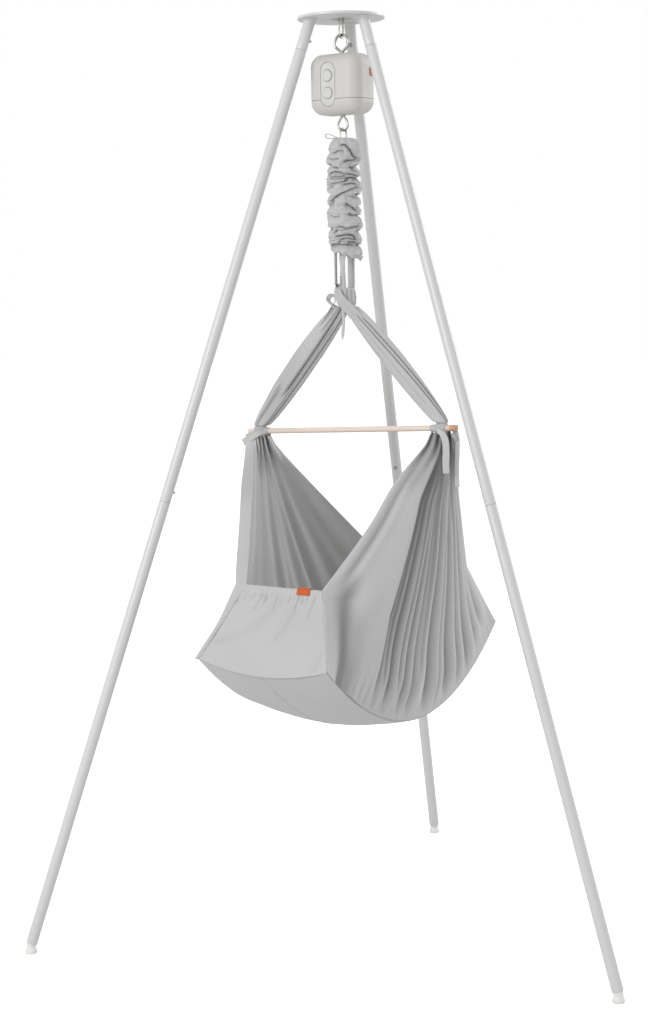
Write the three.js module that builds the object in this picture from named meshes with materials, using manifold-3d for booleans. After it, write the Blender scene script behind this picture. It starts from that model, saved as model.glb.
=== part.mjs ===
// A hanging baby cradle: a tripod stand, a lifting motor unit, a spring in a gathered cover,
// and a cloth cradle that hangs under a wooden spreader bar.
// Millimetres, +Z up. The floor is z = 0 and the origin is the middle of the stand's footprint.
// +X runs along the spreader bar, +Y along the cradle, and the control panel faces -Y.
import * as THREE from "three";
import { mergeVertices } from "three/addons/utils/BufferGeometryUtils.js";
import { RoundedBoxGeometry } from "three/addons/geometries/RoundedBoxGeometry.js";
import Module from "manifold-3d";

const wasm = await Module();
wasm.setup();

// Fits shared by every piece
const seat_gap = 0.3;
const hook_gap = 0.7;

// Stand
const joint_height = 1950;
const joint_circle_radius = 91;
const foot_circle_radius = 750;
const stand_turn = THREE.MathUtils.degToRad(18);
const leg_count = 3;
const tube_sides = 12;
const tube_radius = 12.5;
const tube_wall = 1.5;
const spigot_length = 55;
const upper_leg_length = 1021;
const foot_height = 22;
const foot_radius = 13.5;
const foot_neck_radius = 10;
const foot_plug_length = 24;
const snap_offset = 25;
const snap_radius = 3.8;
const snap_hole_radius = 4.2;
const snap_proud = 4;
const snap_flange_radius = 5.6;
const snap_flange_thickness = 1.6;

// Top plate and hanger
const plate_radius = 95;
const plate_thickness = 6;
const plate_rise = 67;
const plate_edge = 1.2;
const plate_hole_radius = 23;
const collar_radius = 28;
const collar_height = 9;
const hanger_pin_radius = 3;
const hanger_pin_overhang = 1.5;
const pin_clearance = 0.3;
const link_wire_radius = 2.5;
const link_half_width = 7;
const link_bottom_drop = 38.5;

// Motor unit
const housing_width = 131;
const housing_depth = 88;
const housing_height = 130;
const housing_corner = 28;
const housing_wall = 3;
const housing_seam_rise = 31;
const eye_wire_radius = 3;
const eye_arc_radius = 17;
const eye_height = 41.3;
const eye_shank_radius = 4.5;
const eye_shank_length = 19;
const eye_nut_radius = 8;
const eye_nut_height = 6;
const shaft_clearance = 1;
const panel_width = 36;
const panel_height = 94;
const panel_thickness = 2.4;
const panel_proud = 0.7;
const panel_offset_x = -9;
const panel_offset_z = -2;
const key_radius = 12.2;
const key_spacing = 37;
const key_clearance = 0.5;
const key_proud = 1.6;
const key_travel = 1;
const key_stem_radius = 5;
const tag_height = 18;
const tag_width = 12;
const tag_proud = 2.6;
const tag_offset_y = 16;
const tag_offset_z = 24;
const frame_width = 60;
const frame_depth = 16;
const frame_wall = 4;
const frame_height = 92;
const rack_side = 9;
const rack_length = 78;
const rack_tooth_depth = 2.4;
const rack_tooth_pitch = 4.2;
const pinion_teeth = 12;
const pinion_width = 10;
const pinion_shaft_radius = 3;
const lift_travel = 16;
const gearbox_width = 30;
const gearbox_height = 34;
const gearbox_depth = 9;
const motor_radius = 13;
const motor_length = 15;
const battery_width = 18;
const battery_depth = 44;
const battery_height = 76;
const board_width = 56;
const board_height = 66;
const board_thickness = 1.6;
const board_depth_place = 31;
const peg_radius = 2.5;
const peg_inset = 12;
const lip_height = 6;
const lip_wall = 1.6;

// Lift eye, spring and cover
const lift_eye_wire_radius = 2.5;
const lift_eye_arc_radius = 12.5;
const lift_eye_drop = 33.5;
const lift_shank_radius = 3.5;
const lift_shank_length = 30;
const spring_link_wire_radius = 1.9;
const spring_link_half_width = 11.5;
const spring_link_length = 50;
const spring_wire_radius = 1.6;
const spring_radius = 12;
const spring_hook_radius = 8;
const spring_turns = 12;
const spring_pitch = 11.8;
const ring_radius = 25;
const ring_wire_radius = 2.5;
const cover_drop = 21.2;
const cover_height = 266;
const cover_radius = 38;
const cover_hem_radius = 35;
const cover_shoulder = 52;
const cover_inner_radius = 31;
const cover_wall = 2.2;
const cover_fold_depth = 3.2;
const cover_fold_count = 10;
const cord_radius = 1;
const cord_loop_length = 34;
const cord_loop_width = 11;

// Carabiner and sling
const carabiner_wire_radius = 2.5;
const carabiner_half_width = 10.5;
const carabiner_length = 83;
const carabiner_offset = -17;
const gate_length = 36;
const gate_radius = 2.3;
const sling_band_width = 14;
const sling_band_thickness = 3;
const sling_half_width = 18;
const sling_offset = 2;
const safety_half_width = 8;
const knot_drop = 73;
const knot_height = 26;
const knot_radius = 22;
const knot_fold_count = 6;
const knot_fold_depth = 1.6;
const ribbon_width = 7;
const ribbon_thickness = 1;
const ribbon_length = 66;

// Spreader bar
const bar_half_length = 278;
const bar_radius = 6.4;
const bar_drop = 273;
const bar_rise = 10;
const hang_point = 244;
const loop_half_length = 15;
const loop_half_depth = 13;
const loop_half_height = 16;
const tie_width = 6;
const tie_thickness = 1.2;
const tie_tail_length = 62;
const tie_tail_width = 9;

// Cloth cradle
const cloth_thickness = 2;
const cradle_width = 336;
const cradle_length = 700;
const cradle_drop = 473;
const side_sag = 162;
const keel_dip = 24;
const end_panel_rise = 155;
const end_panel_inset_x = 68;
const end_panel_inset_y = 88;
const end_panel_bulge = 16;
const end_panel_thickness = 2.4;
const base_thickness = 3;
const base_side_gap = 1.6;
const base_end_gap = 1;
const wall_bulge = 16;
const wall_fold_count = 6;
const wall_fold_depth = 5;
const wall_gather_width = 20;
const strap_half_thickness = 9;
const strap_top_half_width = 10;
const strap_middle_half_width = 33;
const strap_bottom_half_width = 15;
const strap_top_place = 12;
const strap_fold_depth = 1.6;
const strap_fold_count = 4;
const hem_radius = 4;
const hem_gather_depth = 0.8;
const hem_gather_count = 5;
const front_tab_width = 34;
const front_tab_height = 19;
const front_tab_thickness = 1.2;
const front_tab_share = 0.78;
const mattress_gap = 1.2;
const mattress_end_room = 30;
const mattress_side_room = 18;
const mattress_length = cradle_length - 2 * mattress_end_room;
const mattress_width = cradle_width - 2 * mattress_side_room;
const mattress_edge = 12;
const mattress_crown = 16;

// Colours and finishes
const finish = (color, roughness, metalness = 0) =>
  new THREE.MeshStandardMaterial({ color, roughness, metalness });
const coated_metal = finish(0xc9c9c8, 0.45, 0.3);
const bright_steel = finish(0xb8b8b6, 0.25, 1);
const dark_steel = finish(0x6e6e6c, 0.4, 1);
const foot_rubber = finish(0xf2f2f0, 0.5);
const housing_plastic = finish(0xcdccc6, 0.55);
const panel_plastic = finish(0xd2d2cc, 0.5);
const tag_orange = finish(0xd87434, 0.7);
const board_green = finish(0x2c5a3c, 0.6);
const battery_grey = finish(0x4a4c50, 0.6);
const gear_white = finish(0xe8e6dd, 0.5);
const cotton = finish(0xb9b9b9, 0.95);
const cotton_tape = finish(0xc2c2c2, 0.95);
const beech = finish(0xe6cfba, 0.6);
const filling = finish(0xe4e2dc, 0.95);

// Vector and mesh helpers
const vec = (x, y, z) => new THREE.Vector3(x, y, z);
const mix = (a, b, share) => a + (b - a) * share;
const wave = (share) => Math.sin(share * Math.PI * 2);
const arch = (share) => Math.sin(share * Math.PI);
const up = vec(0, 0, 1);

function signedVolume(points, faces) {
  return faces.reduce((sum, [a, b, c]) =>
    sum + points[a].dot(points[b].clone().cross(points[c])) / 6, 0);
}

// A closed geometry from its points and triangles, with its faces turned outwards
function closedGeometry(points, faces) {
  const outward = signedVolume(points, faces) > 0 ? faces : faces.map(([a, b, c]) => [a, c, b]);
  const geometry = new THREE.BufferGeometry();
  geometry.setAttribute("position",
    new THREE.Float32BufferAttribute(points.flatMap((p) => [p.x, p.y, p.z]), 3));
  geometry.setIndex(outward.flat());
  return geometry;
}

function toSolid(geometry) {
  const bare = geometry.clone();
  bare.deleteAttribute("normal");
  bare.deleteAttribute("uv");
  const merged = mergeVertices(bare, seat_gap / 1000);
  const vertProperties = new Float32Array(merged.attributes.position.array);
  const triVerts = new Uint32Array(merged.index.array);
  return new wasm.Manifold(new wasm.Mesh({ numProp: 3, vertProperties, triVerts }));
}

function fromSolid(solid) {
  const mesh = solid.getMesh();
  const geometry = new THREE.BufferGeometry();
  geometry.setAttribute("position", new THREE.BufferAttribute(mesh.vertProperties, 3));
  geometry.setIndex(new THREE.BufferAttribute(mesh.triVerts, 1));
  return geometry;
}

const moved = (geometry, x, y, z) => geometry.clone().translate(x, y, z);
const join = (...geometries) => fromSolid(geometries.map(toSolid).reduce((a, b) => a.add(b)));
const cut = (geometry, ...tools) =>
  fromSolid(tools.map(toSolid).reduce((a, b) => a.subtract(b), toSolid(geometry)));
const common = (...geometries) =>
  fromSolid(geometries.map(toSolid).reduce((a, b) => a.intersect(b)));

const box = (x, y, z) => new THREE.BoxGeometry(x, y, z);
const rodZ = (radius, length, sides = 16) =>
  new THREE.CylinderGeometry(radius, radius, length, sides).rotateX(Math.PI / 2);
const rodX = (radius, length, sides = 16) =>
  new THREE.CylinderGeometry(radius, radius, length, sides).rotateZ(Math.PI / 2);
const rodY = (radius, length, sides = 16) =>
  new THREE.CylinderGeometry(radius, radius, length, sides);

// A turned piece about Z: the outline is a list of [radius, height], closed on itself or on the axis
function turned(outline, sides) {
  const points = outline.map(([radius, height]) => new THREE.Vector2(radius, height));
  const geometry = new THREE.LatheGeometry(points, sides).rotateX(Math.PI / 2);
  return orient(geometry);
}

function orient(geometry) {
  const bare = geometry.clone();
  bare.deleteAttribute("normal");
  bare.deleteAttribute("uv");
  const merged = mergeVertices(bare, seat_gap / 1000);
  const position = merged.attributes.position;
  const points = Array.from({ length: position.count }, (_, i) =>
    vec(position.getX(i), position.getY(i), position.getZ(i)));
  const index = Array.from(merged.index.array);
  const faces = [];
  for (let i = 0; i < index.length; i += 3) {
    const [a, b, c] = index.slice(i, i + 3);
    if (a !== b && b !== c && c !== a) faces.push([a, b, c]);
  }
  return closedGeometry(points, faces);
}

const closeOutline = (outline) => [...outline, outline[0]];

// Triangles of a grid of points, wrapped round in its first direction when asked
function gridFaces(columns, rows, wrapped, start = 0) {
  const across = wrapped ? columns : columns + 1;
  const at = (i, j) => start + j * across + (i % across);
  const faces = [];
  for (let j = 0; j < rows; j += 1) {
    for (let i = 0; i < columns; i += 1) {
      faces.push([at(i, j), at(i + 1, j), at(i + 1, j + 1)]);
      faces.push([at(i, j), at(i + 1, j + 1), at(i, j + 1)]);
    }
  }
  return faces;
}

// A solid between two surfaces over one grid: each surface gives a point for (a, b) in 0..1
function slab(lower, upper, columns, rows) {
  const points = [];
  for (const surface of [lower, upper]) {
    for (let j = 0; j <= rows; j += 1) {
      for (let i = 0; i <= columns; i += 1) points.push(surface(i / columns, j / rows));
    }
  }
  const across = columns + 1;
  const count = across * (rows + 1);
  const faces = gridFaces(columns, rows, false, count);
  for (const [a, b, c] of gridFaces(columns, rows, false)) faces.push([a, c, b]);
  const border = [];
  for (let i = 0; i < columns; i += 1) border.push(i);
  for (let j = 0; j < rows; j += 1) border.push(j * across + columns);
  for (let i = columns; i > 0; i -= 1) border.push(rows * across + i);
  for (let j = rows; j > 0; j -= 1) border.push(j * across);
  border.forEach((a, k) => {
    const b = border[(k + 1) % border.length];
    faces.push([a, b, b + count], [a, b + count, a + count]);
  });
  return closedGeometry(points, faces);
}

function surfaceNormal(surface, a, b) {
  const step = 1e-3;
  const along = surface(Math.min(a + step, 1), b).sub(surface(Math.max(a - step, 0), b));
  const across = surface(a, Math.min(b + step, 1)).sub(surface(a, Math.max(b - step, 0)));
  return along.cross(across).normalize();
}

// Cloth of one thickness about a middle surface, moved along its normal by an offset
function sheet(surface, columns, rows, thickness, offset = 0) {
  const side = (distance) => (a, b) =>
    surface(a, b).addScaledVector(surfaceNormal(surface, a, b), distance);
  return slab(side(offset - thickness / 2), side(offset + thickness / 2), columns, rows);
}

// A solid that follows closed rings of points, with flat fan ends
function loft(ringPoint, columns, rows) {
  const points = [];
  for (let j = 0; j <= rows; j += 1) {
    for (let i = 0; i < columns; i += 1) points.push(ringPoint(i / columns, j / rows));
  }
  const faces = gridFaces(columns, rows, true);
  for (const j of [0, rows]) {
    const ring = points.slice(j * columns, (j + 1) * columns);
    const middle = ring.reduce((sum, p) => sum.add(p), vec(0, 0, 0)).divideScalar(columns);
    points.push(middle);
    for (let i = 0; i < columns; i += 1) {
      const a = j * columns + i;
      const b = j * columns + ((i + 1) % columns);
      faces.push(j === 0 ? [points.length - 1, b, a] : [points.length - 1, a, b]);
    }
  }
  return closedGeometry(points, faces);
}

// A hollow solid between outer and inner rings that share their ends
function hollowLoft(outer, inner, columns, outer_rows, inner_rows) {
  const points = [];
  for (let j = 0; j <= outer_rows; j += 1) {
    for (let i = 0; i < columns; i += 1) points.push(outer(i / columns, j / outer_rows));
  }
  const start = points.length;
  for (let j = 0; j <= inner_rows; j += 1) {
    for (let i = 0; i < columns; i += 1) points.push(inner(i / columns, j / inner_rows));
  }
  const faces = gridFaces(columns, outer_rows, true);
  for (const [a, b, c] of gridFaces(columns, inner_rows, true, start)) faces.push([a, c, b]);
  for (const [first, second, flip] of [[0, start, true],
    [outer_rows * columns, start + inner_rows * columns, false]]) {
    for (let i = 0; i < columns; i += 1) {
      const k = (i + 1) % columns;
      const quad = [first + i, first + k, second + k, second + i];
      const [a, b, c, d] = flip ? [quad[0], quad[3], quad[2], quad[1]] : quad;
      faces.push([a, b, c], [a, c, d]);
    }
  }
  return closedGeometry(points, faces);
}

// Round wire along a closed flat path; the normal is that of the path's plane
function wireLoop(path, radius, normal, sides = 8) {
  const points = [];
  path.forEach((p, k) => {
    const before = path[(k + path.length - 1) % path.length];
    const after = path[(k + 1) % path.length];
    const inward = after.clone().sub(before).normalize().cross(normal);
    for (let i = 0; i < sides; i += 1) {
      const angle = (i / sides) * Math.PI * 2;
      points.push(p.clone().addScaledVector(inward, Math.cos(angle) * radius)
        .addScaledVector(normal, Math.sin(angle) * radius));
    }
  });
  const faces = [];
  path.forEach((_, k) => {
    const next = (k + 1) % path.length;
    for (let i = 0; i < sides; i += 1) {
      const side = (i + 1) % sides;
      const quad = [k * sides + i, k * sides + side, next * sides + side, next * sides + i];
      faces.push([quad[0], quad[1], quad[2]], [quad[0], quad[2], quad[3]]);
    }
  });
  return closedGeometry(points, faces);
}

// Round wire along an open path of points
function wire(points, radius, steps, sides = 8) {
  const section = new THREE.Shape();
  for (let i = 0; i < sides; i += 1) {
    const angle = (i / sides) * Math.PI * 2;
    const place = [Math.cos(angle) * radius, Math.sin(angle) * radius];
    if (i === 0) section.moveTo(...place);
    else section.lineTo(...place);
  }
  const extrudePath = new THREE.CatmullRomCurve3(points);
  return orient(new THREE.ExtrudeGeometry(section, { steps, extrudePath, bevelEnabled: false }));
}

const arc = (from, to, count) =>
  Array.from({ length: count + 1 }, (_, k) => mix(from, to, k / count));

// A stadium path in the plane of Y and Z
function stadiumPath(half_width, low, high, x = 0) {
  const top = arc(0, Math.PI, 8).map((angle) =>
    vec(x, Math.cos(angle) * half_width, high - half_width + Math.sin(angle) * half_width));
  const bottom = arc(Math.PI, Math.PI * 2, 8).map((angle) =>
    vec(x, Math.cos(angle) * half_width, low + half_width + Math.sin(angle) * half_width));
  return [...top, ...bottom];
}

// A teardrop path in the plane of X and Z, from its round end to its point
function teardropPath(radius, round_height, point_height) {
  const reach = Math.abs(round_height - point_height);
  const side = Math.sign(round_height - point_height);
  const tangent = Math.acos(radius / reach);
  const angles = arc(-Math.PI / 2 + tangent, (Math.PI * 3) / 2 - tangent, 14);
  return [...angles.map((angle) =>
    vec(Math.cos(angle) * radius, 0, round_height + side * Math.sin(angle) * radius)),
  vec(0, 0, point_height)];
}

const object = new THREE.Group();

function place(parent, name, geometry, material) {
  const mesh = new THREE.Mesh(orient(geometry), material);
  mesh.name = name;
  parent.add(mesh);
  return mesh;
}

// Stand: one leg is drawn upright from its upper joint, which is its local z = 0.
// Local -X faces the stand's middle.
const leg_splay = Math.atan((foot_circle_radius - joint_circle_radius) / joint_height);
const leg_length = joint_height / Math.cos(leg_splay);
const tube_bore = tube_radius - tube_wall;
const spigot_radius = tube_bore - seat_gap;
const spigot_bore = spigot_radius - tube_wall;
const lower_leg_end = -(leg_length - foot_height / Math.cos(leg_splay));
const plate_bottom = joint_height + plate_rise;
const plate_top = plate_bottom + plate_thickness;

const stand = new THREE.Group();
stand.rotation.z = stand_turn;
const legs = Array.from({ length: leg_count }, (_, i) => {
  const turn = new THREE.Group();
  turn.rotation.z = -Math.PI / 6 + (i * Math.PI * 2) / leg_count;
  const lean = new THREE.Group();
  lean.position.set(joint_circle_radius, 0, joint_height);
  lean.rotation.y = -leg_splay;
  turn.add(lean);
  stand.add(turn);
  return { turn, lean };
});

const snapHole = (joint) =>
  moved(rodX(snap_hole_radius, tube_radius, 8), -tube_radius, 0, joint + snap_offset);

// A tube whose top is drawn in to a spigot
function legTube(top, bottom) {
  const outline = closeOutline([
    [tube_bore, bottom], [tube_radius, bottom], [tube_radius, top], [spigot_radius, top],
    [spigot_radius, top + spigot_length], [spigot_bore, top + spigot_length],
    [spigot_bore, top - tube_wall], [tube_bore, top - tube_wall - tube_wall],
  ]);
  return turned(outline, tube_sides);
}

function upperLeg() {
  return cut(legTube(0, seat_gap - upper_leg_length), snapHole(0), snapHole(-upper_leg_length));
}

function lowerLeg() {
  return cut(legTube(-upper_leg_length, lower_leg_end), snapHole(-upper_leg_length));
}

// The socket is a plain tube, cut level just under the plate
function legSocket() {
  const reach = plate_rise / Math.cos(leg_splay);
  const outline = closeOutline([[tube_bore, seat_gap], [tube_radius, seat_gap],
    [tube_radius, reach + tube_radius], [tube_bore, reach + tube_radius]]);
  const tube = cut(turned(outline, tube_sides), snapHole(0));
  tube.rotateY(-leg_splay).translate(joint_circle_radius, 0, joint_height);
  const above = box(plate_radius * 2, plate_radius * 2, plate_rise);
  above.translate(0, 0, plate_bottom - seat_gap + plate_rise / 2);
  return cut(tube, above);
}

// A domed button on a flange that rests inside the spigot
function snapButton(joint) {
  const inner = -spigot_bore + seat_gap;
  const reach = tube_radius + snap_proud + inner;
  const outline = [[0, reach], [snap_radius * Math.SQRT1_2, reach - snap_radius / 4],
    [snap_radius, reach - snap_radius], [snap_radius, 0], [0, 0]];
  const pin = turned(outline, 8).rotateY(-Math.PI / 2);
  const flange = moved(rodX(snap_flange_radius, snap_flange_thickness, 8),
    snap_flange_thickness / 2, 0, 0);
  const seat_depth = Math.sqrt(spigot_bore ** 2 - snap_flange_radius ** 2) - seat_gap;
  const button = join(pin.translate(snap_flange_thickness / 2, 0, 0), flange);
  button.translate(-seat_depth, 0, joint + snap_offset);
  return button;
}

// A bell-shaped foot, flat on the floor, with a plug up the leg
function foot() {
  const bell = turned([[0, 0], [foot_radius - foot_height / 10, 0], [foot_radius, foot_height / 8],
    [foot_radius * 0.9, foot_height / 3], [foot_neck_radius, foot_height * 0.7],
    [foot_neck_radius * 0.9, foot_height], [0, foot_height]], tube_sides);
  bell.translate(foot_circle_radius - foot_height * Math.tan(leg_splay) * 0.75, 0, 0);
  const plug_radius = tube_bore - seat_gap;
  const plug = turned([[0, -foot_height / 2], [plug_radius, -foot_height / 2],
    [plug_radius, foot_plug_length], [0, foot_plug_length]], tube_sides);
  plug.translate(0, 0, lower_leg_end).rotateY(-leg_splay);
  plug.translate(joint_circle_radius, 0, joint_height);
  const tube_end = turned(closeOutline([[tube_bore - seat_gap, -seat_gap],
    [tube_radius * 2, -seat_gap], [tube_radius * 2, foot_plug_length],
    [tube_bore - seat_gap, foot_plug_length]]), tube_sides);
  tube_end.translate(0, 0, lower_leg_end).rotateY(-leg_splay);
  tube_end.translate(joint_circle_radius, 0, joint_height);
  return cut(join(bell, plug), tube_end);
}

legs.forEach(({ turn, lean }, i) => {
  const number = i + 1;
  place(turn, `leg_socket_${number}`, legSocket(), coated_metal);
  place(lean, `upper_leg_${number}`, upperLeg(), coated_metal);
  place(lean, `lower_leg_${number}`, lowerLeg(), coated_metal);
  place(lean, `upper_snap_button_${number}`, snapButton(0), bright_steel);
  place(lean, `lower_snap_button_${number}`, snapButton(-upper_leg_length), bright_steel);
  place(turn, `foot_${number}`, foot(), foot_rubber);
});

// The footprint's middle, which is the origin, lies off the hanging axis
function footprintMiddle() {
  const middle = new THREE.Box3();
  const probe = stand.clone();
  probe.updateMatrixWorld(true);
  middle.setFromObject(probe, true);
  return middle.getCenter(vec(0, 0, 0));
}
const footprint = footprintMiddle();
const hanging = new THREE.Group();
hanging.position.set(-footprint.x, -footprint.y, 0);
stand.position.copy(hanging.position);
object.add(stand, hanging);

// Top plate with a collar for the hanger pin
const pin_height = plate_top + collar_height / 2;
const pin_length = (collar_radius + hanger_pin_overhang) * 2;

function topPlate() {
  const disc = turned(closeOutline([
    [plate_hole_radius, plate_bottom], [plate_radius - plate_edge, plate_bottom],
    [plate_radius, plate_bottom + plate_edge], [plate_radius, plate_top - plate_edge],
    [plate_radius - plate_edge, plate_top], [collar_radius, plate_top],
    [collar_radius, plate_top + collar_height], [plate_hole_radius, plate_top + collar_height],
  ]), 32);
  const pin_hole = moved(rodX(hanger_pin_radius + pin_clearance, pin_length, 12), 0, 0, pin_height);
  return cut(disc, pin_hole);
}

place(hanging, "top_plate", topPlate(), coated_metal);
place(hanging, "hanger_pin", moved(rodX(hanger_pin_radius, pin_length, 12), 0, 0, pin_height),
  dark_steel);

// Hanger link: a steel oval that hangs on the pin and carries the motor's eye
const link_high = pin_height + hanger_pin_radius + seat_gap + link_wire_radius;
const link_low = plate_bottom - link_bottom_drop;
place(hanging, "hanger_link",
  wireLoop(stadiumPath(link_half_width, link_low, link_high), link_wire_radius, vec(1, 0, 0)),
  bright_steel);

// Motor unit: its eye's arc rests on the link's wire, and the case hangs from the eye
const top_eye_wire = link_low + link_wire_radius + seat_gap + eye_wire_radius;
const housing_top_height = top_eye_wire - eye_height;
const housing_bottom = housing_top_height - housing_height;
const housing_middle = housing_top_height - housing_height / 2;
const seam_height = housing_bottom + housing_seam_rise;
const housing_face = housing_depth / 2;

// The housing's outer form, grown or shrunk evenly
function housingForm(growth, segments = 3) {
  return orient(new RoundedBoxGeometry(housing_width + growth * 2, housing_depth + growth * 2,
    housing_height + growth * 2, segments, housing_corner + growth)
    .translate(0, 0, housing_middle));
}

function pill(width, height, depth, x, z, sides = 12) {
  const shape = new THREE.Shape();
  const radius = width / 2;
  const straight = height / 2 - radius;
  shape.absarc(0, straight, radius, 0, Math.PI, false);
  shape.absarc(0, -straight, radius, Math.PI, Math.PI * 2, false);
  const geometry = new THREE.ExtrudeGeometry(shape,
    { depth, bevelEnabled: false, curveSegments: sides });
  return orient(geometry.translate(0, 0, -depth / 2).rotateX(Math.PI / 2).translate(x, 0, z));
}

const panel_z = housing_middle + panel_offset_z;
const panel_depth_reach = housing_corner;
const key_places = [panel_z + key_spacing / 2, panel_z - key_spacing / 2];
const panelPill = (clearance) => moved(
  pill(panel_width + clearance * 2, panel_height + clearance * 2, panel_depth_reach,
    panel_offset_x, panel_z), 0, -housing_face, 0);
const keyHole = (z) => moved(rodY(key_radius + key_clearance, panel_depth_reach, 20),
  panel_offset_x, -housing_face, z);
const stemHole = (z) => moved(rodY(key_stem_radius + key_clearance, panel_depth_reach, 12),
  panel_offset_x, -housing_face, z);

const inner_form = housingForm(-housing_wall, 2);
const below_seam = moved(box(housing_width * 2, housing_depth * 2, housing_height),
  0, 0, seam_height - housing_height / 2);
const above_seam = moved(box(housing_width * 2, housing_depth * 2, housing_height),
  0, 0, seam_height - seat_gap + housing_height / 2);
const panelRecess = () => cut(panelPill(seat_gap), housingForm(-panel_thickness));

function motorHousing() {
  const eye_hole = moved(rodZ(eye_shank_radius + shaft_clearance, housing_corner * 2), 0, 0,
    housing_top_height);
  return cut(housingForm(0), inner_form, below_seam, eye_hole, panelRecess(),
    ...key_places.map(stemHole));
}

// A level slice of the housing's form between two heights
function formSlice(growth, low, high) {
  const slice = moved(box(housing_width * 2, housing_depth * 2, high - low),
    0, 0, (low + high) / 2);
  return common(housingForm(growth, 2), slice);
}

// The base clips into the housing with a lip that stands up inside the seam
function motorBase() {
  const lip_low = seam_height - lip_height;
  const lip = formSlice(-housing_wall - seat_gap, lip_low, seam_height + lip_height);
  const root = formSlice(-housing_wall / 2, lip_low, seam_height - seat_gap);
  const hollow = housingForm(-housing_wall - seat_gap - lip_wall, 2);
  const shell = cut(housingForm(0), inner_form, above_seam);
  const eye_hole = moved(rodZ(lift_shank_radius + shaft_clearance, housing_corner), 0, 0,
    housing_bottom);
  return cut(join(shell, cut(join(lip, root), hollow)), eye_hole, panelRecess());
}

// The control panel fits its recess and stands a little proud; its keys pass through it
function controlPanel() {
  return cut(common(panelPill(0), housingForm(panel_proud)),
    housingForm(seat_gap - panel_thickness), ...key_places.map(keyHole));
}

function controlKey(z) {
  const cap = cut(common(moved(rodY(key_radius, panel_depth_reach, 20),
    panel_offset_x, -housing_face, z), housingForm(key_proud)),
  housingForm(seat_gap + key_travel - panel_thickness));
  const board_face = -board_depth_place - board_thickness / 2;
  const stem_end = board_face - key_travel - seat_gap;
  const stem_start = -housing_face;
  const stem = moved(rodY(key_stem_radius, stem_end - stem_start, 12),
    panel_offset_x, (stem_end + stem_start) / 2, z);
  return join(cap, stem);
}

function sideTag() {
  const block = moved(box(housing_corner, tag_width, tag_height), housing_width / 2,
    tag_offset_y, housing_middle + tag_offset_z);
  return cut(common(block, housingForm(tag_proud)), housingForm(seat_gap));
}

place(hanging, "motor_housing", motorHousing(), housing_plastic);
place(hanging, "motor_base", motorBase(), housing_plastic);
place(hanging, "control_panel", controlPanel(), panel_plastic);
place(hanging, "up_key", controlKey(key_places[0]), panel_plastic);
place(hanging, "down_key", controlKey(key_places[1]), panel_plastic);
place(hanging, "side_tag", sideTag(), tag_orange);

// Top eye: its shank is nutted to the inner frame
const frame_top = housing_top_height - housing_wall - seat_gap;
const frame_bottom = frame_top - frame_height;

function topEye() {
  const point = housing_top_height + eye_wire_radius;
  const drop = wireLoop(teardropPath(eye_arc_radius, top_eye_wire - eye_arc_radius, point),
    eye_wire_radius, vec(0, 1, 0));
  const shank = moved(rodZ(eye_shank_radius, eye_shank_length, 12), 0, 0,
    point - eye_shank_length / 2);
  return join(drop, shank);
}

function eyeNut() {
  return moved(cut(rodZ(eye_nut_radius, eye_nut_height, 6),
    rodZ(eye_shank_radius + seat_gap, eye_nut_height * 2, 12)), 0, 0,
  frame_top - frame_wall - seat_gap - eye_nut_height / 2);
}

// Inner frame: a steel ring of flat bar that carries the eye above and guides the rack below
function innerFrame() {
  const middle = (frame_top + frame_bottom) / 2;
  const ring = cut(box(frame_width, frame_depth, frame_height),
    box(frame_width - frame_wall * 2, frame_depth * 2, frame_height - frame_wall * 2));
  ring.translate(0, 0, middle);
  const top_hole = moved(rodZ(eye_shank_radius + seat_gap, frame_wall * 3, 12), 0, 0, frame_top);
  const guide = moved(box(rack_side + seat_gap * 2, rack_side + seat_gap * 2, frame_wall * 3),
    0, 0, frame_bottom);
  return cut(ring, top_hole, guide);
}

// Rack and pinion: the rack's tooth line is the pinion's pitch circle
const pinion_pitch_radius = (pinion_teeth * rack_tooth_pitch) / (Math.PI * 2);
const pinion_x = rack_side / 2 + pinion_pitch_radius;
const rack_bottom = frame_bottom - lift_travel / 2;
const drive_height = rack_bottom + rack_length / 2;

function liftRack() {
  const bar = box(rack_side, rack_side, rack_length);
  const notch_count = Math.floor(rack_length / 2 / rack_tooth_pitch);
  const notches = arc(-notch_count / 2, notch_count / 2, notch_count).map((k) =>
    moved(box(rack_tooth_depth, rack_side * 2, rack_tooth_pitch / 2 + seat_gap),
      rack_side / 2, 0, (k + 0.5) * rack_tooth_pitch));
  const socket = moved(rodZ(lift_shank_radius + seat_gap, lift_shank_length, 12), 0, 0,
    -rack_length / 2);
  return cut(bar, ...notches, socket).translate(0, 0, drive_height);
}

function pinion() {
  const shape = new THREE.Shape();
  const tip = rack_tooth_depth / 2 - seat_gap;
  for (let k = 0; k < pinion_teeth; k += 1) {
    const angle = (k / pinion_teeth) * Math.PI * 2;
    const half_step = Math.PI / pinion_teeth;
    const corners = [[-0.55, -tip], [-0.3, tip], [0.3, tip], [0.55, -tip]];
    for (const [side_share, rise] of corners) {
      const at = angle + Math.PI + side_share * half_step;
      const radius = pinion_pitch_radius - seat_gap + rise;
      const spot = [Math.cos(at) * radius, Math.sin(at) * radius];
      if (k === 0 && side_share === corners[0][0]) shape.moveTo(...spot);
      else shape.lineTo(...spot);
    }
  }
  const wheel = orient(new THREE.ExtrudeGeometry(shape,
    { depth: pinion_width, bevelEnabled: false })
    .translate(0, 0, -pinion_width / 2).rotateX(Math.PI / 2));
  const shaft_length = frame_depth / 2 + gearbox_depth / 2;
  const shaft = moved(rodY(pinion_shaft_radius, shaft_length, 12), 0, shaft_length / 2, 0);
  return join(wheel, shaft).translate(pinion_x, 0, drive_height);
}

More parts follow.
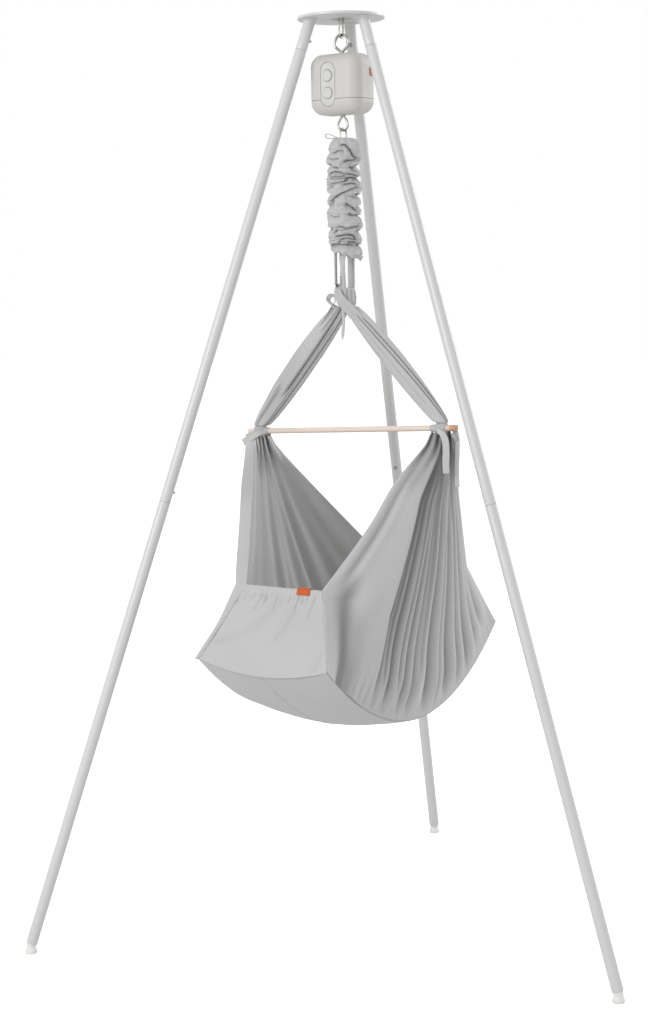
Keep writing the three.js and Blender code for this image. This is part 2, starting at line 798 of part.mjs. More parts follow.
// The gear motor is bolted behind the inner frame, with the pinion's shaft in its gearbox
function gearMotor() {
  const front = frame_depth / 2 + seat_gap;
  const gearbox = moved(box(gearbox_width, gearbox_depth, gearbox_height),
    pinion_x, front + gearbox_depth / 2, drive_height);
  const motor = moved(rodY(motor_radius, motor_length, 16),
    pinion_x, front + gearbox_depth + motor_length / 2 - seat_gap, drive_height);
  const reach = frame_width / 2 - pinion_x;
  const ear = moved(box(reach, gearbox_depth / 2, gearbox_height / 2),
    pinion_x + reach / 2, front + gearbox_depth / 4, drive_height);
  const bore = moved(rodY(pinion_shaft_radius + seat_gap, gearbox_depth, 12), pinion_x, front,
    drive_height);
  return cut(join(gearbox, motor, ear), bore);
}

// The board stands behind the keys on four pegs from the housing's front wall
function circuitBoard() {
  const peg_length = housing_face - housing_wall - seat_gap - board_depth_place;
  const pegs = [-1, 1].flatMap((sx) => [-1, 1].map((sz) => moved(rodY(peg_radius, peg_length, 8),
    sx * (board_width / 2 - peg_inset), -peg_length / 2, sz * (board_height / 2 - peg_inset))));
  return join(box(board_width, board_thickness, board_height), ...pegs)
    .translate(panel_offset_x, -board_depth_place, housing_middle);
}

function batteryPack() {
  const x = -(frame_width / 2 + seat_gap + battery_width / 2);
  return moved(box(battery_width, battery_depth, battery_height), x, 0,
    (frame_top + frame_bottom) / 2);
}

place(hanging, "top_eye", topEye(), bright_steel);
place(hanging, "eye_nut", eyeNut(), dark_steel);
place(hanging, "inner_frame", innerFrame(), dark_steel);
place(hanging, "lift_rack", liftRack(), gear_white);
place(hanging, "pinion", pinion(), gear_white);
place(hanging, "gear_motor", gearMotor(), dark_steel);
place(hanging, "circuit_board", circuitBoard(), board_green);
place(hanging, "battery_pack", batteryPack(), battery_grey);

// Lift eye: screwed into the foot of the rack
const lift_eye_low = housing_bottom - lift_eye_drop;

function liftEye() {
  const point = housing_bottom - seat_gap;
  const drop = wireLoop(teardropPath(lift_eye_arc_radius, lift_eye_low + lift_eye_arc_radius,
    point), lift_eye_wire_radius, vec(0, 1, 0), 6);
  const shank_top = rack_bottom + lift_shank_length / 2 - seat_gap;
  const shank = moved(rodZ(lift_shank_radius, shank_top - point, 12), 0, 0,
    (shank_top + point) / 2);
  return join(drop, shank);
}

place(hanging, "lift_eye", liftEye(), bright_steel);

// Spring link, coil spring and lower ring hang in each other
const spring_link_high = lift_eye_low + lift_eye_wire_radius + seat_gap + spring_link_wire_radius;
const spring_link_low = spring_link_high - spring_link_length;
place(hanging, "spring_link", wireLoop(
  stadiumPath(spring_link_half_width, spring_link_low, spring_link_high),
  spring_link_wire_radius, vec(1, 0, 0), 6), bright_steel);

const hook_wire = spring_link_low + spring_link_wire_radius + hook_gap + spring_wire_radius;
const coil_start_drop = spring_hook_radius * 2 + spring_radius / 3;
const coil_turns = spring_turns + 1 / 12;
const coil_length = coil_turns * spring_pitch;
const spring_middle = hook_wire - coil_start_drop - coil_length / 2;

// Half of the spring's end: a hook in the plane of X and Z that leads into the first turn
function springEnd() {
  const top = hook_wire - spring_middle;
  const hook = arc(-Math.PI / 4, (Math.PI * 7) / 5, 12).map((angle) => vec(
    Math.cos(angle) * spring_hook_radius, 0,
    top - spring_hook_radius + Math.sin(angle) * spring_hook_radius));
  const lead = vec(spring_radius * 0.55, spring_radius * 0.12, coil_length / 2 + spring_pitch / 4);
  return [...hook, lead];
}

function springPath() {
  const start = springEnd();
  const steps = Math.round(coil_turns * 8);
  const coil = arc(0, coil_turns, steps).map((turns) => {
    const angle = Math.PI / 6 + turns * Math.PI * 2;
    return vec(Math.cos(angle) * spring_radius, Math.sin(angle) * spring_radius,
      coil_length / 2 - turns * spring_pitch);
  });
  const end = springEnd().reverse().map((p) => vec(p.y, p.x, -p.z));
  return [...start, ...coil, ...end].map((p) => p.add(vec(0, 0, spring_middle)));
}

// The least distance between stretches of wire that don't follow each other
function leastGap(points, radius, apart) {
  let least = Infinity;
  points.forEach((p, i) => points.forEach((q, k) => {
    if (k - i > apart) least = Math.min(least, p.distanceTo(q) - radius * 2);
  }));
  return least;
}

const spring_points = springPath();
console.log(`coil spring: least gap ${leastGap(spring_points, spring_wire_radius, 5).toFixed(2)} mm`);
place(hanging, "coil_spring", wire(spring_points, spring_wire_radius, spring_points.length, 5),
  bright_steel);

const lower_hook_wire = spring_middle * 2 - hook_wire;
const ring_middle = lower_hook_wire + spring_wire_radius + hook_gap + ring_wire_radius
  - ring_radius;
const ring_path = arc(0, Math.PI * 2, 20).slice(0, -1).map((angle) =>
  vec(Math.cos(angle) * ring_radius, 0, ring_middle + Math.sin(angle) * ring_radius));
place(hanging, "lower_ring", wireLoop(ring_path, ring_wire_radius, vec(0, 1, 0), 6), bright_steel);

// Spring cover: a long cloth sleeve pushed together into uneven folds
// Its neck is drawn tight round the spring link
const cover_top_height = spring_link_high - cover_drop;
const cover_bottom_height = cover_top_height - cover_height;
const cover_neck_radius = spring_link_half_width + spring_link_wire_radius + seat_gap + cover_wall;
const cover_shoulder_share = 1 - cover_shoulder / cover_height;

function coverRadius(height_share) {
  if (height_share < cover_shoulder_share) {
    return mix(cover_hem_radius, cover_radius, Math.min(1, height_share * 4));
  }
  const rise = (height_share - cover_shoulder_share) / (1 - cover_shoulder_share);
  return mix(cover_radius, cover_neck_radius, 1 - Math.sqrt(1 - rise * rise * 0.98));
}

const ringPlace = (turn_share, radius, height) => vec(
  Math.cos(turn_share * Math.PI * 2) * radius, Math.sin(turn_share * Math.PI * 2) * radius, height);

function coverOuter(turn_share, height_share) {
  const phase = 0.35 * wave(turn_share) + 0.2 * wave(turn_share * 2 + height_share * 3);
  const edge = Math.min(1, height_share * 12, (1 - height_share) * 8);
  const fold = wave(height_share * cover_fold_count + phase) * cover_fold_depth * edge;
  return ringPlace(turn_share, coverRadius(height_share) + fold,
    cover_bottom_height + cover_height * height_share);
}

function coverInner(turn_share, height_share) {
  const neck_bore = cover_neck_radius - cover_wall;
  const radius = Math.min(cover_inner_radius,
    coverRadius(height_share) - cover_wall - cover_fold_depth);
  return ringPlace(turn_share, Math.max(radius, neck_bore),
    cover_bottom_height + cover_height * height_share);
}

place(hanging, "spring_cover", hollowLoft(coverOuter, coverInner, 16, 30, 6), cotton);

// The cover's drawstring loop sticks out beside its neck
function coverCord() {
  const x = -(cover_neck_radius - cord_radius * 3);
  const tip = x - cord_loop_length;
  const loop = [vec(x, 0, 0), vec(mix(x, tip, 0.5), 0, cord_loop_width * 0.8),
    vec(tip, 0, cord_loop_width * 0.9), vec(tip, 0, cord_loop_width * 0.35),
    vec(mix(x, tip, 0.5), 0, cord_loop_width * 0.25), vec(x, cord_radius * 3, 0)];
  return wire(loop, cord_radius, 16, 5).translate(0, 0, cover_top_height + cord_radius + seat_gap);
}

place(hanging, "cover_cord", coverCord(), cotton_tape);

// Carabiner: a bent wire body with a gate, hung in the lower ring
const ring_inside = ring_radius - ring_wire_radius - carabiner_wire_radius - seat_gap;
const carabiner_high = ring_middle - Math.sqrt(ring_inside ** 2 - carabiner_offset ** 2);
const carabiner_low = carabiner_high - carabiner_length;
const gate_middle = (carabiner_high + carabiner_low) / 2;

function carabiner() {
  const reach = carabiner_half_width;
  const gate_half = gate_length / 2 + seat_gap;
  const points = [vec(0, reach, gate_middle + gate_half),
    ...arc(0, Math.PI, 8).map((angle) => vec(0, Math.cos(angle) * reach,
      carabiner_high - reach + Math.sin(angle) * reach)),
    ...arc(Math.PI, Math.PI * 2, 8).map((angle) => vec(0, Math.cos(angle) * reach,
      carabiner_low + reach + Math.sin(angle) * reach)),
    vec(0, reach, gate_middle - gate_half)];
  return wire(points, carabiner_wire_radius, 26, 6).translate(carabiner_offset, 0, 0);
}

function carabinerGate() {
  const capsule = new THREE.CapsuleGeometry(gate_radius, gate_length - gate_radius * 2, 3, 8);
  return capsule.rotateX(Math.PI / 2).translate(carabiner_offset, carabiner_half_width,
    gate_middle);
}

place(hanging, "carabiner", carabiner(), bright_steel);
place(hanging, "carabiner_gate", carabinerGate(), bright_steel);

// A flat band bent over a wire into an upturned U: the plane's axes are side and up
function bandOver(half_width, top, bottom, width, thickness, side, across) {
  const outer = half_width + thickness / 2;
  const inner = half_width - thickness / 2;
  const spring_line = top - outer;
  const arch_points = (radius, from, to) => arc(from, to, 8).map((angle) =>
    [Math.cos(angle) * radius, spring_line + Math.sin(angle) * radius]);
  const outline = [[outer, bottom], ...arch_points(outer, 0, Math.PI), [-outer, bottom],
    [-inner, bottom], ...arch_points(inner, Math.PI, 0), [inner, bottom]];
  const shape = new THREE.Shape(outline.map(([a, b]) => new THREE.Vector2(a, b)));
  const geometry = new THREE.ExtrudeGeometry(shape, { depth: width, bevelEnabled: false });
  geometry.translate(0, 0, -width / 2);
  const basis = new THREE.Matrix4().makeBasis(side, up, across);
  return orient(geometry.applyMatrix4(basis));
}

// The sling's main band rests in the lower ring, and the safety band in the carabiner.
// The knot hangs by both, clear under the cover.
const knot_top_height = cover_bottom_height - knot_drop;
const sling_edge = sling_band_width / 2 + Math.abs(sling_offset);
const sling_seat = ring_middle -
  Math.sqrt((ring_radius - ring_wire_radius - seat_gap) ** 2 - sling_edge ** 2);

function slingBand() {
  return bandOver(sling_half_width, sling_seat + sling_band_thickness, knot_top_height
    + seat_gap, sling_band_width, sling_band_thickness, vec(0, 1, 0), vec(1, 0, 0))
    .translate(sling_offset, 0, 0);
}

function safetyBand() {
  const bend = carabiner_half_width - Math.sqrt(carabiner_half_width ** 2 - ribbon_width ** 2 / 4);
  const safety_seat = carabiner_low + carabiner_wire_radius + bend + seat_gap;
  return bandOver(safety_half_width, safety_seat + ribbon_thickness * 2,
    knot_top_height + seat_gap, ribbon_width, ribbon_thickness * 2, vec(1, 0, 0), vec(0, -1, 0))
    .translate(carabiner_offset, 0, 0);
}

place(hanging, "sling_band", slingBand(), cotton_tape);
place(hanging, "safety_band", safetyBand(), cotton_tape);

// The knot gathers the two straps' tops
const knot_bottom = knot_top_height - knot_height;

function slingKnot() {
  return loft((turn_share, height_share) => {
    const fold = Math.cos(turn_share * Math.PI * 2 * knot_fold_count) * knot_fold_depth;
    const swell = knot_radius + knot_fold_depth * 2 * arch(height_share);
    return ringPlace(turn_share, swell + fold, knot_bottom + knot_height * height_share);
  }, knot_fold_count * 4, 4);
}

place(hanging, "sling_knot", slingKnot(), cotton);

function hangingRibbon() {
  const face = (depth) => (a, b) => vec(mix(-ribbon_width, ribbon_width, a) / 2,
    depth + ribbon_width * 0.25 * wave(b * 0.4), -ribbon_length * b);
  const front = -(strap_half_thickness + strap_fold_depth + ribbon_thickness * 3);
  return slab(face(0), face(ribbon_thickness), 1, 8)
    .translate(-ribbon_width / 2, front, knot_bottom - seat_gap);
}

place(hanging, "hanging_ribbon", hangingRibbon(), cotton_tape);

// Spreader bar and what is tied to it
const bar_height = knot_bottom - bar_drop;
const barHeight = (x) => bar_height + (bar_rise * x) / bar_half_length;
const bar_tilt = Math.atan(bar_rise / bar_half_length);

function spreaderBar() {
  return rodX(bar_radius, bar_half_length * 2, 12).rotateY(-bar_tilt).translate(0, 0, bar_height);
}

// The cloth loop that the bar passes through, a soft lump with a bore
function barLoop(side) {
  const lump = loft((turn_share, length_share) => {
    const swell = 0.72 + 0.28 * arch(length_share);
    const angle = turn_share * Math.PI * 2;
    const fold = 1 + 0.05 * Math.cos(angle * 5);
    return vec(mix(-loop_half_length, loop_half_length, length_share),
      Math.cos(angle) * loop_half_depth * swell * fold,
      Math.sin(angle) * loop_half_height * swell * fold);
  }, 12, 4).rotateY(-bar_tilt).translate(side * hang_point, 0, barHeight(side * hang_point));
  const bore = rodX(bar_radius + seat_gap, loop_half_length * 3, 12).rotateY(-bar_tilt)
    .translate(side * hang_point, 0, barHeight(side * hang_point));
  return cut(lump, bore);
}

// A ribbon wound round the bar beside the loop, with two hanging tails
function barTie(side) {
  const x = side * (hang_point - loop_half_length - tie_width);
  const inner = bar_radius + seat_gap;
  const outer = inner + tie_thickness;
  const ring = turned(closeOutline([[inner, -tie_width / 2], [outer, -tie_width / 2],
    [outer, tie_width / 2], [inner, tie_width / 2]]), 12).rotateY(Math.PI / 2 - bar_tilt);
  const tails = [0, 1].map((k) => {
    const face = (depth) => (a, b) => vec(
      mix(-tie_tail_width, tie_tail_width, a) / 2 * mix(0.6, 1, b) + side * b * tie_tail_width * k,
      depth - outer - b * tie_width * (0.5 + k), -tie_tail_length * b * mix(1, 0.7, k));
    return slab(face(0), face(tie_thickness), 1, 6);
  });
  return join(ring, ...tails).translate(x, 0, barHeight(x));
}

place(hanging, "spreader_bar", spreaderBar(), beech);
for (const [side_name, side] of [["left", -1], ["right", 1]]) {
  place(hanging, `bar_tie_${side_name}`, barTie(side), cotton_tape);
}

// Straps: gathered cloth from the knot to the bar, drawn as level sections, each ending in
// the sewn loop that the bar passes through
function strap(side) {
  const top_z = knot_bottom - seat_gap;
  const end_x = side * hang_point;
  const bottom_z = barHeight(end_x) + loop_half_height * 0.75;
  const cloth = loft((turn_share, drop_share) => {
    const angle = turn_share * Math.PI * 2;
    const half_width = drop_share < 0.5
      ? mix(strap_top_half_width, strap_middle_half_width, Math.sin(drop_share * Math.PI))
      : mix(strap_bottom_half_width, strap_middle_half_width, Math.sin(drop_share * Math.PI));
    const fold = 1 + (strap_fold_depth / strap_half_thickness) * arch(drop_share)
      * Math.cos(angle * strap_fold_count + drop_share * 2);
    const x = mix(side * strap_top_place, end_x, drop_share);
    return vec(x + Math.cos(angle) * half_width,
      Math.sin(angle) * strap_half_thickness * fold, mix(top_z, bottom_z, drop_share));
  }, 16, 8);
  return join(cloth, barLoop(side));
}

place(hanging, "strap_left", strap(-1), cotton);
place(hanging, "strap_right", strap(1), cotton);

// Cloth cradle: the base hangs in a long curve between its end corners
const cradle_end_height = bar_height - cradle_drop;
const seamHeight = (y) => cradle_end_height - side_sag * (1 - (y / (cradle_length / 2)) ** 2);
const keelDrop = (x) => keel_dip * (1 - (x / (cradle_width / 2)) ** 2);
const baseHeight = (x, y) => seamHeight(y) - keelDrop(x);

// A side wall: straight threads fan from the bar loop to the base seam, the two end edges
// are drawn in to the corners of the end panels, and folds run from the bar loop down
function wallSurface(side) {
  const top_x = hang_point;
  const top_z = barHeight(side * hang_point) - loop_half_height - seat_gap * 2;
  const corner_share = end_panel_rise / (top_z - cradle_end_height);
  const corner_x = cradle_width / 2 - end_panel_inset_x;
  const corner_y = cradle_length / 2 - end_panel_inset_y;
  const pull_x = corner_x - mix(cradle_width / 2, top_x, corner_share);
  const pull_y = corner_y - mix(cradle_length / 2, wall_gather_width / 2, corner_share);
  return (along, rise) => {
    const end = 2 * along - 1;
    const y_low = (end * cradle_length) / 2;
    const y_high = (end * wall_gather_width) / 2;
    const hat = rise < corner_share ? rise / corner_share : (1 - rise) / (1 - corner_share);
    const pull = hat * end ** 4;
    const bulge = wall_bulge * arch(rise) * (1 - end * end);
    const fold = wall_fold_depth * wave(along * wall_fold_count) * arch(rise)
      * Math.min(1, 6 * (1 - Math.abs(end)));
    const x = mix(cradle_width / 2, top_x, rise) + pull_x * pull + bulge + fold;
    const y = mix(y_low, y_high, rise) + Math.sign(end) * pull_y * pull;
    return vec(side * x, y, mix(seamHeight(y_low), top_z, rise));
  };
}

place(hanging, "wall_left", sheet(wallSurface(-1), 24, 8, cloth_thickness), cotton);
place(hanging, "wall_right", sheet(wallSurface(1), 24, 8, cloth_thickness), cotton);

const base_half_width = cradle_width / 2 - cloth_thickness / 2 - base_side_gap;
const base_half_length = cradle_length / 2 - end_panel_thickness / 2 - base_end_gap;

function basePanel() {
  const at = (rise) => (a, b) => {
    const x = mix(-base_half_width, base_half_width, a);
    const y = mix(-base_half_length, base_half_length, b);
    return vec(x, y, baseHeight(x, y) + rise);
  };
  return slab(at(0), at(base_thickness), 8, 18);
}

// The mattress lies on the base and follows its curve
function mattress() {
  const under = (a, b) => {
    const x = mix(-mattress_width, mattress_width, a) / 2;
    const y = mix(-mattress_length, mattress_length, b) / 2;
    return vec(x, y, baseHeight(x, y) + base_thickness + mattress_gap);
  };
  const over = (a, b) => {
    const crown = Math.sqrt(Math.max(0, (1 - (2 * a - 1) ** 4) * (1 - (2 * b - 1) ** 4)));
    return under(a, b).add(vec(0, 0, mattress_edge + mattress_crown * crown));
  };
  return slab(under, over, 8, 16);
}

// An end panel between the walls, drawn in at its gathered top edge
function endSurface(side) {
  return (across, rise) => {
    const turn = 2 * across - 1;
    const half_width = mix(base_half_width, base_half_width - end_panel_inset_x
      - base_side_gap, rise);
    const x = turn * half_width;
    const bulge = end_panel_bulge * arch(across) * arch(0.1 + rise * 0.8);
    const foot_z = cradle_end_height - keelDrop(x);
    const y = cradle_length / 2 - end_panel_inset_y * rise + bulge;
    return vec(x, side * y, mix(foot_z, cradle_end_height + end_panel_rise, rise));
  };
}

// The gathered hem is a soft roll along the panel's top edge
function endPanel(side) {
  const cloth = sheet(endSurface(side), 8, 5, end_panel_thickness);
  const top = endSurface(side);
  const hem = loft((turn_share, across) => {
    const middle = top(mix(0.02, 0.98, across), 1);
    const angle = turn_share * Math.PI * 2;
    const radius = hem_radius + hem_gather_depth * wave(across * hem_gather_count);
    return vec(middle.x, middle.y + Math.cos(angle) * radius, middle.z + Math.sin(angle) * radius);
  }, 6, 16);
  return join(cloth, hem);
}

// A plain tab hangs over the front hem
function frontTab() {
  const panel = endSurface(-1);
  const half_share = front_tab_width / (base_half_width - end_panel_inset_x) / 4;
  const low_share = 1 - front_tab_height / end_panel_rise;
  const patch = (a, b) => panel(front_tab_share + mix(-half_share, half_share, a),
    mix(low_share, 1, b));
  return sheet(patch, 3, 2, front_tab_thickness,
    hem_radius + seat_gap + front_tab_thickness / 2);
}

place(hanging, "base_panel", basePanel(), cotton);
place(hanging, "mattress", mattress(), filling);
place(hanging, "front_panel", endPanel(-1), cotton);
place(hanging, "back_panel", endPanel(1), cotton);
place(hanging, "front_tab", frontTab(), tag_orange);

export default object;
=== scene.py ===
"""Looks of the hanging baby cradle: smooth surfaces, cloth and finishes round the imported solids.

Sizes are metres in the solids' frame: the floor is z = 0, +X runs along the spreader bar
and the control panel faces -Y.
"""
import logging
import math
from dataclasses import dataclass, field
from enum import Enum
from functools import cache
from typing import Callable, Sequence

import bmesh
import bpy
import mathutils
import numpy as np
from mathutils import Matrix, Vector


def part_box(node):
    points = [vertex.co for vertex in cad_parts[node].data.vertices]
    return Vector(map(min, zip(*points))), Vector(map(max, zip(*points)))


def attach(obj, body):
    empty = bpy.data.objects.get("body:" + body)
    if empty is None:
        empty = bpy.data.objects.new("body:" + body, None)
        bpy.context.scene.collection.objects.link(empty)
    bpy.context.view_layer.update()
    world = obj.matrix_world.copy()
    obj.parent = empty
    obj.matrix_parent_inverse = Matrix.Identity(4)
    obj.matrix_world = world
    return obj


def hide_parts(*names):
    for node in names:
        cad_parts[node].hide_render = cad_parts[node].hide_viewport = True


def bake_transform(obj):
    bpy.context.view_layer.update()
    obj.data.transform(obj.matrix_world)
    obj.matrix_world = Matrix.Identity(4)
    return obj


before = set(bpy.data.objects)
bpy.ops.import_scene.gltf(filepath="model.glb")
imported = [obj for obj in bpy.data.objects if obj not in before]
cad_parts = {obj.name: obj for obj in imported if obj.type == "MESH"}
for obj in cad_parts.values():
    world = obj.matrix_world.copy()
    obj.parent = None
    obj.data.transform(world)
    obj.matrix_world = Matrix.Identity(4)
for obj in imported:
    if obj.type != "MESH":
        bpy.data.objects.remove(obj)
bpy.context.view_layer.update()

Array = np.ndarray
Piece = bpy.types.Object
Material = bpy.types.Material
LOG = logging.getLogger("cradle")
TURN = 2.0 * math.pi
SAME_PLACE = 2e-6


def centre_of(node: str) -> Array:
    """Middle of a CAD node's box, in metres."""
    low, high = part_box(node)
    return (np.array(low) + np.array(high)) / 2.0


HANG = np.array([*centre_of("top_plate")[:2], 0.0])


def mix(a: Array | float, b: Array | float, share: Array | float) -> Array | float:
    """Straight blend from a to b."""
    return a + (b - a) * share


def smooth(low: float, high: float, value: Array) -> Array:
    """Smooth step: 0 below low, 1 above high, and 3t^2 - 2t^3 between them."""
    t = np.clip((value - low) / (high - low), 0.0, 1.0)
    return t * t * (3.0 - 2.0 * t)


def bell(value: Array, centre: float, width: float) -> Array:
    """Bell curve, exp(-s^2): 1 at the centre, where s is the distance from it in widths."""
    return np.exp(-(((value - centre) / width) ** 2))


def dome(share: Array) -> Array:
    """Quarter circle: 1 at the share 0 and below it, 0 at the share 1 and above it."""
    return np.sqrt(1.0 - np.clip(share, 0.0, 1.0) ** 2)


def rim(share: Array, width: float) -> Array:
    """Rounding of an edge: 0 at both ends of the shares and 1 from a width inside them."""
    return dome(1.0 - np.minimum(share, 1.0 - share) / width)


def shares(rows: int, columns: int) -> tuple[Array, Array]:
    """Two grids of shares 0..1: the first grows down the rows, the second along the columns.

    Args:
        rows: Steps down.
        columns: Steps along.

    Returns:
        Both grids.
    """
    down = np.linspace(0.0, 1.0, rows + 1)[:, None] * np.ones((1, columns + 1))
    along = np.linspace(0.0, 1.0, columns + 1)[None, :] * np.ones((rows + 1, 1))
    return down, along


def stack(x: Array | float, y: Array | float, z: Array | float) -> Array:
    """Points from their three coordinates, which may have different but matching shapes."""
    return np.stack(np.broadcast_arrays(x, y, z), -1).astype(float)


def unit(vectors: Array) -> Array:
    """Vectors of length one."""
    return vectors / np.maximum(np.linalg.norm(vectors, axis=-1, keepdims=True), 1e-12)


def ripple(u: Array, v: Array, seed: float = 0.0) -> Array:
    """Smooth unevenness in -1..1: seven crossed sine waves of unrelated lengths.

    Args:
        u: First coordinate, about one bump to a unit.
        v: Second coordinate.
        seed: Shifts every wave, so that two pieces differ.

    Returns:
        The unevenness at each point.
    """
    total = np.zeros(np.broadcast(u, v).shape)
    for k in range(7):
        turn = 2.399963 * k + seed
        reach = 3.1 + 1.37 * k
        total = total + np.sin(reach * (u * math.cos(turn) + v * math.sin(turn)) + 5.3 * k
                               + 11.0 * seed) / (1.0 + 0.35 * k)
    return total / 3.0


def surface_normals(points: Array) -> Array:
    """Unit normals of a grid of points: the column step crossed with the row step."""
    return unit(np.cross(np.gradient(points, axis=1), np.gradient(points, axis=0)))


@dataclass
class Patch:
    """One grid of points of a piece, with its flat coordinates in metres."""

    points: Array
    uv: Array | None = None
    flip: bool = False
    # Depth in a crease at each point, 0 to 1, which the cloth finish paints as shade.
    hollow: Array | None = None


def metre_uv(points: Array) -> Array:
    """Flat coordinates from the lengths along the middle row and the middle column.

    Args:
        points: Grid of points.

    Returns:
        The flat coordinates in metres.
    """
    rows, columns = points.shape[:2]
    across = np.linalg.norm(np.diff(points[rows // 2], axis=0), axis=-1)
    down = np.linalg.norm(np.diff(points[:, columns // 2], axis=0), axis=-1)
    u = np.concatenate([[0.0], np.cumsum(across)])[None, :] * np.ones((rows, 1))
    v = np.concatenate([[0.0], np.cumsum(down)])[:, None] * np.ones((1, columns))
    return np.stack([u, v], -1)


def make_piece(name: str, patches: Sequence[Patch], finish: "Finish | None" = None,
               body: str = "", node: str = "", sharp: float | None = None) -> Piece:
    """A piece from its grids of points, joined where they touch.

    Args:
        name: Name of the piece.
        patches: Its grids. A face's outside is its column step crossed with its row step.
        finish: Its finish, none for a tool.
        body: CAD body that the piece rides on, or an empty text to leave it free.
        node: CAD node that it stands for.
        sharp: Angle in degrees above which an edge stays sharp.

    Returns:
        The finished object, at the origin.
    """
    points, quads, flat, hollow, start = [], [], [], [], 0
    for patch in patches:
        rows, columns = patch.points.shape[:2]
        index = start + np.arange(rows * columns).reshape(rows, columns)
        cells = np.stack([index[:-1, :-1], index[:-1, 1:], index[1:, 1:], index[1:, :-1]], -1)
        cells = cells.reshape(-1, 4)
        uv = metre_uv(patch.points) if patch.uv is None else patch.uv
        points.append(patch.points.reshape(-1, 3))
        flat.append(uv.reshape(-1, 2))
        quads.append(cells[:, ::-1] if patch.flip else cells)
        # Each grid's crease depth, painted as shade by the cloth finish; zero where the grid has
        # none.
        hollow.append(np.zeros(rows * columns) if patch.hollow is None
                      else patch.hollow.reshape(-1))
        start += rows * columns
    depth = np.concatenate(hollow)
    return finish_piece(name, np.concatenate(points), np.concatenate(quads),
                        np.concatenate(flat), finish, body, node, sharp,
                        depth if depth.any() else None)


def finish_piece(name: str, points: Array, faces: Array, flat: Array,
                 finish: "Finish | None" = None, body: str = "", node: str = "",
                 sharp: float | None = None, hollow: Array | None = None) -> Piece:
    """Puts points and faces into an object, with its flat coordinates, finish and body.

    Args:
        name: Name of the piece.
        points: Points, one to a row.
        faces: Point numbers of each face.
        flat: Flat coordinates of each point.
        finish: Its finish, none for a tool.
        body: CAD body, or an empty text.
        node: CAD node that the piece stands for.
        sharp: Angle in degrees above which an edge stays sharp.
        hollow: How deep each point lies in a crease, 0 to 1, kept as an attribute that the cloth
            finish paints as shade.

    Returns:
        The object.
    """
    mesh = bpy.data.meshes.new(name)
    mesh.from_pydata(points, [], faces)
    if hollow is not None:
        depth = mesh.attributes.new("hollow", "FLOAT", "POINT")
        depth.data.foreach_set("value", hollow.astype(np.float32))
    layer = mesh.uv_layers.new(name="flat")
    layer.data.foreach_set("uv", flat[faces.ravel()].astype(np.float32).ravel())
    shape = bmesh.new()
    shape.from_mesh(mesh)
    bmesh.ops.remove_doubles(shape, verts=shape.verts, dist=SAME_PLACE)
    if all(edge.is_manifold for edge in shape.edges):
        bmesh.ops.recalc_face_normals(shape, faces=shape.faces)
    shape.to_mesh(mesh)
    shape.free()
    piece = add_object(name, mesh)
    if finish:
        mesh.materials.append(finish.material())
    shade_faces(mesh, sharp)
    mesh.update()
    if body:
        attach(piece, body)
    if node:
        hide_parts(node)
    if finish:
        LOG.info("piece %s: %d faces", name, len(mesh.polygons))
    return piece


def add_object(name: str, data: bpy.types.ID) -> Piece:
    """Puts data into the scene as a new object.

    Args:
        name: Its name.
        data: Its mesh, light or camera.

    Returns:
        The object.
    """
    made = bpy.data.objects.new(name, data)
    bpy.context.scene.collection.objects.link(made)
    return made


def shade_faces(mesh: bpy.types.Mesh, sharp: float | None = None) -> None:
    """Smooths a mesh's faces, but keeps edges sharp above an angle in degrees.

    Args:
        mesh: The mesh.
        sharp: Angle in degrees above which an edge is sharp.
    """
    mesh.polygons.foreach_set("use_smooth", np.ones(len(mesh.polygons), bool))
    if sharp is not None:
        mesh.set_sharp_from_angle(angle=math.radians(sharp))


def mesh_points(piece: Piece) -> Array:
    """Points of a piece's mesh, one to a row.

    Args:
        piece: The piece.

    Returns:
        The points.
    """
    points = np.empty(len(piece.data.vertices) * 3, np.float32)
    piece.data.vertices.foreach_get("co", points)
    return points.reshape(-1, 3)


def remove_piece(piece: Piece) -> None:
    """Takes a helper object away, with its mesh.

    Args:
        piece: The piece.
    """
    mesh = piece.data
    bpy.data.objects.remove(piece)
    bpy.data.meshes.remove(mesh)


def apply_modifiers(piece: Piece) -> None:
    """Turns a piece's modifiers into its mesh.

    Args:
        piece: The piece.
    """
    bpy.context.view_layer.update()
    graph = bpy.context.evaluated_depsgraph_get()
    made = bpy.data.meshes.new_from_object(piece.evaluated_get(graph), depsgraph=graph)
    old = piece.data
    piece.modifiers.clear()
    piece.data = made
    made.name = old.name
    bpy.data.meshes.remove(old)


def carve(piece: Piece, tools: Sequence[Piece], how: str = "DIFFERENCE",
          sharp: float = 32.0) -> Piece:
    """Cuts tools out of a piece, or joins them to it, and removes them.

    Args:
        piece: Closed piece that is changed.
        tools: Closed pieces.
        how: DIFFERENCE, UNION or INTERSECT.
        sharp: Angle in degrees above which an edge is sharp afterwards.

    Returns:
        The changed piece.
    """
    for tool in tools:
        step = piece.modifiers.new("cut", "BOOLEAN")
        step.operation = how
        step.solver = "EXACT"
        step.object = tool
    apply_modifiers(piece)
    for tool in tools:
        remove_piece(tool)
    shade_faces(piece.data, sharp)
    return piece


def soften(piece: Piece, width: float, steps: int = 2, degrees: float = 32.0) -> Piece:
    """Rounds a piece's sharp edges with a bevel of a width in metres.

    Args:
        piece: The piece.
        width: Width of the bevel in metres.
        steps: Steps of the bevel.
        degrees: Angle above which an edge is rounded.

    Returns:
        The piece.
    """
    bevel = piece.modifiers.new("edges", "BEVEL")
    bevel.width = width
    bevel.segments = steps
    bevel.limit_method = "ANGLE"
    bevel.angle_limit = math.radians(degrees)
    apply_modifiers(piece)
    shade_faces(piece.data, 50.0)
    return piece


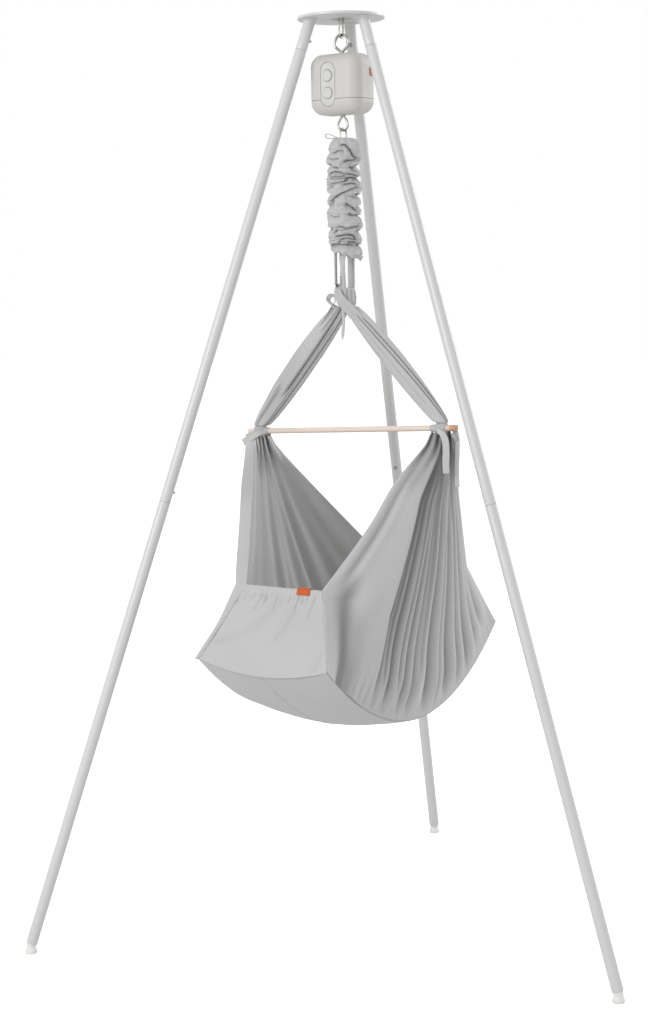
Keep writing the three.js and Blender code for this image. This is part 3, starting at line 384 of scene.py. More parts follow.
def add_cloth_wall(piece: Piece, thickness: float) -> Piece:
    """Gives a sheet its thickness, evenly to both sides.

    Args:
        piece: The piece.
        thickness: Thickness in metres.

    Returns:
        The piece.
    """
    wall = piece.modifiers.new("cloth", "SOLIDIFY")
    wall.thickness = thickness
    wall.offset = 0.0
    apply_modifiers(piece)
    shade_faces(piece.data)
    return piece


def rounded(profile: Sequence[Sequence[float]], radius: float, steps: int = 4) -> Array:
    """An outline with its inner corners rounded by short parabolas.

    A corner starts and ends at the radius, or at most 45% of a side, from its point, and the
    curve between is (1-t)^2 start + 2t(1-t) corner + t^2 end.

    Args:
        profile: Corners in order.
        radius: Distance from a corner at which its curve starts.
        steps: Steps of each curve.

    Returns:
        The rounded outline, one point to a row.
    """
    corners = np.array(profile, float)
    before, here, after = corners[:-2], corners[1:-1], corners[2:]
    back, on = before - here, after - here
    back_reach = np.minimum(radius, 0.45 * np.linalg.norm(back, axis=1))[:, None]
    on_reach = np.minimum(radius, 0.45 * np.linalg.norm(on, axis=1))[:, None]
    start = here + unit(back) * back_reach
    end = here + unit(on) * on_reach
    t = np.linspace(0.0, 1.0, steps + 1)[None, :, None]
    curve = (1 - t) ** 2 * start[:, None] + 2 * t * (1 - t) * here[:, None] + t**2 * end[:, None]
    return np.concatenate([corners[:1], curve.reshape(-1, corners.shape[1]), corners[-1:]])


def turned(profile: Array, sides: int) -> Array:
    """A turned surface about Z: each [radius, height] of the profile goes round in a circle.

    Args:
        profile: Radius and height of each point.
        sides: Sides of a circle.

    Returns:
        The surface's grid.
    """
    angle = np.linspace(0.0, TURN, sides + 1)[None, :]
    radius, height = profile[:, :1], profile[:, 1:2]
    return stack(radius * np.cos(angle), radius * np.sin(angle), height)


def path_frames(path: Array, closed: bool) -> tuple[Array, Array]:
    """Two directions across a path that turn as little as they can along it.

    Args:
        path: Points in order.
        closed: Whether the last point leads back to the first.

    Returns:
        The side and the rise direction at each point.
    """
    if closed:
        tangent = unit(np.roll(path, -1, 0) - np.roll(path, 1, 0))
    else:
        tangent = unit(np.gradient(path, axis=0))
    start = np.cross(tangent[0], [0.0, 0.0, 1.0])
    if np.linalg.norm(start) < 0.2:
        start = np.cross(tangent[0], [1.0, 0.0, 0.0])
    side = [unit(start)]
    for direction in tangent[1:]:
        side.append(unit(side[-1] - direction * np.dot(side[-1], direction)))
    side = np.array(side)
    return side, np.cross(tangent, side)


def tube(path: Array, radius: float | Array, sides: int = 16, closed: bool = False,
         flat: float = 1.0) -> Patch:
    """A round or flattened rod along a path, with domed ends when the path is open.

    A ring at each point is path + r (side cos t + flat rise sin t). A dome is four more
    rings, whose radius and place follow a quarter circle.

    Args:
        path: Points in order, without the first one repeated when closed.
        radius: One radius, or one for each point.
        sides: Sides of each ring.
        closed: Whether the path is a loop.
        flat: Thickness as a share of the width.

    Returns:
        The rod's grid.
    """
    side, rise = path_frames(path, closed)
    radius = np.broadcast_to(np.asarray(radius, float), (len(path),))
    if closed:
        miss = math.atan2(float(np.dot(side[0], rise[-1])), float(np.dot(side[0], side[-1])))
        twist = np.linspace(0.0, miss, len(path) + 1)[:-1, None]
        side, rise = (side * np.cos(twist) + rise * np.sin(twist),
                      rise * np.cos(twist) - side * np.sin(twist))
        path, side, rise, radius = (np.concatenate([a, a[:1]]) for a in
                                    (path, side, rise, radius))
    else:
        quarter = np.linspace(0.0, math.pi / 2.0, 5)
        rising, falling = np.sin(quarter), np.cos(quarter)
        head, tail = unit(path[:1] - path[1:2]), unit(path[-1:] - path[-2:-1])
        start = path[:1] - head * (radius[0] * (1 - falling)[:, None])
        finish = path[-1:] - tail * radius[-1] + tail * (radius[-1] * rising[:, None])
        path = np.concatenate([start, path[1:-1], finish])
        side, rise = (np.concatenate([np.repeat(a[:1], 5, 0), a[1:-1],
                                      np.repeat(a[-1:], 5, 0)]) for a in (side, rise))
        radius = np.concatenate([radius[0] * rising, radius[1:-1], radius[-1] * falling])
    angle = np.linspace(0.0, TURN, sides + 1)[None, :, None]
    ring = side[:, None] * np.cos(angle) + flat * rise[:, None] * np.sin(angle)
    return Patch(path[:, None] + radius[:, None, None] * ring)


def curve_through(points: Sequence[Sequence[float]], steps: int) -> Array:
    """A smooth path through points: cubic pieces whose slope at a point joins its neighbours.

    Args:
        points: Places that the path goes through.
        steps: Steps of each piece.

    Returns:
        The path, one point to a row.
    """
    spots = np.array(points, float)
    slope = np.gradient(spots, axis=0)
    t = np.linspace(0.0, 1.0, steps + 1)[:-1][None, :, None]
    a, b = spots[:-1, None], spots[1:, None]
    m, n = slope[:-1, None], slope[1:, None]
    path = ((2 * t**3 - 3 * t**2 + 1) * a + (t**3 - 2 * t**2 + t) * m
            + (3 * t**2 - 2 * t**3) * b + (t**3 - t**2) * n)
    return np.concatenate([path.reshape(-1, spots.shape[1]), spots[-1:]])


def even_path(path: Array, count: int) -> Array:
    """The same path with its points set at even lengths.

    Args:
        path: Points in order.
        count: Number of points.

    Returns:
        The evened path.
    """
    length = np.concatenate([[0.0], np.cumsum(np.linalg.norm(np.diff(path, axis=0), axis=1))])
    at = np.linspace(0.0, length[-1], count)
    return np.stack([np.interp(at, length, path[:, k]) for k in range(path.shape[1])], -1)


def stadium(half_width: float, low: float, high: float, steps: int = 20) -> Array:
    """A loop of two half circles and two straight sides, in the plane of Y and Z.

    Args:
        half_width: Radius of its half circles.
        low: Its lowest height.
        high: Its highest height.
        steps: Points of a half circle.

    Returns:
        The loop.
    """
    angle = np.linspace(0.0, math.pi, steps)
    across, up = np.cos(angle) * half_width, np.sin(angle) * half_width
    return np.concatenate([stack(0.0, across, high - half_width + up),
                           stack(0.0, -across, low + half_width - up)])


def teardrop(radius: float, round_height: float, point_height: float, inset: float) -> Array:
    """An open loop in the plane of X and Z: an arc whose two legs run together at a point.

    Args:
        radius: Radius of the arc.
        round_height: Height of the arc's middle.
        point_height: Height at which the legs meet.
        inset: Distance of each leg's end from the middle line.

    Returns:
        The path from one leg's end round to the other's.
    """
    reach = abs(round_height - point_height)
    side = math.copysign(1.0, round_height - point_height)
    tangent = math.acos(radius / reach)
    angle = np.linspace(-math.pi / 2 + tangent, 1.5 * math.pi - tangent, 33)
    arc = stack(np.cos(angle) * radius, 0.0, round_height + side * np.sin(angle) * radius)
    start = np.array([[inset, 0.0, point_height - side * radius * 0.5],
                      [inset, 0.0, point_height + side * radius * 0.05]])
    finish = start[::-1] * [-1.0, 1.0, 1.0]
    return even_path(curve_through(np.concatenate([start, arc[2:-2:2], finish]), 6), 90)


def rounded_box(half: Sequence[float], radius: float, steps: int = 10) -> list[Patch]:
    """A box with ball-shaped corners: a point of the box goes to the nearest point of an
    inner box, and out from there by the radius.

    Args:
        half: Half sizes in X, Y and Z.
        radius: Corner radius.
        steps: Steps over each rounded edge.

    Returns:
        Six grids that share their edges.
    """
    size = np.array(half, float)
    inner = size - radius

    def line(k: int) -> Array:
        """Places along one axis, close together over the rounded edges.

        Args:
            k: Number of the axis.

        Returns:
            The places.
        """
        bend = inner[k] + radius * np.tan(np.linspace(0.0, math.pi / 4, steps + 1))
        flat = np.linspace(-inner[k], inner[k], 9)
        return np.concatenate([-bend[:0:-1], flat, bend[1:]])

    patches = []
    for k in range(3):
        a, b = (k + 1) % 3, (k + 2) % 3
        for side in (-1.0, 1.0):
            rows, columns = np.meshgrid(line(b), line(a), indexing="ij")
            points = np.zeros((*rows.shape, 3))
            points[..., a], points[..., b], points[..., k] = columns, rows, side * size[k]
            core = np.clip(points, -inner, inner)
            shaped = core + unit(points - core) * radius
            patches.append(Patch(shaped, flip=side < 0))
    return patches


def lifted_pad(outline: Callable[[float], Array], lift: Callable[[Array, float], Array],
               top: float, edge: float, bottom: float, rings: int = 8) -> list[Patch]:
    """A button or plate that follows a surface: flat top, rounded edge, side wall and back.

    Args:
        outline: Gives the closed outline, drawn in by a length, as rows of two places.
        lift: Puts rows of two places on the surface, raised by a height.
        top: Height of its top above the surface.
        edge: Radius of its rounded edge.
        bottom: Height of its back, below the surface when negative.
        rings: Rings between the middle and the edge.

    Returns:
        One closed grid.
    """
    middle = outline(0.0)[:-1].mean(0)
    inset = outline(edge)
    rows = [lift(mix(middle, inset, share), top) for share in np.linspace(0.0, 1.0, rings + 1)]
    for angle in np.linspace(0.0, math.pi / 2, 5)[1:]:
        rows.append(lift(outline(edge * (1 - math.sin(angle))),
                         top - edge * (1 - math.cos(angle))))
    rows.append(lift(outline(0.0), bottom))
    rows.extend(lift(mix(outline(0.0), middle, share), bottom) for share in (0.5, 1.0))
    return [Patch(np.array(rows))]


def pill_outline(width: float, height: float, x: float, z: float,
                 steps: int = 24) -> Callable[[float], Array]:
    """Outline of a pill, or of a circle when its width and height are the same.

    Args:
        width: Its width.
        height: Its height.
        x: Its middle in X.
        z: Its middle in Z.
        steps: Steps of a half circle.

    Returns:
        The outline, as a function of the length that it is drawn in by.
    """

    def outline(inset: float) -> Array:
        """The outline, drawn in by a length.

        Args:
            inset: Length that it is drawn in by.

        Returns:
            The closed outline.
        """
        radius = width / 2 - inset
        straight = (height - width) / 2
        angle = np.linspace(0.0, math.pi, steps + 1)
        up = np.stack([x + np.cos(angle) * radius, z + straight + np.sin(angle) * radius], -1)
        down = np.stack([x - np.cos(angle) * radius, z - straight - np.sin(angle) * radius], -1)
        return np.concatenate([up, down, up[:1]])

    return outline


def block(name: str, low: Sequence[float], high: Sequence[float]) -> Piece:
    """A plain closed block, used only as a cutting tool.

    Args:
        name: Its name.
        low: Its least corner.
        high: Its greatest corner.

    Returns:
        The block.
    """
    corners = np.array([[0, 0, 0], [1, 0, 0], [1, 1, 0], [0, 1, 0],
                        [0, 0, 1], [1, 0, 1], [1, 1, 1], [0, 1, 1]], float)
    faces = np.array([[0, 3, 2, 1], [4, 5, 6, 7], [0, 1, 5, 4], [1, 2, 6, 5], [2, 3, 7, 6],
                      [3, 0, 4, 7]])
    return finish_piece(name, mix(np.array(low), np.array(high), corners), faces,
                        np.zeros((8, 2)))


def rod(name: str, radius: float, start: Sequence[float], end: Sequence[float],
        sides: int = 32) -> Piece:
    """A plain closed rod between two points, used only as a cutting tool.

    Args:
        name: Its name.
        radius: Its radius.
        start: Its first end.
        end: Its other end.
        sides: Sides of its circle.

    Returns:
        The rod.
    """
    path = np.array([start, end], float)
    direction = unit(path[1] - path[0])
    side = unit(np.cross(direction, [0.0, 0.3, 1.0]))
    rise = np.cross(direction, side)
    angle = np.linspace(0.0, TURN, sides + 1)[None, :, None]
    ring = side * np.cos(angle) + rise * np.sin(angle)
    rows = [path[:1, None] + 0 * ring, path[:1, None] + radius * ring,
            path[1:, None] + radius * ring, path[1:, None] + 0 * ring]
    return make_piece(name, [Patch(np.concatenate(rows))])


class Bench:
    """Adds nodes to a node tree and joins them."""

    def __init__(self, tree: bpy.types.NodeTree) -> None:
        """Keeps the tree that the nodes go into."""
        self.tree = tree

    def add(self, kind: str, inputs: dict | None = None, **settings: object) -> bpy.types.Node:
        """Adds a node.

        Args:
            kind: Blender's name of the node's class.
            inputs: Values or sockets for its inputs, by name or number.
            settings: Properties of the node.

        Returns:
            The node.
        """
        node = self.tree.nodes.new(kind)
        for name, value in settings.items():
            setattr(node, name, value)
        self.feed(node, inputs or {})
        return node

    def join(self, value: object, socket: bpy.types.NodeSocket) -> None:
        """Links a socket to an input, or sets the input to a plain value.

        Args:
            value: Plain value or socket.
            socket: The input.
        """
        if isinstance(value, bpy.types.NodeSocket):
            self.tree.links.new(value, socket)
        else:
            socket.default_value = value

    def feed(self, node: bpy.types.Node, inputs: dict) -> None:
        """Gives values or sockets to a node's inputs, by name or number."""
        for key, value in inputs.items():
            self.join(value, node.inputs[key])

    def scaled(self, place: object, scale: Sequence[float]) -> bpy.types.NodeSocket:
        """Places stretched by three factors."""
        return self.add("ShaderNodeMapping", {"Vector": place, "Scale": scale}).outputs[0]

    def math(self, how: str, first: object, second: object = 0.0,
             clamp: bool = False) -> bpy.types.NodeSocket:
        """Result of a sum of two values or sockets."""
        return self.add("ShaderNodeMath", {0: first, 1: second}, operation=how,
                        use_clamp=clamp).outputs[0]

    def group(self, tree: bpy.types.NodeTree, **inputs: object) -> bpy.types.Node:
        """Places a shared group, with its inputs by name."""
        return self.add("ShaderNodeGroup", {k.capitalize(): v for k, v in inputs.items()},
                        node_tree=tree)

    def noise(self, vector: object, scale: object, detail: float = 3.0, rough: float = 0.55,
              bent: float = 0.0) -> bpy.types.NodeSocket:
        """Value of a noise texture.

        Args:
            vector: Places.
            scale: Bumps to a metre.
            detail: How many finer layers lie over it.
            rough: Strength of each finer layer.
            bent: How far its bumps are bent.

        Returns:
            The value's socket.
        """
        return self.add("ShaderNodeTexNoise", {
            "Vector": vector, "Scale": scale, "Detail": detail, "Roughness": rough,
            "Distortion": bent}).outputs["Fac"]

    def ramp(self, value: object, low: float, high: float, start: float = 0.0,
             end: float = 1.0) -> bpy.types.NodeSocket:
        """A value stretched from low..high to start..end, held at both ends."""
        return self.add("ShaderNodeMapRange", {"Value": value, "From Min": low, "From Max": high,
                                               "To Min": start, "To Max": end}).outputs[0]

    def blend(self, share: object, first: object, second: object,
              how: str = "MIX") -> bpy.types.NodeSocket:
        """Mix of two colours.

        Args:
            share: Share of the second.
            first: First colour.
            second: Second colour.
            how: Kind of mix.

        Returns:
            The colour's socket.
        """
        node = self.add("ShaderNodeMix", data_type="RGBA", blend_type=how)
        for key, value in (("Factor", share), ("A", first), ("B", second)):
            self.join(value, [s for s in node.inputs if s.name == key and s.enabled][0])
        return [s for s in node.outputs if s.enabled][0]


def empty_bench(owner: bpy.types.ID) -> Bench:
    """Bench for the cleared node tree of a material or a world.

    Args:
        owner: The material or world.

    Returns:
        The bench.
    """
    owner.use_nodes = True
    owner.node_tree.nodes.clear()
    return Bench(owner.node_tree)


def new_group(name: str, inputs: dict[str, float | None],
              outputs: Sequence[str]) -> tuple[bpy.types.NodeTree, Bench, dict, bpy.types.Node]:
    """An empty shared group.

    Args:
        name: Its name.
        inputs: Name and usual value of each input, None for a place.
        outputs: Names of its outputs.

    Returns:
        The tree, its bench, its input sockets by name and its output node.
    """
    tree = bpy.data.node_groups.new(name, "ShaderNodeTree")
    for key, value in inputs.items():
        kind = "NodeSocketVector" if value is None else "NodeSocketFloat"
        socket = tree.interface.new_socket(name=key, in_out="INPUT", socket_type=kind)
        if value is not None:
            socket.default_value = value
    for key in outputs:
        tree.interface.new_socket(name=key, in_out="OUTPUT", socket_type="NodeSocketFloat")
    bench = Bench(tree)
    start = bench.add("NodeGroupInput")
    end = bench.add("NodeGroupOutput")
    return tree, bench, {key: start.outputs[key] for key in inputs}, end


class Effects:
    """Shared effects, each built once: weave, uneven tone, fine grain, wood grain, creases."""

    @staticmethod
    @cache
    def weave() -> bpy.types.NodeTree:
        """Plain weave: warp and weft bumps that pass over each other in turn.

        Returns:
            A group with the height of the threads and a mask of the gaps between them.
        """
        tree, b, at, end = new_group("plain_weave", {"Place": None, "Threads": 1600.0},
                                     ["Height", "Gap"])
        split = b.add("ShaderNodeSeparateXYZ", {0: at["Place"]})
        bend = b.noise(at["Place"], 60.0, 2.0)
        shift = b.math("MULTIPLY", bend, 0.9)
        waves = []
        for axis in ("X", "Y"):
            phase = b.math("ADD", b.math("MULTIPLY", split.outputs[axis], at["Threads"]), shift)
            waves.append(b.math("SINE", b.math("MULTIPLY", phase, math.pi)))
        over = b.math("GREATER_THAN", b.math("MULTIPLY", waves[0], waves[1]), 0.0)
        first = b.math("ABSOLUTE", waves[0])
        second = b.math("ABSOLUTE", waves[1])
        warp = b.math("MULTIPLY", first, b.math("ADD", b.math("MULTIPLY", over, 0.5), 0.5))
        weft = b.math("MULTIPLY", second, b.math("SUBTRACT", 1.0, b.math("MULTIPLY", over, 0.5)))
        height = b.math("MAXIMUM", warp, weft)
        b.feed(end, {"Height": height})
        gap = b.math("SUBTRACT", 1.0, b.math("MAXIMUM", first, second), clamp=True)
        b.feed(end, {"Gap": gap})
        return tree

    @staticmethod
    @cache
    def tone() -> bpy.types.NodeTree:
        """Uneven tone: broad clouds and finer mottles, from 0 to 1 round a half.

        Returns:
            A group with the tone.
        """
        tree, b, at, end = new_group("uneven_tone", {"Place": None, "Broad": 6.0, "Fine": 90.0},
                                     ["Tone"])
        broad = b.noise(at["Place"], at["Broad"], 3.0, 0.5)
        fine = b.noise(at["Place"], at["Fine"], 4.0, 0.5)
        both = b.math("ADD", b.math("MULTIPLY", broad, 0.65), b.math("MULTIPLY", fine, 0.35))
        b.feed(end, {"Tone": b.ramp(both, 0.3, 0.7)})
        return tree

    @staticmethod
    @cache
    def speckle() -> bpy.types.NodeTree:
        """Fine grain of a moulded or sprayed surface: small round dimples.

        Returns:
            A group with the height of the grain.
        """
        tree, b, at, end = new_group("fine_grain", {"Place": None, "Grains": 700.0}, ["Height"])
        cells = b.add("ShaderNodeTexVoronoi", {"Vector": at["Place"], "Scale": at["Grains"]},
                      feature="SMOOTH_F1").outputs["Distance"]
        cloud = b.noise(at["Place"], at["Grains"], 2.0, 0.5)
        height = b.math("ADD", b.math("MULTIPLY", cells, 0.6), b.math("MULTIPLY", cloud, 0.4))
        b.feed(end, {"Height": height})
        return tree

    @staticmethod
    @cache
    def wood() -> bpy.types.NodeTree:
        """Grain of a turned rod along X: long fibres, growth lines and short flecks.

        Returns:
            A group with the grain and a mask of the flecks.
        """
        tree, b, at, end = new_group("wood_grain", {"Place": None}, ["Grain", "Fleck"])
        fibre = b.noise(b.scaled(at["Place"], (3.0, 120.0, 120.0)), 1.6, 6.0, 0.6)
        rings = b.scaled(at["Place"], (0.9, 38.0, 38.0))
        lines = b.add("ShaderNodeTexWave", {"Vector": rings, "Scale": 3.0,
                                            "Distortion": 5.0, "Detail": 3.0},
                      wave_type="BANDS", bands_direction="Z").outputs["Fac"]
        grain = b.math("ADD", b.math("MULTIPLY", fibre, 0.7), b.math("MULTIPLY", lines, 0.3))
        b.feed(end, {"Grain": grain})
        short = b.scaled(at["Place"], (60.0, 900.0, 900.0))
        fleck = b.ramp(b.noise(short, 2.0, 2.0), 0.62, 0.74)
        b.feed(end, {"Fleck": fleck})
        return tree

    @staticmethod
    @cache
    def crumple() -> bpy.types.NodeTree:
        """Soft creases of used cloth: ridged noise at two sizes.

        Returns:
            A group with the height of the creases.
        """
        tree, b, at, end = new_group("soft_creases", {"Place": None, "Size": 14.0}, ["Height"])
        total = None
        for size, amount in ((1.0, 0.7), (2.7, 0.3)):
            scale = b.math("MULTIPLY", at["Size"], size)
            value = b.noise(at["Place"], scale, 2.0, 0.5, 0.6)
            ridge = b.math("ABSOLUTE", b.math("SUBTRACT", value, 0.5))
            part = b.math("MULTIPLY", ridge, amount)
            total = part if total is None else b.math("ADD", total, part)
        b.feed(end, {"Height": total})
        return tree


@dataclass(frozen=True)
class Finish:
    """A finish: its slot in the record, its colour as it renders and its roughness."""

    slot: str
    colour: tuple[float, float, float]
    roughness: float = 0.5
    name: str = ""

    _made = {}

    def material(self) -> Material:
        """The finish's material, built on first use.

        Returns:
            The material.
        """
        key = self.name or self.slot
        if key not in Finish._made:
            made = bpy.data.materials.new(key)
            bench = empty_bench(made)
            shader = bench.add("ShaderNodeBsdfPrincipled", {"Roughness": self.roughness})
            bench.add("ShaderNodeOutputMaterial", {0: shader.outputs[0]})
            made.diffuse_color = (*self.colour, 1.0)
            self.dress(bench, shader)
            Finish._made[key] = made
        return Finish._made[key]

    def place(self, bench: Bench, kind: str = "Object") -> bpy.types.NodeSocket:
        """Coordinates of the piece: Object, or UV for its own flat ones."""
        return bench.add("ShaderNodeTexCoord").outputs[kind]

    def shade(self, share: float) -> tuple[float, float, float, float]:
        """The colour, lighter or darker by a share."""
        return (*(min(1.0, c * share) for c in self.colour), 1.0)

    def mottled(self, bench: Bench, place: bpy.types.NodeSocket, broad: float, fine: float,
                spread: float) -> bpy.types.NodeSocket:
        """The colour with an uneven tone of a given spread."""
        tone = bench.group(Effects.tone(), place=place, broad=broad, fine=fine).outputs[0]
        return bench.blend(tone, self.shade(1.0 - spread), self.shade(1.0 + spread))

    def bump(self, bench: Bench, shader: bpy.types.Node, height: object, distance: float,
             strength: float = 1.0, under: bpy.types.NodeSocket | None = None
             ) -> bpy.types.NodeSocket:
        """Feeds a height into the shader's normal, over another bump if given.

        Args:
            bench: Bench of the material.
            shader: Its shader.
            height: The height's socket.
            distance: Its height in metres.
            strength: Strength of the bump.
            under: Normal under it.

        Returns:
            The normal's socket.
        """
        inputs = {"Height": height, "Distance": distance, "Strength": strength}
        if under is not None:
            inputs["Normal"] = under
        normal = bench.add("ShaderNodeBump", inputs).outputs[0]
        bench.feed(shader, {"Normal": normal})
        return normal

    def grained(self, bench: Bench, shader: bpy.types.Node, grains: float, distance: float,
                strength: float) -> None:
        """Gives the shader the fine grain of a moulded or sprayed surface.

        Args:
            bench: Bench of the material.
            shader: Its shader.
            grains: Grains to a metre.
            distance: Height of a grain in metres.
            strength: Strength of the bump.
        """
        grain = bench.group(Effects.speckle(), place=self.place(bench), grains=grains)
        self.bump(bench, shader, grain.outputs[0], distance, strength)

    def uneven(self, bench: Bench, scale: float, low: float, high: float, less: float,
               more: float, detail: float = 3.0) -> bpy.types.NodeSocket:
        """The roughness, smoother and rougher in broad patches.

        Args:
            bench: Bench of the material.
            scale: Patches to a metre.
            low: Noise value below which the surface is smoothest.
            high: Noise value above which it is roughest.
            less: How much smoother than the finish's roughness it gets.
            more: How much rougher.
            detail: How many finer layers the patches have.

        Returns:
            The roughness's socket.
        """
        return bench.ramp(bench.noise(self.place(bench), scale, detail), low, high,
                          self.roughness - less, self.roughness + more)

    def dress(self, bench: Bench, shader: bpy.types.Node) -> None:
        """Adds the finish's own nodes."""
        bench.feed(shader, {"Base Color": self.mottled(bench, self.place(bench), 8.0, 120.0,
                                                       0.04)})


@dataclass(frozen=True)
class PowderCoat(Finish):
    """Sprayed satin paint on steel: fine orange peel, faint scuffs and a soft clear top."""

    def dress(self, bench: Bench, shader: bpy.types.Node) -> None:
        """Adds the tone, the peel and the scuffs.

        Args:
            bench: Bench of the material.
            shader: Its shader.
        """
        place = self.place(bench)
        colour = self.mottled(bench, place, 3.0, 260.0, 0.02)
        scuff = bench.ramp(bench.noise(place, 45.0, 5.0, 0.7), 0.62, 0.8)
        colour = bench.blend(bench.math("MULTIPLY", scuff, 0.18), colour, self.shade(0.8))
        bench.feed(shader, {"Base Color": colour, "Coat Weight": 0.8, "Coat Roughness": 0.30,
                            "Roughness": self.uneven(bench, 30.0, 0.3, 0.7, 0.05, 0.07)})
        self.grained(bench, shader, 900.0, 0.00006, 0.5)


@dataclass(frozen=True)
class WireSteel(Finish):
    """Bright plated wire: metal with drawn lines and dull patches."""

    def dress(self, bench: Bench, shader: bpy.types.Node) -> None:
        """Adds the metal, its dull patches and its fine scratches.

        Args:
            bench: Bench of the material.
            shader: Its shader.
        """
        place = self.place(bench)
        bench.feed(shader, {"Metallic": 1.0,
                            "Base Color": self.mottled(bench, place, 60.0, 400.0, 0.10),
                            "Roughness": self.uneven(bench, 180.0, 0.35, 0.7, 0.06, 0.16, 4.0)})
        lines = bench.scaled(place, (900.0, 900.0, 60.0))
        self.bump(bench, shader, bench.noise(lines, 1.0, 2.0), 0.00004, 0.4)


@dataclass(frozen=True)
class CasePlastic(Finish):
    """Moulded plastic with a fine spark grain."""

    grain: float = 900.0

    def dress(self, bench: Bench, shader: bpy.types.Node) -> None:
        """Adds the tone and the grain.

        Args:
            bench: Bench of the material.
            shader: Its shader.
        """
        colour = self.mottled(bench, self.place(bench), 7.0, 500.0, 0.015)
        bench.feed(shader, {"Base Color": colour,
                            "Roughness": self.uneven(bench, 25.0, 0.3, 0.7, 0.04, 0.06)})
        self.grained(bench, shader, self.grain, 0.00008, 0.5)


@dataclass(frozen=True)
class SoftRubber(Finish):
    """Milky soft plastic that lets some light through."""

    def dress(self, bench: Bench, shader: bpy.types.Node) -> None:
        """Adds the milky depth, a darker colour over its lowest 8 mm and a fine grain.

        Args:
            bench: Bench of the material.
            shader: Its shader.
        """
        place = self.place(bench)
        colour = self.mottled(bench, place, 40.0, 300.0, 0.03)
        low = bench.add("ShaderNodeSeparateXYZ", {0: place}).outputs["Z"]
        # Darker towards the bottom: over the lowest 8 mm the colour blends up to 35% towards 78%
        # of itself.
        bottom_darkening = bench.ramp(low, 0.0, 0.008, 0.35, 0.0)
        bench.feed(shader, {"Base Color": bench.blend(bottom_darkening, colour, self.shade(0.78)),
                            "Subsurface Weight": 0.35, "Subsurface Scale": 1.0,
                            "Subsurface Radius": (0.006, 0.006, 0.006)})
        self.grained(bench, shader, 1200.0, 0.00005, 0.4)


@dataclass(frozen=True)
class WovenCotton(Finish):
    """Plain woven cotton: threads, gaps, soft creases, uneven dye and a matt nap. Painted shade
    darkens the cloth, by a share set on the finish, where a piece's hollow attribute is high, and
    darkens the gaps between threads."""

    threads: float = 1500.0
    crease: float = 0.5
    # Share of painted shade in the creases, where the hollow attribute is 1.
    crease_shade: float = 0.8

    def dress(self, bench: Bench, shader: bpy.types.Node) -> None:
        """Adds the weave on the flat coordinates and the creases on the piece's own place.

        Args:
            bench: Bench of the material.
            shader: Its shader.
        """
        place = self.place(bench)
        flat = self.place(bench, "UV")
        weave = bench.group(Effects.weave(), place=flat, threads=self.threads)
        colour = self.mottled(bench, place, 5.0, 130.0, 0.03)
        slub = bench.scaled(flat, (12.0, 420.0, 1.0))
        streak = bench.ramp(bench.noise(slub, 1.0, 3.0), 0.35, 0.65)
        colour = bench.blend(bench.math("MULTIPLY", streak, 0.05), colour, self.shade(1.12))
        # Painted shade in the gaps between threads.
        colour = bench.blend(bench.math("MULTIPLY", weave.outputs["Gap"], 0.20), colour,
                             self.shade(0.70))
        # Painted shade: the cloth darkens towards 12% of its colour where the hollow attribute
        # marks a crease.
        hollow = bench.add("ShaderNodeAttribute", attribute_name="hollow").outputs["Fac"]
        colour = bench.blend(bench.math("MULTIPLY", hollow, self.crease_shade, clamp=True), colour,
                             self.shade(0.12))
        rough = bench.ramp(weave.outputs["Height"], 0.0, 1.0, self.roughness + 0.05,
                           self.roughness - 0.05)
        bench.feed(shader, {"Base Color": colour, "Roughness": rough, "Sheen Weight": 0.12,
                            "Sheen Roughness": 0.5, "Specular IOR Level": 0.25})
        crease = bench.group(Effects.crumple(), place=place, size=16.0).outputs[0]
        under = self.bump(bench, shader, crease, 0.006 * self.crease, 0.7)
        self.bump(bench, shader, weave.outputs["Height"], 0.00005, 0.35, under)


@dataclass(frozen=True)
class CottonTape(WovenCotton):
    """Woven tape: coarser ribs across its length."""

    threads: float = 900.0
    crease: float = 0.12


@dataclass(frozen=True)
class BeechWood(Finish):
    """Pale turned beech, bare and sanded, a warm darker brown past a point near its right end."""

    warm: tuple[float, float, float] = (0.55, 0.26, 0.11)

    def dress(self, bench: Bench, shader: bpy.types.Node) -> None:
        """Adds the grain, the flecks and the darker end.

        Args:
            bench: Bench of the material.
            shader: Its shader.
        """
        place = self.place(bench)
        wood = bench.group(Effects.wood(), place=place)
        grain = bench.ramp(wood.outputs["Grain"], 0.3, 0.7)
        colour = bench.blend(grain, self.shade(0.90), self.shade(1.07))
        fleck = bench.math("MULTIPLY", wood.outputs["Fleck"], 0.35)
        colour = bench.blend(fleck, colour, (0.50, 0.30, 0.18, 1.0))
        # Warm darker brown towards the right end, from about 258 mm right of the hanging axis.
        along = bench.add("ShaderNodeSeparateXYZ", {0: place}).outputs["X"]
        start = float(HANG[0]) + 0.258
        dark = bench.ramp(bench.math("ADD", along, bench.math("MULTIPLY", grain, 0.006)),
                          start, start + 0.012, 0.0, 0.85)
        rough = bench.ramp(wood.outputs["Grain"], 0.3, 0.7, 0.50, 0.64)
        bench.feed(shader, {"Base Color": bench.blend(dark, colour, (*self.warm, 1.0)),
                            "Roughness": rough})
        self.bump(bench, shader, wood.outputs["Grain"], 0.00015, 0.5)


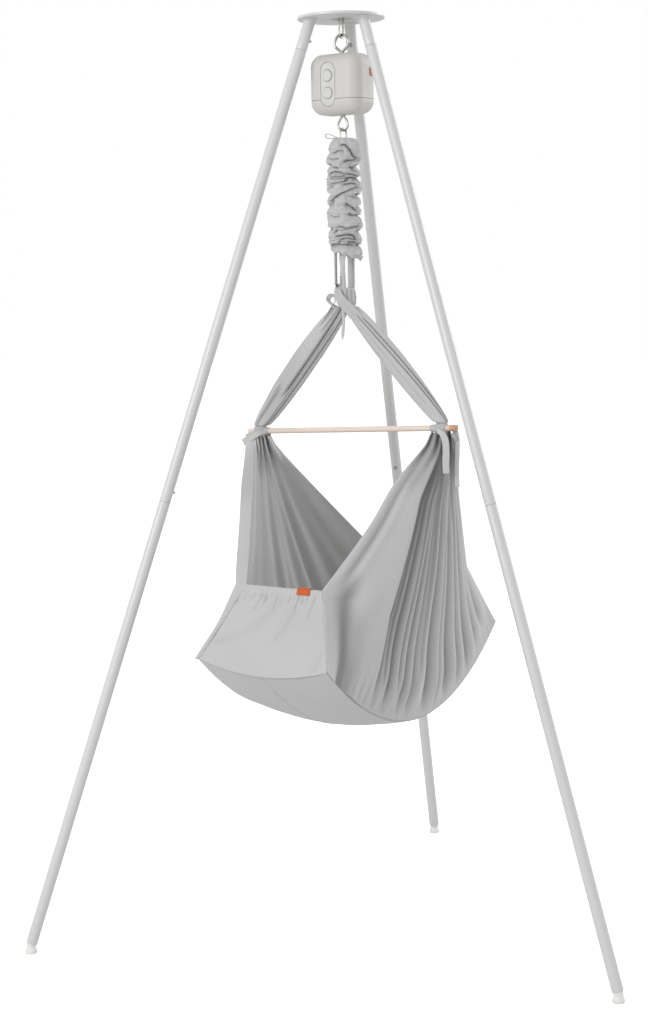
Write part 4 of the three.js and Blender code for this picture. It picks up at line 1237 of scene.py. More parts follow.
@dataclass(frozen=True)
class CircuitGreen(Finish):
    """Board lacquer with copper tracks under it and small pale pads."""

    def dress(self, bench: Bench, shader: bpy.types.Node) -> None:
        """Adds tracks from a brick pattern and pads from cells.

        Args:
            bench: Bench of the material.
            shader: Its shader.
        """
        place = self.place(bench)
        upright = bench.add("ShaderNodeMapping", {"Vector": place,
                                                  "Rotation": (math.pi / 2, 0.0, 0.0)})
        track = bench.add("ShaderNodeTexBrick", {"Vector": upright.outputs[0],
                                                 "Scale": 160.0, "Mortar Size": 0.03}
                          ).outputs["Fac"]
        colour = bench.blend(bench.math("MULTIPLY", track, 0.6), self.shade(1.0),
                             self.shade(1.9))
        pads = bench.add("ShaderNodeTexVoronoi", {"Vector": place, "Scale": 320.0}
                         ).outputs["Distance"]
        colour = bench.blend(bench.ramp(pads, 0.22, 0.18), colour, (0.62, 0.6, 0.55, 1.0))
        bench.feed(shader, {"Base Color": colour})
        self.bump(bench, shader, track, 0.0001, 0.5)


class Shop:
    """Every finish of the cradle."""

    paint = PowderCoat("coated_steel", (0.66, 0.66, 0.655), 0.50)
    wire = WireSteel("bright_steel", (0.46, 0.45, 0.435), 0.26)
    spring = WireSteel("bright_steel", (0.40, 0.39, 0.38), 0.32, "spring_steel")
    hook = WireSteel("bright_steel", (0.30, 0.30, 0.295), 0.34, "hook_steel")
    dark = WireSteel("dark_steel", (0.22, 0.22, 0.22), 0.38)
    foot = SoftRubber("foot_rubber", (0.86, 0.86, 0.84), 0.45)
    case = CasePlastic("case_plastic", (0.63, 0.62, 0.60), 0.52)
    panel = CasePlastic("panel_plastic", (0.66, 0.655, 0.63), 0.46, "", 1400.0)
    orange = CasePlastic("orange_plastic", (0.62, 0.20, 0.055), 0.55)
    ribbon = CottonTape("orange_tape", (0.60, 0.125, 0.034), 0.75)
    board = CircuitGreen("board_green", (0.02, 0.11, 0.045), 0.35)
    battery = CasePlastic("battery_grey", (0.065, 0.07, 0.08), 0.5, "", 300.0)
    gear = CasePlastic("gear_white", (0.80, 0.78, 0.72), 0.42, "", 1200.0)
    cloth = WovenCotton("cotton", (0.56, 0.56, 0.56), 0.86)
    sleeve = WovenCotton("cotton", (0.56, 0.56, 0.56), 0.86, "sleeve_cotton", 1500.0, 0.7)
    tape = CottonTape("cotton_tape", (0.58, 0.58, 0.58), 0.82)
    wood = BeechWood("beech", (0.86, 0.73, 0.65), 0.56)
    filling = WovenCotton("filling", (0.80, 0.78, 0.74), 0.88, "", 1100.0, 0.35)


@dataclass
class Stand:
    """Three tube legs, each in two lengths, their sockets, snap buttons and feet, and the
    round plate that they carry."""

    joint_height: float = 1.950
    joint_circle: float = 0.091
    foot_circle: float = 0.750
    turn: float = math.radians(18.0)
    tube_radius: float = 0.0125
    tube_wall: float = 0.0015
    spigot: float = 0.055
    upper_length: float = 1.021
    foot_height: float = 0.022
    plate_radius: float = 0.095
    plate_low: float = 2.017
    plate_top: float = 2.023
    plate_hole: float = 0.023
    collar_radius: float = 0.028
    collar_top: float = 2.032
    snap_offset: float = 0.025
    snap_hole: float = 0.0042
    snap_radius: float = 0.0031
    snap_proud: float = 0.004
    weld_width: float = 0.0034
    weld_height: float = 0.0046
    pin_hole: float = 0.0033
    pin_radius: float = 0.003
    gap: float = 0.0003
    sides: int = 56

    def __post_init__(self) -> None:
        """Works out the splay and the length of a leg."""
        self.splay = math.atan((self.foot_circle - self.joint_circle) / self.joint_height)
        self.length = self.joint_height / math.cos(self.splay)
        self.leg_end = -(self.length - self.foot_height / math.cos(self.splay))

    def angle(self, leg: int) -> float:
        """Direction of a leg's foot from the middle."""
        return self.turn - math.pi / 6 + leg * TURN / 3

    def stand_up(self, points: Array, leg: int) -> Array:
        """Puts points drawn about an upright leg, with its joint at 0, into place.

        The leg leans outwards by the splay, moves out to the joint circle and turns to its
        own direction about the hanging axis.

        Args:
            points: Points about the upright leg.
            leg: Number of the leg, from 0.

        Returns:
            The points in the frame.
        """
        lean = -self.splay
        x = points[..., 0] * math.cos(lean) + points[..., 2] * math.sin(lean)
        z = -points[..., 0] * math.sin(lean) + points[..., 2] * math.cos(lean)
        return self.turn_out(stack(x + self.joint_circle, points[..., 1],
                                   z + self.joint_height), leg)

    def turn_out(self, points: Array, leg: int) -> Array:
        """Turns upright points about the hanging axis to a leg's direction.

        Args:
            points: Points about the upright axis.
            leg: Number of the leg, from 0.

        Returns:
            The points.
        """
        turn = self.angle(leg)
        return stack(HANG[0] + points[..., 0] * math.cos(turn) - points[..., 1] * math.sin(turn),
                     HANG[1] + points[..., 0] * math.sin(turn) + points[..., 1] * math.cos(turn),
                     points[..., 2])

    def tube_profile(self, top: float, bottom: float) -> Array:
        """Outline of a tube whose top is drawn in to a spigot, with rounded ends.

        Args:
            top: Height of the shoulder.
            bottom: Height of its foot.

        Returns:
            Radius and height of each point.
        """
        outer, bore = self.tube_radius, self.tube_radius - self.tube_wall
        peg = bore - self.gap
        inner = peg - self.tube_wall
        hole = self.snap_offset
        corners = [[bore, bottom + 0.4], [bore, bottom], [outer, bottom],
                   [outer, bottom + hole - 0.007], [outer, bottom + hole + 0.007],
                   [outer, top], [peg, top], [peg, top + self.spigot],
                   [inner, top + self.spigot], [inner, top - self.tube_wall],
                   [bore, top - 2 * self.tube_wall], [bore, bottom + 0.4]]
        return rounded(corners, 0.0011)

    def snap_tool(self, joint: float, leg: int) -> Piece:
        """A cutting rod through the inner side of a leg at a joint's snap hole.

        Args:
            joint: Height of the joint on the upright leg.
            leg: Number of the leg, from 0.

        Returns:
            The rod.
        """
        z = joint + self.snap_offset
        ends = self.stand_up(np.array([[-0.002, 0.0, z], [-0.02, 0.0, z]]), leg)
        return rod("snap_tool", self.snap_hole, ends[0], ends[1], 24)

    def build_leg(self, leg: int) -> None:
        """Builds a leg's socket, its two tubes, its snap buttons and its foot.

        Args:
            leg: Number of the leg, from 0.
        """
        self.build_socket(leg)
        middle = -self.upper_length
        for part, top, bottom, holes in (("upper", 0.0, middle + self.gap, (0.0, middle)),
                                         ("lower", middle, self.leg_end, (middle,))):
            grid = self.stand_up(turned(self.tube_profile(top, bottom), self.sides), leg)
            piece = make_piece(f"tube_{part}_{leg + 1}", [Patch(grid)], Shop.paint, "stand",
                               f"{part}_leg_{leg + 1}", sharp=40.0)
            carve(piece, [self.snap_tool(hole, leg) for hole in holes], sharp=40.0)
        self.build_button(leg, "upper", 0.0)
        self.build_button(leg, "lower", middle)
        self.build_foot(leg)

    def build_socket(self, leg: int) -> None:
        """Builds the socket: a tube cut level under the plate, with a weld run at its top.

        The top of the wall at angle t lies where the leaning tube meets the level plane, and
        the last 4 mm swell outwards as a weld does.

        Args:
            leg: Number of the leg, from 0.
        """
        outer, bore = self.tube_radius, self.tube_radius - self.tube_wall
        angle = np.linspace(0.0, TURN, self.sides + 1)[None, :]
        level = self.plate_low - self.gap - self.joint_height

        def ring(radius: float, rise: float | None = None, drop: float = 0.0) -> Array:
            """A ring of the wall: at a rise along the leg, or level and lower by a drop.

            Args:
                radius: Its radius.
                rise: Rise along the leg, none for a level ring.
                drop: How much lower than level.

            Returns:
                The ring's row.
            """
            x = radius * np.cos(angle)
            cut = (level - x * math.sin(self.splay)) / math.cos(self.splay) - drop
            return stack(x, radius * np.sin(angle), cut if rise is None else rise)

        weld = [ring(outer + self.weld_width * (1 - math.sin(a)),
                     drop=self.weld_height * math.sin(a))
                for a in np.linspace(0.0, math.pi / 2, 6)]
        wall = [(outer, 0.034), (outer, 0.018), (outer, 0.0018), (outer - 0.0003, 0.0008),
                (outer - 0.001, self.gap), (bore, self.gap), (bore, 0.018), (bore, 0.034)]
        rows = [ring(bore), *weld, *(ring(radius, rise) for radius, rise in wall), ring(bore)]
        points = self.stand_up(np.concatenate(rows), leg)
        piece = make_piece(f"socket_{leg + 1}", [Patch(points, flip=True)], Shop.paint, "stand",
                           f"leg_socket_{leg + 1}", sharp=40.0)
        carve(piece, [self.snap_tool(0.0, leg)], sharp=40.0)

    def build_button(self, leg: int, part: str, joint: float) -> None:
        """Builds a snap button: a domed pin on a flange inside the spigot.

        Args:
            leg: Number of the leg, from 0.
            part: upper or lower.
            joint: Height of its joint.
        """
        reach, root = self.tube_radius + self.snap_proud, 0.0066
        corners = [[0.0, reach], [self.snap_radius * 0.75, reach - 0.0003],
                   [self.snap_radius, reach - 0.0024], [self.snap_radius, root + 0.0016],
                   [0.0056, root + 0.0016], [0.0056, root], [0.0, root]]
        upright = turned(rounded(corners, 0.0008), 24)
        points = stack(-upright[..., 2], upright[..., 1],
                       upright[..., 0] + joint + self.snap_offset)
        make_piece(f"snap_{part}_{leg + 1}", [Patch(self.stand_up(points, leg), flip=True)],
                   Shop.wire, f"{part}_snap_{leg + 1}",
                   f"{part}_snap_button_{leg + 1}", sharp=50.0)

    def build_foot(self, leg: int) -> None:
        """Builds a foot: a bell of milky plastic under the tube, with a plug up its bore.

        Args:
            leg: Number of the leg, from 0.
        """
        height, radius = self.foot_height, 0.0135
        flank = curve_through([[radius - 0.0022, 0.0], [radius - 0.0004, 0.0009],
                               [radius, height / 8], [radius * 0.93, height / 3],
                               [0.0104, height * 0.62], [0.0096, height * 0.85],
                               [0.0102, height]], 5)
        outline = np.concatenate([[[0.0, 0.0]], flank, [[0.0, height + 0.001]]])
        middle = self.foot_circle - height * math.tan(self.splay) * 0.75
        body = self.turn_out(turned(outline, 48) + [middle, 0.0, 0.0], leg)
        piece = make_piece(f"bell_foot_{leg + 1}", [Patch(body)], Shop.foot, "stand",
                           f"foot_{leg + 1}")
        peg = self.tube_radius - self.tube_wall - self.gap
        plug = rounded([[0.0, self.leg_end - 0.008], [peg, self.leg_end - 0.008],
                        [peg, self.leg_end + 0.024], [0.0, self.leg_end + 0.024]], 0.0008)
        tool = make_piece("plug_tool", [Patch(self.stand_up(turned(plug, 48), leg))])
        carve(piece, [tool], "UNION", 40.0)

    def build_plate(self) -> None:
        """Builds the round plate with its collar, and the pin across the collar."""
        low, top, collar = self.plate_low, self.plate_top, self.collar_top
        corners = [[self.plate_hole, (low + collar) / 2], [self.plate_hole, low],
                   [self.plate_radius, low], [self.plate_radius, top],
                   [self.collar_radius, top], [self.collar_radius, collar],
                   [self.plate_hole, collar], [self.plate_hole, (low + collar) / 2]]
        points = turned(rounded(corners, 0.0014), 144) + HANG
        plate = make_piece("plate", [Patch(points)], Shop.paint, "stand", "top_plate",
                           sharp=40.0)
        place = HANG + [0.0, 0.0, (top + collar) / 2]
        reach = self.collar_radius + 0.003
        carve(plate, [rod("pin_tool", self.pin_hole, place - [reach, 0.0, 0.0],
                          place + [reach, 0.0, 0.0])], sharp=40.0)
        half, thick = self.collar_radius + 0.0015, self.pin_radius
        upright = turned(rounded([[0.0, half], [thick, half], [thick, -half], [0.0, -half]],
                                 0.0006), 32)
        pin = stack(upright[..., 2], upright[..., 1], -upright[..., 0])
        make_piece("pin", [Patch(pin + place, flip=True)],
                   Shop.dark, "stand", "hanger_pin", sharp=50.0)

    def build(self) -> None:
        """Builds the whole stand."""
        self.build_plate()
        for leg in range(3):
            self.build_leg(leg)
        LOG.info("stand: plate, three sockets, six tubes, six buttons, three feet")


@dataclass
class MotorUnit:
    """The hanger link, the two-part case with its panel and keys, and both its eyes."""

    link_half: float = 0.007
    link_wire: float = 0.0025
    link_low: float = 1.9785
    link_high: float = 2.0333
    width: float = 0.131
    depth: float = 0.088
    height: float = 0.130
    corner: float = 0.028
    wall: float = 0.003
    top: float = 1.943
    seam: float = 1.844
    seam_gap: float = 0.0011
    panel_x: float = -0.009
    panel_z: float = 1.876
    panel_width: float = 0.036
    panel_height: float = 0.094
    panel_groove: float = 0.0010
    groove_depth: float = 0.0026
    stem_hole: float = 0.0055
    lip_reach: float = 0.006
    key_radius: float = 0.0117
    key_hole: float = 0.0129
    key_spacing: float = 0.037
    key_proud: float = 0.0026
    eye_radius: float = 0.017
    eye_wire: float = 0.003
    lift_radius: float = 0.0125
    lift_wire: float = 0.0025

    def __post_init__(self) -> None:
        """Works out the case's middle and bottom and the heights of its keys."""
        self.middle = self.top - self.height / 2
        self.bottom = self.top - self.height
        self.key_heights = [self.panel_z + s * self.key_spacing / 2 for s in (1.0, -1.0)]

    def reach(self, aside: Array, height: Array, half: float, raised: float) -> Array:
        """How far the rounded case reaches out from its inner box: sqrt(r^2 - d^2 - e^2),
        with d and e the distances outside the inner box and r the corner radius, raised.

        Args:
            aside: Places to the side of the case's middle.
            height: Heights over the floor.
            half: Half the case's size to that side.
            raised: Height above the surface.

        Returns:
            The reach at each place.
        """
        radius = self.corner + raised
        beside = np.maximum(np.abs(aside) - (half - self.corner), 0.0)
        over = np.maximum(np.abs(height - self.middle) - (self.height / 2 - self.corner), 0.0)
        return np.sqrt(np.maximum(radius**2 - beside**2 - over**2, 1e-9))

    def face(self, spots: Array, raised: float) -> Array:
        """Puts places in X and Z on the case's front, raised by a height.

        Args:
            spots: Rows of two places.
            raised: Height above it.

        Returns:
            The points.
        """
        x, z = spots[..., 0], spots[..., 1]
        y = -(self.depth / 2 - self.corner) - self.reach(x, z, self.width / 2, raised)
        return stack(HANG[0] + x, HANG[1] + y, z)

    def flank(self, spots: Array, raised: float) -> Array:
        """Puts places in Y and Z on the case's right side, raised by a height.

        Args:
            spots: Rows of two places.
            raised: Height above it.

        Returns:
            The points.
        """
        y, z = spots[..., 0], spots[..., 1]
        x = self.width / 2 - self.corner + self.reach(y, z, self.depth / 2, raised)
        return stack(HANG[0] + x, HANG[1] + y, z)

    def shell(self, name: str, shrink: float, finish: Finish | None = None, body: str = "",
              node: str = "") -> Piece:
        """The case's closed form, shrunk evenly by a length.

        Args:
            name: Its name.
            shrink: The length.
            finish: Its finish, none for a tool.
            body: Its body, none for a tool.
            node: CAD node that it stands for.

        Returns:
            The form as a piece.
        """
        half = [self.width / 2 - shrink, self.depth / 2 - shrink, self.height / 2 - shrink]
        patches = rounded_box(half, self.corner - shrink, 12)
        for patch in patches:
            patch.points = patch.points + HANG + [0.0, 0.0, self.middle]
        return make_piece(name, patches, finish, body, node, sharp=60.0)

    def pill_tool(self, grown: float, depth: float) -> Piece:
        """A cutting pill that reaches a depth below the case's front.

        Args:
            grown: How much wider than the panel, to each side.
            depth: The depth.

        Returns:
            The tool.
        """
        outline = pill_outline(self.panel_width + 2 * grown, self.panel_height + 2 * grown,
                               self.panel_x, self.panel_z)
        return make_piece("pill_tool", lifted_pad(outline, self.face, 0.006, 0.0001, -depth, 12))

    def key_rod(self, radius: float, height: float, sides: int = 32) -> Piece:
        """A cutting rod from front to back through the case's front, at a key's height."""
        return rod("key_rod", radius, HANG + [self.panel_x, -0.06, height],
                   HANG + [self.panel_x, -0.03, height], sides)

    def build_case(self) -> None:
        """Builds both halves of the case: shell less its hollow, with a seam all round."""
        wide, tall = np.array([self.width, self.depth, 0.0]), 0.2
        seam = np.array([0.0, 0.0, self.seam_gap / 2])
        middle = HANG + [0.0, 0.0, self.seam]
        below = middle - wide - [0.0, 0.0, tall], middle + wide + seam
        above = middle - wide - seam, middle + wide + [0.0, 0.0, tall]
        for name, node, rest, eye, hole, keys in (
                ("case_upper", "motor_housing", below, self.top, 0.0055, self.key_heights),
                ("case_lower", "motor_base", above, self.bottom, 0.0045, ())):
            half = self.shell(name, 0.0, Shop.case, "motor_unit", node)
            carve(half, [self.shell("hollow", self.wall), block("rest", *rest),
                         rod("eye_hole", hole, HANG + [0, 0, eye - 0.02],
                             HANG + [0, 0, eye + 0.02]),
                         self.pill_tool(self.panel_groove, self.groove_depth),
                         *(self.key_rod(self.stem_hole, z) for z in keys)], sharp=35.0)
            soften(half, 0.0005, 2, 40.0)
        lip = self.shell("case_lip", self.wall + 0.0003, Shop.case, "motor_unit")
        reach = [0, 0, self.lip_reach]
        carve(lip, [self.shell("hollow", self.wall + 0.0019),
                    block("low", below[0] - [0, 0, 0.01], below[1] - reach),
                    block("high", above[0] + reach, above[1])], sharp=35.0)

    def build_panel(self) -> None:
        """Builds the pill-shaped panel, its two round keys and the side tab."""
        outline = pill_outline(self.panel_width, self.panel_height, self.panel_x, self.panel_z)
        panel = make_piece("panel", lifted_pad(outline, self.face, 0.0002, 0.0009, -0.0022, 12),
                           Shop.panel, "motor_unit", "control_panel", sharp=50.0)
        carve(panel, [self.key_rod(self.key_hole, z, 64) for z in self.key_heights], sharp=40.0)
        soften(panel, 0.0005, 2, 45.0)
        for way, z in zip(("up", "down"), self.key_heights):
            rim_line = pill_outline(2 * self.key_radius, 2 * self.key_radius, self.panel_x, z)
            cap = lifted_pad(rim_line, self.face, self.key_proud, 0.0011, -0.0009, 6)
            dish = np.linalg.norm(cap[0].points - cap[0].points[0, 0], axis=-1)
            cap[0].points[..., 1] += 0.0005 * np.clip(1 - (dish / 0.009) ** 2, 0, 1)
            make_piece(f"key_{way}", cap, Shop.panel, f"{way}_button", f"{way}_key", sharp=55.0)
        tab = lifted_pad(self.tab_outline, self.flank, 0.0024, 0.0008, 0.0003, 6)
        make_piece("side_tab", tab, Shop.orange, "motor_unit", "side_tag", sharp=55.0)

    def tab_outline(self, inset: float) -> Array:
        """Outline of the side tab: a rectangle with small round corners, drawn in by a length.

        Args:
            inset: Length that it is drawn in by.

        Returns:
            The closed outline.
        """
        half_y, half_z, radius = 0.006 - inset, 0.009 - inset, 0.0016
        corners = []
        for k, (sy, sz) in enumerate(((1, 1), (-1, 1), (-1, -1), (1, -1))):
            angle = np.linspace(k * math.pi / 2, (k + 1) * math.pi / 2, 6)
            corners.append(np.stack([0.016 + sy * (half_y - radius) + radius * np.cos(angle),
                                     self.middle + 0.024 + sz * (half_z - radius)
                                     + radius * np.sin(angle)], -1))
        loop = np.concatenate(corners)
        return np.concatenate([loop, loop[:1]])

    def build_eyes(self) -> None:
        """Builds the hanger link, the top eye and the lift eye."""
        link = tube(stadium(self.link_half, self.link_low, self.link_high) + HANG,
                    self.link_wire, 16, True)
        make_piece("link", [link], Shop.wire, "hanger", "hanger_link")
        rise = self.link_low + self.link_wire + 0.0003 + self.eye_wire - self.eye_radius
        point = self.top + self.eye_wire
        loop = tube(teardrop(self.eye_radius, rise, point, 0.0021) + HANG, self.eye_wire, 16)
        shank = turned(rounded([[0.0, point - 0.0195], [0.0045, point - 0.0195],
                                [0.0045, point + 0.001], [0.0, point + 0.003]], 0.001), 32)
        make_piece("eye_top", [loop, Patch(shank + HANG)], Shop.wire, "motor_unit",
                   "top_eye")
        low_point = self.bottom - 0.0003
        low = self.bottom - 0.0335 + self.lift_radius
        drop = tube(teardrop(self.lift_radius, low, low_point, 0.0017) + HANG, self.lift_wire, 16)
        shank = turned(rounded([[0.0, low_point - 0.002], [0.0035, low_point],
                                [0.0035, 1.8544], [0.0, 1.8544]], 0.0008), 32)
        make_piece("eye_lift", [drop, Patch(shank + HANG)], Shop.wire, "lift", "lift_eye")

    def dress_inside(self) -> None:
        """Gives the hidden CAD pieces inside the case their finishes."""
        for node, finish in (("eye_nut", Shop.dark), ("inner_frame", Shop.dark),
                             ("gear_motor", Shop.dark), ("lift_rack", Shop.gear),
                             ("pinion", Shop.gear), ("circuit_board", Shop.board),
                             ("battery_pack", Shop.battery)):
            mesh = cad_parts[node].data
            mesh.materials.clear()
            mesh.materials.append(finish.material())

    def build(self) -> None:
        """Builds the whole unit."""
        self.build_eyes()
        self.build_case()
        self.build_panel()
        self.dress_inside()
        LOG.info("motor unit: link, two eyes, case, panel, two keys, tab")


@dataclass(frozen=True)
class Crease:
    """One crease of the gathered sleeve: its line in degrees from the front and heights in
    metres, how much of the puff it takes away and its reach in metres."""

    line: tuple[tuple[float, float], ...]
    pinch: float = 0.8
    reach: float = 0.0045


def line_distance(u: Array, v: Array, line: Array) -> tuple[Array, Array]:
    """Distance from each place to a line of straight pieces, and how far it lies above it.

    For each piece the nearest point is start + t (end - start), with t held in 0..1.

    Args:
        u: First coordinates of the places.
        v: Second coordinates.
        line: The line's points.

    Returns:
        The least distance to any piece, and the height above the nearest point.
    """
    least = np.full(np.broadcast(u, v).shape, 1e9)
    above = np.zeros_like(least)
    for start, end in zip(line[:-1], line[1:]):
        step = end - start
        t = ((u - start[0]) * step[0] + (v - start[1]) * step[1]) / max(float(step @ step), 1e-12)
        t = np.clip(t, 0.0, 1.0)
        over = v - start[1] - t * step[1]
        away = np.hypot(u - start[0] - t * step[0], over)
        above = np.where(away < least, over, above)
        least = np.minimum(least, away)
    return least, above


@dataclass
class SpringCover:
    """The long cloth sleeve pushed together over the spring, with its drawstring loop."""

    top: float = 1.763
    bottom: float = 1.497
    radius: float = 0.0345
    hem: float = 0.0330
    neck: float = 0.0159
    inner: float = 0.024
    shoulder: float = 0.034
    puff: float = 0.0145
    front: float = math.radians(-56.06)
    columns: int = 300
    rows: int = 270
    creases: tuple[Crease, ...] = (
        Crease(((-6, 1.7466), (8, 1.7456), (20, 1.740), (30, 1.7306), (41, 1.722), (62, 1.7175)),
               0.95, 0.0055),
        Crease(((2, 1.7107), (12, 1.7126), (28, 1.7126), (57, 1.7135)), 0.85, 0.0045),
        Crease(((28, 1.6975), (36, 1.6945), (47, 1.699)), 1.0, 0.0075),
        Crease(((-52, 1.6994), (-37, 1.6994), (-25, 1.6975)), 0.6, 0.004),
        Crease(((-82, 1.6833), (-41, 1.6886), (-14, 1.6871), (1, 1.6833), (23, 1.6833),
                (57, 1.6796)), 0.85, 0.0042),
        Crease(((-76, 1.6777), (-25, 1.678), (5, 1.6782)), 0.7, 0.0035),
        Crease(((0, 1.6673), (9, 1.672), (26, 1.6748), (48, 1.673), (62, 1.6725)), 1.0, 0.006),
        Crease(((-64, 1.6635), (-31, 1.6654), (-9, 1.6658)), 0.55, 0.0035),
        Crease(((0, 1.6597), (14, 1.6603), (28, 1.6626), (52, 1.661)), 0.9, 0.0045),
        Crease(((-70, 1.657), (-52, 1.6588)), 0.8, 0.004),
        Crease(((-74, 1.6248), (-52, 1.6305), (-31, 1.636), (-12, 1.6418), (9, 1.6456),
                (28, 1.6503), (61, 1.655)), 0.85, 0.0048),
        Crease(((-64, 1.6192), (-50, 1.6267)), 0.9, 0.005),
        Crease(((8, 1.6192), (23, 1.6135), (48, 1.605)), 0.85, 0.0045),
        Crease(((18, 1.5975), (28, 1.5946), (57, 1.5946)), 0.85, 0.0042),
        Crease(((14, 1.6362), (41, 1.6333), (54, 1.6305)), 0.5, 0.0045),
        Crease(((-23, 1.571), (-12, 1.571), (1, 1.5672), (13, 1.5667), (28, 1.569), (52, 1.572)),
               0.75, 0.0038),
        Crease(((-45, 1.5578), (-31, 1.5634)), 0.75, 0.004),
        Crease(((-38, 1.5493), (-17, 1.5502), (1, 1.5521), (20, 1.5521), (38, 1.5493),
                (47, 1.5437)), 1.0, 0.0055),
        Crease(((-31, 1.5333), (-20, 1.5408), (-6, 1.5437), (12, 1.5446), (31, 1.5418)),
               0.8, 0.004),
        Crease(((12, 1.5352), (42, 1.5352)), 0.8, 0.0036),
        Crease(((-62, 1.5323), (-28, 1.5305), (0, 1.5305), (34, 1.5276)), 0.85, 0.0042),
        Crease(((60, 1.7025), (112, 1.6985)), 1.0, 0.0060),
        Crease(((64, 1.6745), (115, 1.6760)), 0.9, 0.0045),
        Crease(((55, 1.6400), (112, 1.6345)), 0.95, 0.0055),
        Crease(((62, 1.6150), (110, 1.6180)), 0.6, 0.0040),
        Crease(((60, 1.5955), (112, 1.5925)), 0.65, 0.0040),
        Crease(((56, 1.5610), (112, 1.5590)), 1.0, 0.0065),
        Crease(((52, 1.5300), (105, 1.5285)), 0.9, 0.0050),
        Crease(((-112, 1.7365), (-66, 1.7325)), 0.6, 0.0040),
        Crease(((-112, 1.7035), (-60, 1.7045)), 0.9, 0.0055),
        Crease(((-112, 1.6440), (-70, 1.6400)), 0.9, 0.0055),
        Crease(((-108, 1.6180), (-64, 1.6210)), 0.55, 0.0040),
        Crease(((-110, 1.5690), (-56, 1.5680)), 0.9, 0.0055),
        Crease(((-108, 1.5310), (-58, 1.5320)), 0.8, 0.0045),
        Crease(((-40, 1.7300), (-22, 1.7345), (-4, 1.7335)), 0.55, 0.0035),
        Crease(((-66, 1.7200), (-45, 1.7165), (-20, 1.7175)), 0.55, 0.0035),
        Crease(((-60, 1.5960), (-40, 1.5925), (-22, 1.5935)), 0.5, 0.0035),
    )

    def back_creases(self) -> list[Crease]:
        """Creases of the half that faces away: slanting lines of uneven length and place.

        Returns:
            The creases.
        """
        made = []
        for k in range(19):
            height = self.bottom + 0.016 + 0.0132 * k + 0.004 * math.sin(2.3 * k)
            start = 92.0 + 38.0 * (0.5 + 0.5 * math.sin(1.7 * k + 0.4))
            length = 62.0 + 55.0 * (0.5 + 0.5 * math.sin(2.9 * k + 1.1))
            slope = 0.010 * math.sin(3.7 * k)
            line = tuple((start + length * s, height + slope * s + 0.003 * math.sin(4 * s + k))
                         for s in (0.0, 0.33, 0.66, 1.0))
            made.append(Crease(line, 0.8 + 0.15 * math.sin(k), 0.0045))
        return made

    def tiers(self, around: Array, height: Array) -> tuple[Array, Array]:
        """Small stacked folds: saw teeth of the height, bent by slow waves and broken up.

        Args:
            around: Length round the sleeve.
            height: Height over the floor.

        Returns:
            How proud the cloth stands, -0.5 to 0.5, and how deep it lies in a fold, 0 to 1, the
            depth being painted as shade.
        """
        phase = height / 0.0068 + 1.3 * ripple(around * 9.0, height * 14.0, 2.2)
        up = phase - np.floor(phase)
        zone = 0.30 + bell(height, 1.683, 0.022) + bell(height, 1.545, 0.024)
        broken = zone * smooth(-0.15, 0.45, ripple(around * 22.0, height * 60.0, 8.1))
        return (0.5 - up) * broken * smooth(0.0, 0.10, 1.0 - up), smooth(0.72, 1.0, up) * broken

    def outer(self, turn: Array, rise: Array) -> tuple[Array, Array]:
        """The sleeve's outside.

        The radius is the sleeve's form plus a puff of cloth that every crease pinches: the
        product of 1 - pinch exp(-distance / reach) over all the creases. Over each crease
        the cloth stands proud and sags, and under it it is tucked in and lifted, by
        tanh(height above the crease) exp(-distance / reach), so that it overlaps itself.

        Args:
            turn: Degrees from the front, in -180..180.
            rise: Height as a share.

        Returns:
            Points, and how deep each lies in a crease, 0 to 1, which the cloth finish paints as
            shade.
        """
        low = self.bottom + 0.0115 - 0.0115 * np.sin(np.radians(turn))
        low = low + 0.0022 * np.sin(np.radians(turn * 7.0) + 2.0 * np.sin(np.radians(turn * 2.0)))
        height = mix(low, self.top, rise)
        form = mix(self.hem, self.radius, smooth(0.0, 0.2, rise))
        shoulder = self.shoulder * (1.25 - 0.45 * np.sin(np.radians(turn + 20.0)))
        s = np.clip((height - self.top + shoulder) / shoulder, 0.0, 1.0)
        power = 1.85 + 0.5 * np.sin(np.radians(turn))
        form = mix(form, self.neck, 1.0 - np.sqrt(np.maximum(1.0 - 0.97 * s**power, 0.0)))
        around = np.radians(turn) * self.radius
        kept = np.ones(np.broadcast(turn, rise).shape)
        lip, hollow = np.zeros_like(kept), np.zeros_like(kept)
        for crease in [*self.creases, *self.back_creases()]:
            line = np.array(crease.line, float)
            line[:, 0] = np.radians(line[:, 0]) * self.radius
            for shift in (-TURN * self.radius, 0.0, TURN * self.radius):
                away, above = line_distance(around + shift, height, line)
                side = np.tanh(above / 0.0009)
                away = away / crease.reach
                kept = kept * (1.0 - crease.pinch * np.exp(-away / 0.95))
                lip = lip + crease.pinch * side * np.exp(-away / 1.7)
                # Painted shade: dark along each crease, strongest under it and weaker above it.
                hollow = np.maximum(hollow, 1.45 * crease.pinch * np.exp(-away / 0.40)
                                    * mix(1.0, 0.35, 0.5 + 0.5 * side))
        lip = np.clip(lip, -1.3, 1.3)
        ends = smooth(0.0, 0.04, rise) * (1.0 - 0.75 * smooth(0.93, 1.0, rise))
        theta = np.radians(turn)
        lumps = ripple(np.cos(theta) * 0.8 + height * 22.0, np.sin(theta) * 0.8, 0.7)
        tucks = np.sin(13.0 * theta + 2.0 * np.sin(height * 90.0)) * smooth(0.82, 1.0, rise)
        crisp = (1.0 - 1.6 * np.abs(ripple(around * 13.0 + 1.2 * lumps, height * 42.0, 4.2))
                 - 0.7 * np.abs(ripple(around * 31.0 - lumps, height * 85.0, 1.1)))
        proud, tucked = self.tiers(around, height)
        radius = (form + ends * (self.puff * (kept - 0.66) + 0.0030 * lip + 0.0040 * proud
                                 + 0.0016 * lumps + 0.0026 * (crisp - 0.4))
                  + 0.0011 * tucks)
        sink = ends * (0.0055 * (0.6 - kept) - 0.0015 * lip)
        angle = theta + self.front
